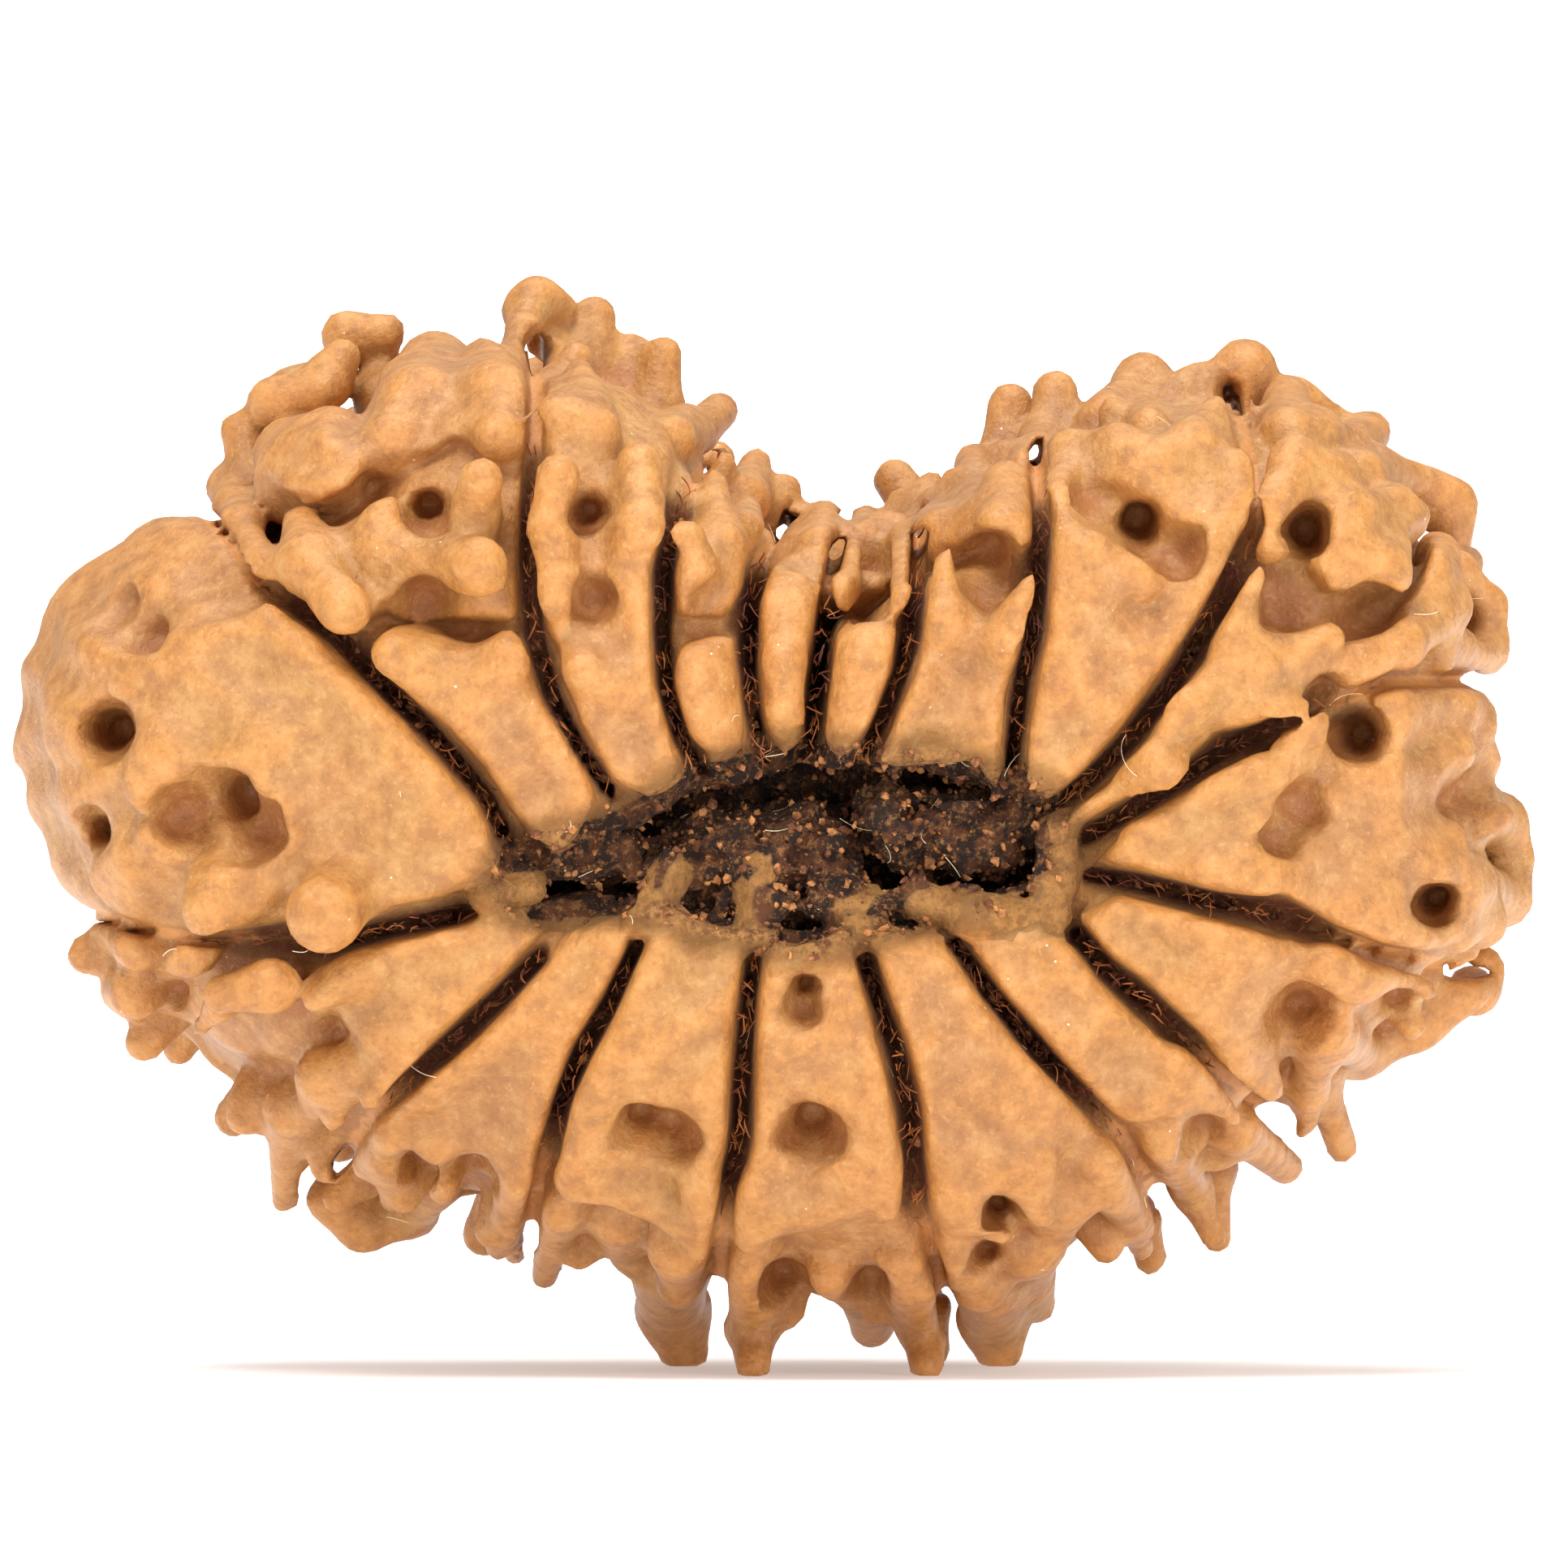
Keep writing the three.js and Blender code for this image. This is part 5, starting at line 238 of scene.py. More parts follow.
# Knobs, spines and ridges on the face: chains of x, z, lift off the face and radius.
FACE_RELIEF = [
    # Second segment: upper left.
    [[-8.6, 17, 0, 0.5], [-9.4, 17.55, 0.4, 0.5]],
    [[-7, 17.1, 0, 0.5], [-6.6, 17.5, 0.4, 0.5]],
    [[-10.6, 18.7, 1.3, 0.45], [-11.5, 19.8, 1.4, 0.6], [-11.75, 20.8, 1.1, 0.35]],
    [[-11, 19.8, 0.7, 0.5], [-9.7, 20, 0.5, 0.5], [-8.4, 19.8, 0.4, 0.45], [-7.35, 19.75, 1.3, 0.62]],
    [[-9.7, 20.2, 0.6, 0.5], [-9.7, 21.1, 0.9, 0.35]],
    [[-7.5, 21, 0.6, 0.5], [-7.3, 21.8, 1.9, 0.48]],
    [[-12.2, 21.7, 1.1, 0.55], [-12.2, 22.6, 1.2, 0.6], [-11, 22.9, 1.2, 0.6], [-10.4, 22.3, 0.9, 0.35]],
    [[-11.6, 22.2, 0.6, 0.9], [-11, 21.9, 0.4, 0.7]],
    [[-9.5, 22.8, 0.4, 0.6], [-8.9, 23.7, 0.4, 0.8], [-8.6, 24.7, 0, 0.85]],
    [[-6.9, 22.9, 0.6, 0.4], [-7, 23.9, 0.3, 0.6], [-7.2, 24.6, -0.3, 0.5]],
    [[-11.3, 24.4, -0.6, 0.5], [-10.9, 25, -0.4, 0.42]],
    [[-9.9, 23.9, -1.4, 0.5], [-10.1, 25.3, -2.4, 0.35]],
    [[-10.85, 25.6, -1.8, 0.42], [-9.85, 25.65, -1.8, 0.42]],
    [[-12.6, 23.9, -0.2, 0.45], [-11.3, 24.2, 0.1, 0.48]],
    [[-12.1, 24.1, -2.2, 0.55], [-11.9, 24.3, -2.6, 0.45]],
    [[-13, 21.9, -0.3, 0.5], [-13.45, 23.2, -0.6, 0.42]],
    [[-13.7, 21.8, -0.8, 0.4], [-13.3, 20.7, 0.4, 0.42], [-12.6, 19.7, 0.6, 0.4]],
    # Third segment.
    [[-3.9, 16.7, 0, 0.45], [-4.8, 17.2, 0.35, 0.45]],
    [[-5.4, 19, 0.3, 0.5], [-5.6, 20, 0.5, 0.45]],
    [[-5.6, 20.6, 0.6, 0.45], [-5.45, 21.9, 1.4, 0.48]],
    [[-3.4, 20.5, 0.5, 0.5], [-3.5, 22.2, 0.8, 0.5]],
    [[-5.4, 23.2, 0.4, 0.6], [-4.6, 23, 0.4, 0.6]],
    [[-4.7, 23.4, 0, 0.4], [-5, 24.6, 1.2, 0.26]],
    [[-6.4, 24.6, -1.5, 0.5], [-6.4, 26.2, -2, 0.42], [-6.1, 26.5, -2, 0.4], [-5.6, 26.3, -2.2, 0.36]],
    [[-4.9, 24.8, -2.6, 0.6], [-4.7, 26.05, -2.8, 0.48]],
    [[-5.9, 24.4, -3.8, 0.6], [-5.8, 25.5, -4, 0.5]],
    [[-3.9, 24.2, -2.6, 0.5], [-3.75, 25.2, -2.8, 0.4]],
    [[-3.1, 23.6, -2, 0.5], [-3, 25.1, -2.2, 0.42]],
    [[-2.5, 22.8, -1.6, 0.5], [-1.6, 23.7, -1.8, 0.42]],
    [[-2.7, 22.9, 0.2, 0.4], [-2.5, 23.5, 0.3, 0.3]],
    # Fourth segment.
    [[-1.9, 16, 0, 0.4], [-2.1, 17.1, 0.3, 0.42]],
    [[-2.1, 19.6, 0, 0.4], [-2.3, 20.4, 0.7, 0.38]],
    [[-1.5, 20.3, 0.1, 0.4], [-1.8, 21.7, 0.1, 0.4]],
    [[-1, 21.4, -1, 0.5], [-0.7, 22.4, -1.6, 0.34]],
    [[-0.2, 21, -0.6, 0.5], [0.05, 21.75, -0.9, 0.34]],
    [[-0.9, 20.6, 0.2, 0.3], [-0.9, 21.2, 0.3, 0.3]],
    # Fifth and sixth segments: the short ones in the notch.
    [[0.05, 16.2, 0, 0.3], [0, 17.4, 0.2, 0.36], [0.3, 19.2, 0.1, 0.34]],
    [[0.9, 20.2, -0.2, 0.4], [1, 21.05, -0.6, 0.4]],
    [[1.7, 16, 0, 0.35], [1.9, 17.2, 0.25, 0.45], [2.1, 18, 0.3, 0.4]],
    [[1.45, 19.1, 0.2, 0.3], [1.6, 20.2, 0, 0.28]],
    [[2.9, 18.9, 0.3, 0.25], [2.9, 20.6, 0.3, 0.26]],
    [[2, 20.4, -0.8, 0.35], [2, 21.1, -1, 0.26]],
    [[2.9, 20.8, -1, 0.35], [2.9, 21.5, -1.2, 0.28]],
    [[0.2, 19.8, -3, 0.6], [0.1, 20.9, -3.4, 0.5]],
    [[1.3, 19.8, -3, 0.6], [1.3, 20.6, -3.4, 0.5]],
    [[3.2, 20, -3, 0.6], [3.3, 20.8, -3.4, 0.5]],
    # Seventh segment.
    [[3.9, 18.3, 0.1, 0.45], [4, 19.8, 0.9, 0.34]],
    [[5.4, 18, 0.1, 0.42], [5.8, 19.3, 0.9, 0.28]],
    [[3.8, 20.5, 0.2, 0.5], [3.9, 21.4, -0.2, 0.45]],
    [[5.3, 20.6, 0.8, 0.52], [5.4, 21.7, 0.7, 0.58]],
    [[4.7, 20.8, 0.1, 0.4], [4.7, 22.4, -1, 0.45]],
    [[3.5, 21.2, -1, 0.4], [3.6, 21.9, -1.2, 0.26]],
    # Eighth segment: upper right.
    [[7.3, 17.2, -0.1, 0.42], [6.9, 17.6, 0.25, 0.4]],
    [[7.4, 19, 0, 0.42], [7, 20.1, 0.4, 0.28]],
    [[9.6, 19.6, 0, 0.45], [10.1, 20, 0.3, 0.4]],
    [[7.3, 20.1, 0.4, 0.35], [8.6, 19.6, 0.2, 0.5], [9.8, 20.2, 0.4, 0.45]],
    [[6.7, 21.3, 0.3, 0.35], [6.9, 22.6, 0.9, 0.36], [8.1, 22.7, 0.8, 0.4], [9, 22.4, 0.5, 0.4]],
    [[11, 21.2, 0.4, 0.42], [10.9, 22.1, 0.5, 0.48]],
    [[9.9, 22.6, 0.3, 0.5], [10.5, 23.6, 0.6, 0.26]],
    [[5.4, 22.4, -1.8, 0.5], [5.6, 23.85, -2.2, 0.5]],
    [[6.7, 22.9, -0.8, 0.55], [6.7, 24.15, -1.4, 0.5]],
    [[6.2, 22, -1.4, 0.6], [6.3, 23, -0.6, 0.45]],
    [[7.9, 23.4, -1.6, 0.5], [8.9, 24.45, -2.4, 0.55], [9.5, 24.1, -2, 0.4]],
    [[8.9, 23.2, -0.4, 0.3], [8.9, 23.8, -0.6, 0.26]],
    [[9.6, 23.9, -1.2, 0.4], [10.2, 24.5, -1.6, 0.38]],
    # Ninth segment: a narrow strip from the mouth that fans out to the upper right.
    [[8.7, 14.7, 0.1, 0.5], [9.1, 14.9, 0.5, 0.6]],
    [[9.5, 16.2, 0.1, 0.5], [9.8, 16.4, 0.4, 0.42]],
    [[11.1, 17.2, 0.1, 0.5], [11.5, 17.3, 0.4, 0.45]],
    [[10.7, 18, 0.1, 0.4], [11.5, 19.5, 0.9, 0.2]],
    [[12.2, 17.4, 0.1, 0.44], [13.5, 18.2, 0.9, 0.24]],
    [[12, 21.2, 0.4, 0.45], [12.3, 22.6, 1, 0.3]],
    [[12.4, 22.2, 0.8, 0.4], [13.5, 22.1, 0.9, 0.3], [13.6, 21.2, 0.6, 0.45]],
    [[11.7, 20.2, 0.2, 0.25], [12.2, 21, 0.5, 0.25]],
    [[13.7, 20.9, 0.6, 0.5], [14.9, 21.2, 1.1, 0.42], [15.2, 20.9, 1.1, 0.4]],
    [[13.4, 20.1, 0.3, 0.6], [14.5, 19.6, 0.9, 0.55], [14.8, 20.2, 0.9, 0.4]],
    [[13.9, 17.3, 0.3, 0.4], [15, 17.9, 0.8, 0.45], [16.2, 18.8, 0.9, 0.45], [16.1, 20.2, 0.8, 0.4]],
    [[11, 24, -1.6, 0.6], [11.4, 24.7, -1.8, 0.72]],
    [[12.3, 23, -0.1, 0.5], [12.4, 24, -0.3, 0.5]],
    [[13, 23, 0, 0.55], [13.1, 22.9, 0.6, 0.45]],
    [[12.6, 23.9, -1.9, 0.5], [13.5, 23.5, -2.2, 0.4]],
    [[13.9, 22.6, -1.6, 0.5], [14.5, 23.2, -2.4, 0.48]],
    [[14, 22, 0.2, 0.5], [14.6, 22.2, 0.3, 0.45], [15.6, 22, -0.6, 0.38]],
    [[15.8, 21.7, -2, 0.5], [16.5, 21.4, -2.2, 0.5], [16.6, 20.7, -2, 0.42]],
    [[16.6, 19.8, -2.4, 0.4], [17, 20, -3, 0.3]],
    [[16.6, 19.7, -1, 0.4], [17.4, 18.9, -1.6, 0.36], [17.5, 18.2, -1.6, 0.34]],
    [[15.8, 17.8, -0.6, 0.45], [17.4, 17.7, -1.4, 0.46]],
    # Tenth segment: the broad right one.
    [[8.4, 13.5, 0.1, 0.22], [10.4, 14.35, 0.2, 0.26], [11.9, 15, 0.4, 0.24]],
    [[10.2, 12.3, 0, 0.4], [11.4, 12.2, 0.3, 0.36]],
    [[13.6, 11.3, 0.1, 0.4], [15.4, 10.8, 0.5, 0.32]],
    [[12, 16.1, 0.5, 0.42], [13, 15.8, 0.7, 0.4]],
    [[15.6, 12.4, 0.2, 0.5], [16.8, 12.1, 0.2, 0.42], [17, 11.3, 0, 0.42], [16.4, 10.8, 0.2, 0.4]],
    [[14.6, 16.2, 0, 0.6], [16.1, 16.5, -0.2, 0.55], [17, 16.1, -1, 0.55]],
    [[16.8, 15, -1.2, 0.5], [17.1, 14.9, -1.4, 0.42]],
    [[16.2, 14.8, 0.1, 0.3], [16.2, 13.3, 0.2, 0.3]],
    [[16.8, 13.8, -2, 0.6], [17.7, 13.6, -2.8, 0.6]],
    [[17.7, 13.4, -2.6, 0.5], [18.1, 12.6, -2.8, 0.36], [17.9, 11.7, -2.8, 0.5]],
    [[16.8, 12, -2, 0.6], [17.8, 11.6, -2.8, 0.58]],
    # Eleventh segment.
    [[13.2, 10, 0.1, 0.44], [15.6, 9.4, 1.1, 0.24]],
    [[10.8, 8, 0.1, 0.44], [11.8, 7, 0.9, 0.27]],
    [[13.1, 8.6, 0, 0.55], [12.8, 6.1, 0.2, 0.28]],
    [[13.4, 8.4, 0, 0.4], [14.2, 7.9, -0.6, 0.55], [15.6, 8.6, -0.6, 0.55], [16.9, 9.4, -0.8, 0.5]],
    [[13.1, 7.4, -1.4, 0.4], [13.8, 5.5, -1.6, 0.34]],
    [[14, 7, -3.6, 0.4], [14.4, 5.9, -4, 0.32]],
    [[17.1, 9.4, -2.6, 0.5], [17.3, 9.9, -2.8, 0.5]],
    # Twelfth segment.
    [[9.6, 7.6, 0, 0.42], [10.8, 6.3, 0.8, 0.26]],
    [[9.2, 5.9, 0, 0.45], [10, 4.6, -0.2, 0.42], [10.6, 3.3, -0.4, 0.28]],
    [[10.6, 4.9, -2.6, 0.4], [10.75, 3.2, -3.2, 0.32]],
    [[11, 6.1, -0.9, 0.5], [12.4, 5, -1.6, 0.38]],
    # Thirteenth segment.
    [[7.6, 5.3, 0.1, 0.44], [8.7, 3.5, 0.9, 0.24]],
    [[4.2, 4.5, 0.1, 0.42], [5.2, 3.5, 0.5, 0.24]],
    [[5.9, 5.2, 0.3, 0.5], [6.3, 4, 0.8, 0.26]],
    [[6.9, 4.4, -0.3, 0.5], [6.5, 2.9, -0.1, 0.24]],
    [[4.1, 3.2, 0, 0.45], [4.8, 2.2, 0.2, 0.45], [5.7, 1.9, 0.1, 0.34]],
    [[6, 3.1, -0.6, 0.4], [6.3, 2.2, -0.6, 0.3]],
    [[5, 2.7, -3.2, 0.8], [5.2, 1.2, -4, 0.72], [5.35, 0.4, -4.2, 0.52]],
    [[6, 2.4, -4.6, 0.55], [6.3, 1.5, -5, 0.42]],
    [[8.4, 4, -0.8, 0.4], [8.85, 3, -1, 0.26]],
    [[8.8, 3.9, -3, 0.4], [9.1, 2.7, -3.4, 0.36]],
    # Fourteenth segment: bottom middle.
    [[-0.7, 4.6, 0, 0.38], [-0.9, 3.5, 0.6, 0.26]],
    [[2.4, 5.4, 0, 0.38], [2.5, 4.2, 0.7, 0.26]],
    [[-0.7, 2.8, 0.1, 0.5], [-0.9, 1.7, 0.1, 0.3]],
    [[1.1, 2.6, 0, 0.4], [1.9, 1.6, 0.1, 0.32]],
    [[2.8, 2.8, 0.1, 0.45], [3.2, 1.4, 0.1, 0.34]],
    [[-0.6, 2.6, -0.4, 0.7], [-0.8, 1.2, 1.6, 0.52], [-0.75, 0.25, 3, 0.38]],
    [[3.2, 2.6, -0.4, 0.65], [3.4, 1.2, 1.4, 0.5], [3.5, 0.25, 2.8, 0.38]],
    [[3.5, 1.6, -4.6, 0.45], [3.7, 0.4, -5, 0.4]],
    [[2.1, 2, -5.4, 0.6], [2.2, 0.95, -6, 0.5]],
    # Fifteenth segment.
    [[-1.9, 4.6, 0.1, 0.42], [-2.1, 3.2, 0.9, 0.24]],
    [[-5, 4.95, 0.2, 0.34], [-3.6, 4.55, 0.2, 0.32], [-2.6, 3.9, 0.3, 0.3]],
    [[-2.6, 3.2, 0, 0.55], [-2.5, 2, 0.2, 0.4]],
    [[-2.9, 2.9, -3.4, 0.8], [-2.75, 1.4, -4.1, 0.76], [-2.5, 0.4, -4.4, 0.56]],
    [[-4, 4, -1.6, 0.6], [-3.8, 3, -2.2, 0.45]],
    [[-5.4, 4.2, -0.6, 0.45], [-5.9, 2.35, -0.8, 0.3]],
    # Sixteenth segment.
    [[-6.4, 5, 0, 0.4], [-7, 3.1, 0.6, 0.3]],
    [[-9.4, 6, 0.1, 0.42], [-10.2, 5.2, 0.6, 0.34]],
    [[-9.5, 5.4, 0.2, 0.45], [-9.6, 4.3, 0.6, 0.32]],
    [[-10.2, 5, -0.4, 0.5], [-11, 4.3, -0.2, 0.36]],
    [[-8.4, 5.8, 0.1, 0.5], [-8.3, 4.6, 0.2, 0.35]],
    [[-11.1, 4.2, -1.8, 0.5], [-10.4, 3.6, -2, 0.55], [-9.2, 3.9, -2, 0.5], [-8.4, 4.6, -2, 0.4]],
    [[-6.4, 4.2, -2, 0.45], [-6.6, 2.9, -2.2, 0.3]],
    # Seventeenth segment: lower left.
    [[-10.2, 9.9, 0, 0.4], [-11.3, 9.3, 0.6, 0.3]],
    [[-9, 7.9, 0, 0.42], [-10, 6.9, 0.9, 0.27]],
    [[-10.5, 7.6, 0, 0.45], [-10.95, 6.3, 0.2, 0.24]],
    [[-11.2, 7.4, 0, 0.5], [-11.7, 5.5, 0.2, 0.28]],
    [[-12.1, 6.6, -1, 0.5], [-12.35, 4.2, -1.4, 0.28]],
    [[-12.8, 6.8, -1.6, 0.5], [-13.3, 6.4, -2, 0.36]],
    [[-12.4, 9.6, 0.3, 0.5], [-13.6, 9.4, 0.9, 0.42]],
    [[-13.6, 9.2, 0.1, 0.3], [-14.2, 8.55, 0.7, 0.18]],
    [[-14.2, 10.5, 0, 0.4], [-15.2, 9.5, 1, 0.24]],
    [[-15.7, 10.6, -0.5, 0.5], [-16.5, 11.1, -1.4, 0.45]],
    [[-15.8, 9.4, -0.9, 0.5], [-16.3, 9.4, -1.6, 0.4]],
    # First segment: the big smooth one on the left.
    [[-11.6, 17.7, 0, 0.4], [-12.4, 18.5, 0.4, 0.3]],
    [[-12.6, 14.5, 0, 0.5], [-13.2, 14.5, 0.3, 0.42]],
    [[-14.9, 15.3, 0.3, 0.6], [-15.5, 14.4, 0.5, 0.45]],
    [[-10.6, 11.8, 0.1, 0.7], [-11.05, 11.35, 1.3, 0.85]],
    [[-13.5, 12, 0, 0.6], [-13.85, 11.4, 1, 0.62]],
    [[-14.8, 13.1, 0.1, 0.4], [-15.3, 13.2, 0.4, 0.32]],
    [[-15.6, 12.6, -0.3, 0.6], [-16.4, 12.2, -0.3, 0.45]],
    [[-15.6, 11.7, -0.4, 0.4], [-16, 11.5, -0.4, 0.36]],
]

# Pits in the face: x, z, radius, depth, and how far the floor is moved in x and z.
FACE_PITS = [
    [-16.4, 15.8, 0.55, 2.4, 0.3, 0], [-16.8, 13.4, 0.36, 2, 0.5, 0], [-13.4, 14.1, 0.5, 1.6, 0.5, 0.1],
    [-14.4, 13.7, 0.6, 0.4, 0, 0],
    [-16.3, 18.9, 0.4, 0.5, 0.3, 0.1], [-15.6, 18.1, 0.4, 0.35, 0.4, 0.1], [-12.7, 13.4, 0.6, 0.5, 0, 0],
    [-8.6, 21.1, 0.4, 1.6, 0, 0.2], [-10, 21.6, 0.26, 0.8, 0, 0], [-8.6, 18.9, 0.45, 0.3, 0, 0],
    [-4.8, 21, 0.34, 1.1, 0, 0.1], [-5.85, 25.3, 0.3, 1.5, 0, 0], [-4.6, 18.9, 0.4, 0.25, 0, 0],
    [-1.5, 18.9, 0.4, 0.3, 0, 0], [2.1, 18.9, 0.3, 0.8, 0, 0], [5, 19.8, 0.62, 1.5, 0, 0.4],
    [8.6, 20.7, 0.5, 2.4, 0, 0.2], [7.6, 21.4, 0.5, 0.4, 0, 0], [9.5, 20.1, 0.55, 0.35, 0, 0],
    [12.6, 20.6, 0.45, 2, 0.1, 0], [14.1, 18.7, 0.55, 1.2, 0.3, 0], [12.1, 18.9, 0.5, 0.6, 0, 0],
    [10.95, 24, 0.26, 1, 0, 0], [17, 18.6, 0.36, 1.4, -0.5, 0], [13.9, 15.7, 0.52, 2.2, 0.2, 0],
    [12.5, 13.9, 0.5, 0.3, 0, 0], [12, 13.2, 0.4, 0.25, 0, 0],
    [16.5, 14.1, 0.5, 1.2, -0.1, 0], [15.8, 11.6, 0.4, 1.8, 0.2, 0.1], [17.7, 12.8, 0.2, 1, 0, 0],
    [12.5, 8.9, 0.6, 1.1, 0, 0.2], [14.9, 9, 0.4, 1.6, 0, 0.3], [10.2, 5.8, 0.5, 0.9, 0, 0.3],
    [5.2, 4.1, 0.34, 1.6, 0, 0.2], [4.95, 3, 0.3, 1.3, 0, 0.2], [0.7, 6, 0.58, 1.2, 0, 0.45],
    [0.55, 9.6, 0.22, 1.2, 0, 0.15], [0.55, 9, 0.26, 0.4, 0, 0], [-0.1, 2.3, 0.45, 0.8, 0, 0.2],
    [2.1, 2.2, 0.35, 0.8, 0, 0.2],
    [-3.4, 6.1, 0.5, 1.2, 0, 0.5], [-2.8, 5.9, 0.52, 0.9, 0, 0.4], [-7.6, 4.9, 0.5, 0.9, 0, 0.3],
    [-9, 5.1, 0.35, 0.8, 0, 0.2], [-15, 9.3, 0.45, 1.6, 0.2, 0.1],
]

# The dried pith in the mouth: x, z and half-sizes of each lump, and how deep its face lies.
PITH = [
    [-0.9, 12.5, 2, 1.4, 2], [0.7, 12.7, 1, 1.3, 2.2], [0.4, 11.9, 1.7, 0.9, 2.1], [4.1, 13.3, 1.9, 1, 1.9],
    [2.6, 13.7, 0.75, 0.75, 1.8], [-4.6, 12.7, 1.7, 0.5, 1.8],
]

# Woody tongues that reach into the mouth, as chains like the relief.
TONGUES = [
    [[-0.72, 10.9, -0.4, 0.25], [-0.7, 12.3, -0.7, 0.42]],
    [[-3.5, 11.2, -0.2, 0.25], [-2.7, 12.3, -0.5, 0.36]],
    [[1.9, 10.9, -0.4, 0.2], [1.5, 11.6, -0.7, 0.36], [2.1, 11.7, -0.8, 0.34]],
    [[3.3, 11.7, -0.6, 0.3], [4.6, 11.3, -0.3, 0.42], [5.6, 11.3, -0.4, 0.42]],
    [[6.6, 13.4, -0.5, 0.3], [6.6, 12.3, -0.6, 0.36], [6.5, 11.2, -0.3, 0.3]],
    [[-7.2, 11.8, -0.2, 0.25], [-6, 12, -0.6, 0.25]],
]

# Rows of knobs from the rim over the back: degrees behind the rim, height, radius and space between.
HIDDEN_ROWS = [
    [-7, 0.3, 0.55, 2.4],
    [8, 0.3, 0.6, 2.5],
    [26, 0.9, 0.65, 2.4],
    [44, 1.1, 0.65, 2.4],
    [62, 0.9, 0.6, 2.4],
]


class Side(Enum):
    """The two halves of the bead, in front of its middle plane and behind it."""

    FRONT = "front"
    BACK = "back"


def smooth_min(a: Array, b: Array, reach: float) -> Array:
    """Take the smaller of two fields with a rounded change from one to the other.

    Args:
        a: One field.
        b: The other field.
        reach: How far the rounding spreads.

    Returns:
        The rounded smaller field.
    """
    overlap = np.maximum(reach - np.abs(a - b), 0) / reach
    return np.minimum(a, b) - overlap * overlap * reach / 4


def smooth_max(a: Array, b: Array, reach: float) -> Array:
    """Take the rounded larger of two fields, as smooth_min does for the smaller."""
    return -smooth_min(-a, -b, reach)


def smooth_step(value: Array, low: float, high: float) -> Array:
    """Rise smoothly from 0 at low to 1 at high."""
    t = np.clip((value - low) / (high - low), 0, 1)
    return t * t * (3 - 2 * t)


def repeatable(seed: int) -> Callable[[], float]:
    """Give the same stream of numbers from 0 to 1 as the part's source draws.

    Args:
        seed: Where the stream starts.

    Returns:
        A function that gives the next number.
    """
    state = seed
    word = 2**32

    def draw() -> float:
        """Give the next number of the stream.

        Returns:
            A number from 0 to 1.
        """
        nonlocal state
        state = (state + 0x6D2B79F5) % word
        mixed = (state ^ (state >> 15)) * (1 | state) % word
        mixed = ((mixed + (mixed ^ (mixed >> 7)) * (61 | mixed) % word) % word) ^ mixed
        return (mixed ^ (mixed >> 14)) % word / word

    return draw


def segment_distance(x: Array, z: Array, a: list[float], b: list[float]) -> tuple[Array, Array]:
    """Measure how far points of the face lie from a straight stretch, and how far along it.

    Args:
        x: The points' x.
        z: The points' z.
        a: The stretch's start.
        b: The stretch's end.

    Returns:
        The distance, and the share of the stretch from 0 to 1.
    """
    bx, bz = b[0] - a[0], b[1] - a[1]
    t = np.clip(((x - a[0]) * bx + (z - a[1]) * bz) / (bx * bx + bz * bz), 0, 1)
    return np.hypot(x - a[0] - t * bx, z - a[1] - t * bz), t


def ease(a: float | Array, b: float, share: float | Array) -> Array:
    """Go from one value to another by a share of 0 to 1."""
    return a + (b - a) * share


def rod_distance(x: Array, y: Array, z: Array, a: Array, b: Array) -> Array:
    """Measure the signed distance to a tapered rod with round ends.

    Args:
        x: The points' x.
        y: The points' y.
        z: The points' z.
        a: The start's x, y, z and radius.
        b: The end's x, y, z and radius.

    Returns:
        The distance, negative inside.
    """
    along = b[:3] - a[:3]
    px, py, pz = x - a[0], y - a[1], z - a[2]
    t = np.clip((px * along[0] + py * along[1] + pz * along[2]) / max(float(along @ along), 1e-9), 0, 1)
    away = np.sqrt((px - t * along[0]) ** 2 + (py - t * along[1]) ** 2 + (pz - t * along[2]) ** 2)
    return away - (a[3] + (b[3] - a[3]) * t)


def waves(x: Array, y: Array, z: Array, length: float, seed: int, count: int = 14) -> Array:
    """Give soft noise: a sum of waves in many directions, about -1 to 1.

    Args:
        x: The points' x.
        y: The points' y.
        z: The points' z.
        length: The waves' mean length.
        seed: Where the random stream starts.
        count: How many waves are summed.

    Returns:
        The noise.
    """
    rng = np.random.default_rng(seed)
    total = 0.0
    for _ in range(count):
        way = rng.normal(0, 1, 3)
        way *= math.tau / (np.linalg.norm(way) * length * rng.uniform(0.6, 1.6))
        total = total + np.sin(way[0] * x + way[1] * y + way[2] * z + rng.uniform(0, math.tau))
    return total / math.sqrt(count)


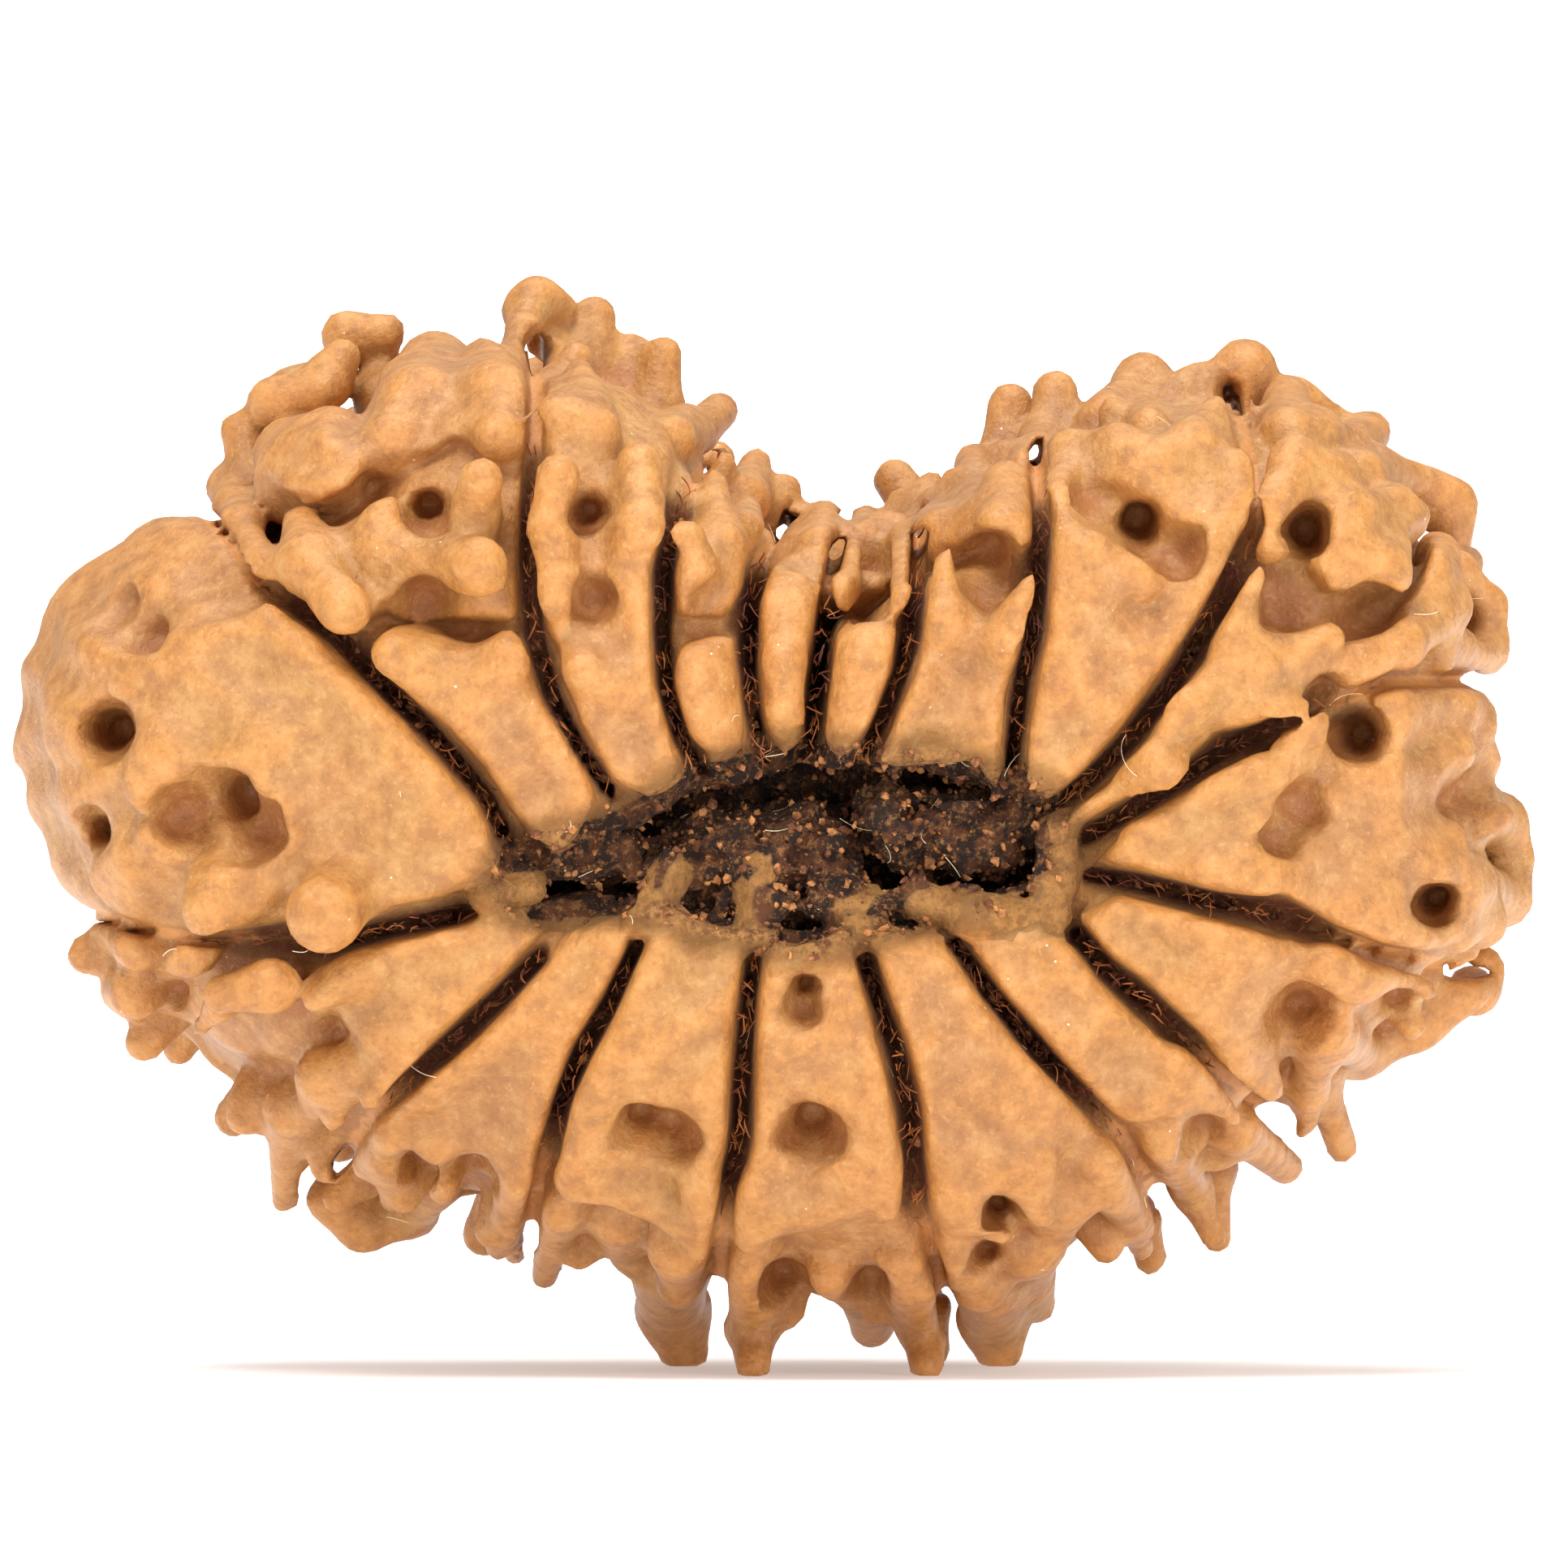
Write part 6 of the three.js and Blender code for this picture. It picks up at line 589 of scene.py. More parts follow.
@dataclass
class Form:
    """The bead's form as fields that are negative in the wood, the same as in the part's source."""

    centre: tuple[float, float] = CENTRE
    half_depth: float = HALF_DEPTH
    bulge: float = BULGE
    angles: Array = field(init=False)
    radii: Array = field(init=False)

    def __post_init__(self) -> None:
        """Round the outline's corners and keep its radius for every angle about the centre."""
        corners = np.array(OUTLINE) - self.centre
        before, after, far = (np.roll(corners, step, axis=0) for step in (1, -1, -2))
        stretches = ((before, corners), (corners, after), (after, far))
        gaps = [np.linalg.norm(b - a, axis=1)[:, None] ** 0.5 for a, b in stretches]
        into = (after - corners) / gaps[1]
        leave = (corners - before) / gaps[0] - (after - before) / (gaps[0] + gaps[1]) + into
        arrive = into - (far - corners) / (gaps[1] + gaps[2]) + (far - after) / gaps[2]
        leave, arrive = leave * gaps[1], arrive * gaps[1]
        t = np.linspace(0, 1, 64, endpoint=False)[:, None, None]
        square = -3 * corners + 3 * after - 2 * leave - arrive
        cube = 2 * corners - 2 * after + leave + arrive
        points = (corners + leave * t + square * t**2 + cube * t**3).reshape(-1, 2)
        angles = np.arctan2(points[:, 1], points[:, 0]) % math.tau
        order = np.argsort(angles)
        self.angles, self.radii = angles[order], np.hypot(points[:, 0], points[:, 1])[order]

    def outline_radius(self, angle: Array) -> Array:
        """Give the outline's radius at an angle about the centre."""
        return np.interp(np.mod(angle, math.tau), self.angles, self.radii, period=math.tau)

    def share(self, x: Array, z: Array) -> Array:
        """Give how far out points of the face lie: 0 at the centre, 1 on the outline."""
        dx, dz = x - self.centre[0], z - self.centre[1]
        return np.hypot(dx, dz) / self.outline_radius(np.arctan2(dz, dx))

    def mouth_distance(self, x: Array, z: Array) -> Array:
        """Measure the signed distance in the face's plane to the mouth.

        Args:
            x: The points' x.
            z: The points' z.

        Returns:
            The distance, negative inside the mouth.
        """
        nearest = np.full(np.shape(x), np.inf)
        for a, b in zip(MOUTH, MOUTH[1:]):
            away, t = segment_distance(x, z, a, b)
            nearest = np.minimum(nearest, away - (a[2] + (b[2] - a[2]) * t))
        return nearest

    def mouth_dip(self, x: Array, z: Array) -> Array:
        """Give how far the face dips towards the mouth."""
        away = np.maximum(self.mouth_distance(x, z), 0) / MOUTH_DIP["reach"]
        return MOUTH_DIP["depth"] * np.exp(-away * away)

    def face_depth(self, x: Array, z: Array) -> Array:
        """Give how far the smooth face stands in front of the middle plane.

        Args:
            x: The points' x.
            z: The points' z.

        Returns:
            The depth, 0 past the outline.
        """
        share = np.minimum(self.share(x, z), 1)
        depth = self.half_depth * (1 - share**self.bulge) ** (1 / self.bulge) - self.mouth_dip(x, z)
        return np.where(share >= 1, 0, depth)

    def body_distance(self, x: Array, y: Array, z: Array) -> Array:
        """Measure near enough the signed distance to the smooth body.

        Args:
            x: The points' x.
            y: The points' y.
            z: The points' z.

        Returns:
            The distance, negative inside.
        """
        dx, dz = x - self.centre[0], z - self.centre[1]
        radius = self.outline_radius(np.arctan2(dz, dx))
        share, height = np.hypot(dx, dz) / radius, np.abs(y) / self.half_depth
        size = np.maximum((share**self.bulge + height**self.bulge) ** (1 / self.bulge), 1e-6)
        outward = (share / size) ** (self.bulge - 1) / radius
        sideways = (height / size) ** (self.bulge - 1) / self.half_depth
        return (size - 1) / np.maximum(np.hypot(outward, sideways), 1 / radius)

    def normal(self, x: float, y: float, z: float) -> Array:
        """Give the smooth body's outward direction at a point.

        Args:
            x: The point's x.
            y: The point's y.
            z: The point's z.

        Returns:
            The direction, of length 1.
        """
        at = np.array([[x, y, z]] * 3)
        step = 0.05 * np.eye(3)
        slope = self.body_distance(*(at + step).T) - self.body_distance(*(at - step).T)
        return slope / np.linalg.norm(slope)

    def chain_nodes(self, chain: list[list[float]]) -> Array:
        """Place a chain's nodes of x, z, lift and radius: x, y, z and radius of each."""
        depths = [float(self.face_depth(x, z)) + lift for x, z, lift, _ in chain]
        return np.array([[x, -depth, z, r * FULLNESS] for (x, z, _, r), depth in zip(chain, depths)])

    def swell(self, x: Array, y: Array, z: Array) -> Array:
        """Give the gentle unevenness of the wood.

        Args:
            x: The points' x.
            y: The points' y.
            z: The points' z.

        Returns:
            How far the wood rises there.
        """
        w = SWELL["wave"]
        first = np.sin(w * x + 1.7 * np.sin(0.6 * w * z)) * np.sin(w * z + 1.1 * np.sin(0.5 * w * y))
        return SWELL["height"] * (first + np.sin(0.8 * w * y + 0.7 * w * x))

    def cleft_angle(self, cleft: list[list[float]], radius: Array) -> Array:
        """Give the angle at which a cleft crosses a circle round the centre.

        Args:
            cleft: The cleft's x and z, from the mouth outwards.
            radius: The circle's radius.

        Returns:
            The angle.
        """
        line = np.array(cleft) - self.centre
        reach = np.hypot(line[:, 0], line[:, 1])
        i = np.clip(np.searchsorted(reach, radius), 1, len(reach) - 1)
        t = np.clip((radius - reach[i - 1]) / (reach[i] - reach[i - 1]), 0, 1)
        x = line[i - 1, 0] + t * (line[i, 0] - line[i - 1, 0])
        return np.arctan2(line[i - 1, 1] + t * (line[i, 1] - line[i - 1, 1]), x)

    def segment_lift(self, x: Array, z: Array) -> Array:
        """Give the lift of the segment that each point of the face lies in.

        Args:
            x: The points' x.
            z: The points' z.

        Returns:
            The lift.
        """
        dx, dz = x - self.centre[0], z - self.centre[1]
        radius, angle = np.hypot(dx, dz), np.arctan2(dz, dx)
        ahead = np.stack([np.mod(angle - self.cleft_angle(line, radius), math.tau) for line in CLEFTS])
        return np.array(SEGMENT_LIFT)[np.argmin(ahead, axis=0)]

    @staticmethod
    def ground_drop(share: Array, side: Side) -> Array:
        """Give how far the wood lies below the plates' common face.

        Args:
            share: How far out the points lie, 0 at the centre and 1 on the outline.
            side: The half of the bead that they lie in.

        Returns:
            The drop.
        """
        rim = GROUND_DROP["rim"]
        middle = ease(GROUND_DROP["mouth"], GROUND_DROP["middle"], smooth_step(share, *FADE["groundMouth"]))
        return ease(rim if side is Side.BACK else middle, rim, smooth_step(share, *FADE["groundRim"]))

    @staticmethod
    def plate_distance(x: Array, z: Array, corners: list[list[float]]) -> Array:
        """Measure the signed distance in the face's plane to a closed outline.

        Args:
            x: The points' x.
            z: The points' z.
            corners: The outline's x and z.

        Returns:
            The distance, negative inside.
        """
        nearest, inside = np.full(np.shape(x), np.inf), np.zeros(np.shape(x), dtype=bool)
        for a, b in zip(corners[-1:] + corners[:-1], corners):
            nearest = np.minimum(nearest, segment_distance(x, z, a, b)[0])
            if a[1] != b[1]:
                crosses = x < a[0] + (z - a[1]) * (b[0] - a[0]) / (b[1] - a[1])
                inside ^= ((a[1] > z) != (b[1] > z)) & crosses
        return np.where(inside, -nearest, nearest)

    def grooves(self, x: Array, z: Array, side: Side) -> dict[str, Array]:
        """Work out what the clefts do to each place of the face.

        Args:
            x: The points' x.
            z: The points' z.
            side: The half of the bead: at its back the clefts run in closer to the stem's scar.

        Returns:
            The cleft's gap and depth, the segment's lift and the mouth's dip.
        """
        dx, dz = x - self.centre[0], z - self.centre[1]
        back = side is Side.BACK
        scar = np.exp(-((np.hypot(dx, dz) / BACK_PULL["reach"]) ** 2))
        pull = 1 + BACK_PULL["gain"] * scar if back else 1
        px, pz = self.centre[0] + dx * pull, self.centre[1] + dz * pull
        share = self.share(px, pz)
        distance = np.full(np.shape(x), np.inf)
        for cleft in CLEFTS:
            for a, b in zip(cleft, cleft[1:]):
                distance = np.minimum(distance, segment_distance(px, pz, a, b)[0])
        inner, outer = smooth_step(share, *FADE["mouth"]), smooth_step(share, *FADE["rim"])
        width = ease(CLEFT_HALF_WIDTH["mouth"], CLEFT_HALF_WIDTH["middle"], inner)
        width = ease(width, CLEFT_HALF_WIDTH["rim"], outer)
        return {
            "width": width,
            "distance": distance / pull,
            "depth": ease(CLEFT_DEPTH["face"], CLEFT_DEPTH["rim"], outer),
            "drop": self.ground_drop(share, side),
            "lift": self.segment_lift(px, pz),
            "dip": np.zeros(np.shape(x)) if back else self.mouth_dip(x, z),
        }

    def body(self, x: Array, y: Array, z: Array, groove: dict[str, Array]) -> Array:
        """Measure the distance to the body with its swells and the dip round its mouth."""
        return self.body_distance(x, y, z) + groove["dip"] - groove["lift"] - self.swell(x, y, z)


@dataclass
class Skin:
    """A closed skin of triangles: a point a row, and a triangle's three point numbers a row."""

    points: Array
    triangles: Array

    EVEN = ((0, 1, 2), (1, 2, 0), (2, 0, 1))
    ODD = ((0, 2, 1), (2, 1, 0), (1, 0, 2))
    LONE = ((0, 1, 2, 3), (1, 0, 3, 2), (2, 0, 1, 3), (3, 0, 2, 1))
    PAIR = ((0, 1, 2, 3), (0, 2, 3, 1), (0, 3, 1, 2), (1, 2, 0, 3), (1, 3, 2, 0), (2, 3, 0, 1))

    @classmethod
    def around(cls, values: Array, low: Array, cell: float) -> "Skin":
        """Find the skin in the six tetrahedra that each cell splits into.

        Args:
            values: The samples, negative inside.
            low: The first sample's place.
            cell: The space between samples.

        Returns:
            The skin.
        """
        shape = values.shape
        steps = (shape[1] * shape[2], shape[2], 1)
        flat = values.ravel()
        wet = flat < 0
        block = wet.reshape(shape)
        total = sum(
            block[i : shape[0] - 1 + i, j : shape[1] - 1 + j, k : shape[2] - 1 + k].astype(np.int8)
            for i in (0, 1)
            for j in (0, 1)
            for k in (0, 1)
        )
        base = np.ravel_multi_index(np.nonzero((total > 0) & (total < 8)), shape)
        found = []
        for path in cls.EVEN + cls.ODD:
            sign = 1 if path in cls.EVEN else -1
            corners = np.cumsum([base] + [np.full_like(base, steps[axis]) for axis in path], axis=0)
            code = sum(wet[corners[n]].astype(int) << n for n in range(4))
            for n, order in enumerate(cls.LONE):
                a, b, c, d = order
                rims = ((a, b), (a, c), (a, d))
                found.append(cls._cut(corners[:, code == 1 << n], rims, sign))
                found.append(cls._cut(corners[:, code == 15 - (1 << n)], rims, -sign))
            for a, b, c, d in cls.PAIR:
                both = corners[:, code == (1 << a) + (1 << b)]
                found.append(cls._cut(both, ((a, c), (a, d), (b, d)), sign))
                found.append(cls._cut(both, ((a, c), (b, d), (b, c)), sign))
        edges = np.concatenate(found).reshape(-1, 2)
        edges.sort(axis=1)
        keys, triangles = np.unique(edges[:, 0] * flat.size + edges[:, 1], return_inverse=True)
        a, b = keys // flat.size, keys % flat.size
        t = np.clip(flat[a] / (flat[a] - flat[b]), 0.04, 0.96)[:, None]
        start, end = (np.stack(np.unravel_index(n, shape), axis=1) for n in (a, b))
        return cls(low + cell * (start + t * (end - start)), triangles.reshape(-1, 3))

    @staticmethod
    def _cut(corners: Array, rims: tuple, sign: int) -> Array:
        """Give the cut edges of each triangle, turned to face out.

        Args:
            corners: The tetrahedra's corners, a column each.
            rims: The three edges that are cut, as pairs of corners.
            sign: 1 where the triangle faces out as it is, -1 where it is turned.

        Returns:
            Three edges a row.
        """
        triangle = np.stack([corners[list(rim)] for rim in rims]).transpose(2, 0, 1)
        return triangle if sign > 0 else triangle[:, ::-1]

    def keep_largest(self) -> None:
        """Drop loose scraps and sealed hollows: keep the connected skin with the most triangles."""
        label = np.arange(len(self.points))
        while True:
            low = label[self.triangles].min(axis=1)
            before = label.copy()
            for n in range(3):
                np.minimum.at(label, self.triangles[:, n], low)
            label = label[label]
            if np.array_equal(before, label):
                break
        groups, counts = np.unique(label[self.triangles[:, 0]], return_counts=True)
        self.triangles = self.triangles[label[self.triangles[:, 0]] == groups[np.argmax(counts)]]
        used, self.triangles = np.unique(self.triangles, return_inverse=True)
        self.triangles = self.triangles.reshape(-1, 3)
        self.points = self.points[used]

    def average(self, values: Array) -> Array:
        """Give the mean of each vertex's neighbours.

        Args:
            values: One row a vertex.

        Returns:
            One row a vertex.
        """
        here, there = self.triangles.ravel(), np.roll(self.triangles, -1, axis=1).ravel()
        count = np.maximum(np.bincount(here, minlength=len(values)), 1)
        sums = [np.bincount(here, weights=column[there], minlength=len(values)) for column in values.T]
        return np.stack(sums, axis=1) / count[:, None]

    def relax(self, steps: tuple[float, ...]) -> None:
        """Even out the saw teeth that sampling leaves; what lies on the ground stays on it.

        Args:
            steps: How far each round moves the points towards their neighbours' mean.
        """
        grounded = np.abs(self.points[:, 2]) < 1e-6
        for step in steps:
            self.points = self.points + step * (self.average(self.points) - self.points)
            self.points[grounded, 2] = 0

    def normals(self) -> Array:
        """Give each vertex's outward direction.

        Returns:
            One row a vertex, of length 1.
        """
        a, b, c = (self.points[self.triangles[:, n]] for n in range(3))
        face = np.cross(b - a, c - a)
        total = np.zeros_like(self.points)
        for n in range(3):
            for axis in range(3):
                corner = self.triangles[:, n]
                total[:, axis] += np.bincount(corner, weights=face[:, axis], minlength=len(total))
        return total / np.maximum(np.linalg.norm(total, axis=1, keepdims=True), 1e-12)


@dataclass
class Wood:
    """The bead's wood, pith and tongues, grown as one skin."""

    form: Form
    cell: float = 0.22
    low: tuple[float, float, float] = (-20.0, -13.6, -0.33)
    high: tuple[float, float, float] = (20.0, 13.0, 28.0)
    mouth_low: tuple[float, float] = (-9.0, 8.0)
    mouth_high: tuple[float, float] = (9.0, 18.0)
    fine_height: float = 0.035
    fine_wave: float = 1.6
    crumb_heights: tuple[float, float] = (0.1, 0.05)
    crumb_waves: tuple[float, float] = (1.1, 0.5)
    rim_reach: float = 0.7
    rim_height: float = 0.1
    rim_wave: float = 0.85
    values: Array = field(init=False)
    axes: list[Array] = field(init=False)

    def grow(self) -> Skin:
        """Sample the whole form and find its skin.

        Returns:
            The skin, in millimetres.
        """
        count = [math.ceil((h - l) / self.cell) + 1 for l, h in zip(self.low, self.high)]
        self.axes = [l + self.cell * np.arange(n) for l, n in zip(self.low, count)]
        x, y, z = self.axes[0][:, None, None], self.axes[1][None, :, None], self.axes[2][None, None, :]
        face_x, face_z = np.meshgrid(self.axes[0], self.axes[2], indexing="ij")
        front, back = (self.form.grooves(face_x, face_z, side) for side in Side)
        groove = {key: np.where(y > 0, back[key][:, None, :], front[key][:, None, :]) for key in front}
        body = self.form.body(x, y, z, groove)
        near = np.abs(body) < SKIN_REACH
        self.values = body + groove["drop"]
        body = np.where(near, body + self.fine_height * waves(x, y, z, self.fine_wave, 2), body)
        self.add_plates(body)
        self.add_hidden_rows()
        for chain in FACE_RELIEF:
            self.add_chain(chain)
        width = groove["width"] * (CLEFT_FLARE["top"] + CLEFT_FLARE["slope"] * np.clip(body, -SKIN_REACH, 0))
        gap = width - groove["distance"] - np.maximum(body - CLEFT_REACH, 0)
        lobes = smooth_max(self.values, gap, SHOULDER)
        cleft = smooth_min(lobes, body + groove["depth"], CLEFT_FLARE["floor"])
        self.values = np.where(near, cleft, self.values)
        self.cut_pits()
        self.open_mouth()
        self.values = np.maximum(self.values, -z)
        skin = Skin.around(self.values, np.array(self.low), self.cell)
        skin.keep_largest()
        skin.relax(RELAX_STEPS)
        return skin

    def change(self, low: Array, high: Array, rule: Callable[..., Array]) -> None:
        """Change the samples in a box.

        Args:
            low: The box's lowest corner.
            high: The box's highest corner.
            rule: Takes the samples and their x, y and z, and gives the new samples.
        """
        first = np.maximum(np.ceil((np.array(low) - self.low) / self.cell).astype(int), 0)
        last = np.floor((np.array(high) - self.low) / self.cell).astype(int) + 1
        i, j, k = (slice(a, max(a, b)) for a, b in zip(first, last))
        x, y, z = self.axes[0][i, None, None], self.axes[1][None, j, None], self.axes[2][None, None, k]
        self.values[i, j, k] = rule(self.values[i, j, k], x, y, z)

    def change_rod(self, a: Array, b: Array, reach: float, rule: Callable[[Array, Array], Array]) -> None:
        """Change the samples round a tapered rod with round ends.

        Args:
            a: The start's x, y, z and radius.
            b: The end's x, y, z and radius.
            reach: How far past the rod samples change.
            rule: Takes the samples and their distance to the rod.
        """
        pad = max(a[3], b[3]) + reach
        low, high = np.minimum(a[:3], b[:3]) - pad, np.maximum(a[:3], b[:3]) + pad
        self.change(low, high, lambda value, x, y, z: rule(value, rod_distance(x, y, z, a, b)))

    def add_plates(self, body: Array) -> None:
        """Add the plates, each as high as the face, with a slightly raised edge.

        Args:
            body: The distance to the smooth body at every sample.
        """
        for lift, *corners in PLATES:
            outline = np.array(corners)
            (low_x, low_z), (high_x, high_z) = outline.min(axis=0) - 1, outline.max(axis=0) + 1
            i = slice(*np.searchsorted(self.axes[0], (low_x, high_x)))
            j = slice(0, int(np.searchsorted(self.axes[1], 0)))
            k = slice(*np.searchsorted(self.axes[2], (low_z, high_z)))
            x, z = np.meshgrid(self.axes[0][i], self.axes[2][k], indexing="ij")
            edge = self.form.plate_distance(x, z, corners)[:, None, :]
            side = edge + PLATE["spread"] * np.minimum(body[i, j, k] - lift, 0)
            raised = 1 - smooth_step(-edge, PLATE["strip"], PLATE["fade"])
            top = body[i, j, k] - lift - PLATE["rim"] * raised
            plate = smooth_max(side, top, PLATE["edge"])
            self.values[i, j, k] = smooth_min(self.values[i, j, k], plate, PLATE["web"])

    def add_rod(self, a: Array, b: Array) -> None:
        """Add a rod with a flared foot."""
        self.change_rod(a, b, WEB, lambda value, rod: smooth_min(value, rod, WEB))

    def cut_pit(self, a: Array, b: Array) -> None:
        """Cut a rod away, with a wall that strays a little from round.

        Args:
            a: The start's x, y, z and radius.
            b: The end's x, y, z and radius.
        """
        pad = max(a[3], b[3]) + PIT_EDGE + PIT_WOBBLE["height"]
        w = PIT_WOBBLE["wave"]

        def cut(value: Array, x: Array, y: Array, z: Array) -> Array:
            """Cut the rod's samples."""
            wobble = PIT_WOBBLE["height"] * np.sin(w * x + 1.3 * np.sin(w * z)) * np.sin(w * z)
            return smooth_max(value, wobble - rod_distance(x, y, z, a, b), PIT_EDGE)

        self.change(np.minimum(a[:3], b[:3]) - pad, np.maximum(a[:3], b[:3]) + pad, cut)

    def add_chain(self, chain: list[list[float]]) -> None:
        """Add a chain of nodes on the face, rooted in the wood.

        Args:
            chain: Nodes of x, z, lift and radius.
        """
        nodes = self.form.chain_nodes(chain)
        self.add_rod(nodes[0] + [0, ROOT, 0, 0], nodes[0])
        for a, b in zip(nodes, nodes[1:]):
            self.add_rod(a, b)

    def add_hidden_rows(self) -> None:
        """Add the rows of knobs from the rim over the back, drawn as in the part's source."""
        draw = repeatable(SEED)
        for turn_degrees, height, thickness, gap in HIDDEN_ROWS:
            turn = math.radians(turn_degrees)
            share = math.cos(turn) ** (2 / BULGE)
            y = math.copysign(HALF_DEPTH * abs(math.sin(turn)) ** (2 / BULGE), turn)
            for n, cleft in enumerate(CLEFTS):
                if n == 0 and turn_degrees < SMOOTH_TURN:
                    continue
                rough = share * self.form.outline_radius(self.form.cleft_angle(cleft, ROUGH_RADIUS))
                start, following = (self.form.cleft_angle(line, rough) for line in (cleft, CLEFTS[n - 1]))
                span = (following - start) % math.tau
                count = max(1, math.floor(span * rough / gap + 0.5))
                for i in range(count):
                    angle = start + span * (i + 0.35 + 0.3 * draw()) / count
                    radius = self.form.outline_radius(angle) * share
                    x, z = CENTRE[0] + radius * math.cos(angle), CENTRE[1] + radius * math.sin(angle)
                    out = self.form.normal(x, y, z)
                    rise, thick = height * (0.6 + 0.8 * draw()), thickness * (0.8 + 0.4 * draw())
                    lean = np.array([draw() - 0.5, draw() - 0.5, draw() - 0.5])
                    tip = np.array([x, y, z]) + (out + lean) * rise
                    tip[2] = max(tip[2], LOWEST_KNOB + thick)
                    foot = [x, y, z] - HIDDEN_KNOB["root"] * out
                    self.add_rod(np.append(foot, thick), np.append(tip, thick * HIDDEN_KNOB["taper"]))

    def cut_pits(self) -> None:
        """Cut the pits of the face."""
        for x, z, radius, depth, dx, dz in FACE_PITS:
            y = -float(self.form.face_depth(x, z))
            top = np.array([x, y, z, radius * PIT_TAPER["top"]])
            self.cut_pit(top - [0, PIT_CLEARANCE, 0, 0], top)
            self.cut_pit(top, np.array([x + dx, y + depth, z + dz, radius * PIT_TAPER["floor"]]))

    def open_mouth(self) -> None:
        """Cut the mouth and set the pith and the tongues into it."""
        floor = MOUTH_DEPTH - HALF_DEPTH
        low = [self.mouth_low[0], self.low[1], self.mouth_low[1]]
        high = [self.mouth_high[0], floor + 1, self.mouth_high[1]]

        def opening(value: Array, x: Array, y: Array, z: Array) -> Array:
            """Cut the mouth's pocket."""
            away = self.form.mouth_distance(x + 0 * z, z + 0 * x)
            return smooth_max(value, -np.maximum(away, y - floor), PIT_EDGE)

        self.change(low, high, opening)
        for x, z, half_width, half_height, deep in PITH:
            middle = deep + PITH_HALF_DEPTH - HALF_DEPTH

            def lump(value: Array, px: Array, py: Array, pz: Array) -> Array:
                """Add a lump of pith with a crumbly face.

                Args:
                    value: The samples.
                    px: Their x.
                    py: Their y.
                    pz: Their z.

                Returns:
                    The new samples.
                """
                reach = ((px - x) / half_width, (py - middle) / PITH_HALF_DEPTH, (pz - z) / half_height)
                size = sum(np.abs(share) ** PITH_BULGE for share in reach) ** (1 / PITH_BULGE)
                scales = zip(self.crumb_heights, self.crumb_waves, (3, 4))
                rough = sum(height * waves(px, py, pz, wave, seed) for height, wave, seed in scales)
                return smooth_min(value, (size - 1) * min(half_width, half_height) + rough, PITH_EDGE)

            first = [x - half_width - 1, self.low[1], z - half_height - 1]
            self.change(first, [x + half_width + 1, middle + PITH_HALF_DEPTH, z + half_height + 1], lump)
        for tongue in TONGUES:
            self.add_chain(tongue)

        def crumble(value: Array, x: Array, y: Array, z: Array) -> Array:
            """Roughen the wood round the mouth."""
            away = np.maximum(self.form.mouth_distance(x + 0 * z, z + 0 * x), 0)
            rough = self.rim_height * waves(x, y, z, self.rim_wave, 5)
            return value + np.exp(-((away / self.rim_reach) ** 2)) * rough

        self.change(low, high, crumble)


class Sock:
    """A shader socket that adds Math nodes when it is used in an expression."""

    def __init__(self, material: "Finish", socket: bpy.types.NodeSocket) -> None:
        """Wrap one output socket of a material."""
        self.material = material
        self.socket = socket

    def _math(self, operation: str, *values: "Sock | float") -> "Sock":
        """Add a Math node over values."""
        return self.material.node("ShaderNodeMath", {"operation": operation}, dict(enumerate(values)))[0]

    def __add__(self, other: "Sock | float") -> "Sock":
        """Add."""
        return self._math("ADD", self, other)

    __radd__ = __add__

    def __sub__(self, other: "Sock | float") -> "Sock":
        """Subtract."""
        return self._math("SUBTRACT", self, other)

    def __rsub__(self, other: float) -> "Sock":
        """Subtract from a number."""
        return self._math("SUBTRACT", other, self)

    def __mul__(self, other: "Sock | float") -> "Sock":
        """Multiply."""
        return self._math("MULTIPLY", self, other)

    __rmul__ = __mul__

    def clamp(self) -> "Sock":
        """Keep within 0 to 1."""
        return self.material.node("ShaderNodeClamp", {}, {0: self})[0]

    def step(self, low: float, high: float) -> "Sock":
        """Rise smoothly from 0 at low to 1 at high."""
        settings = {"interpolation_type": "SMOOTHSTEP"}
        values = {"Value": self, "From Min": low, "From Max": high}
        return self.material.node("ShaderNodeMapRange", settings, values)[0]


Colour = tuple[float, float, float]


def linear(red: int, green: int, blue: int) -> Colour:
    """Turn a screen colour of 0 to 255, each over 10, into the shader's linear one."""
    return tuple(((shade / 255 + 0.055) / 1.055) ** 2.4 for shade in (red, green, blue))


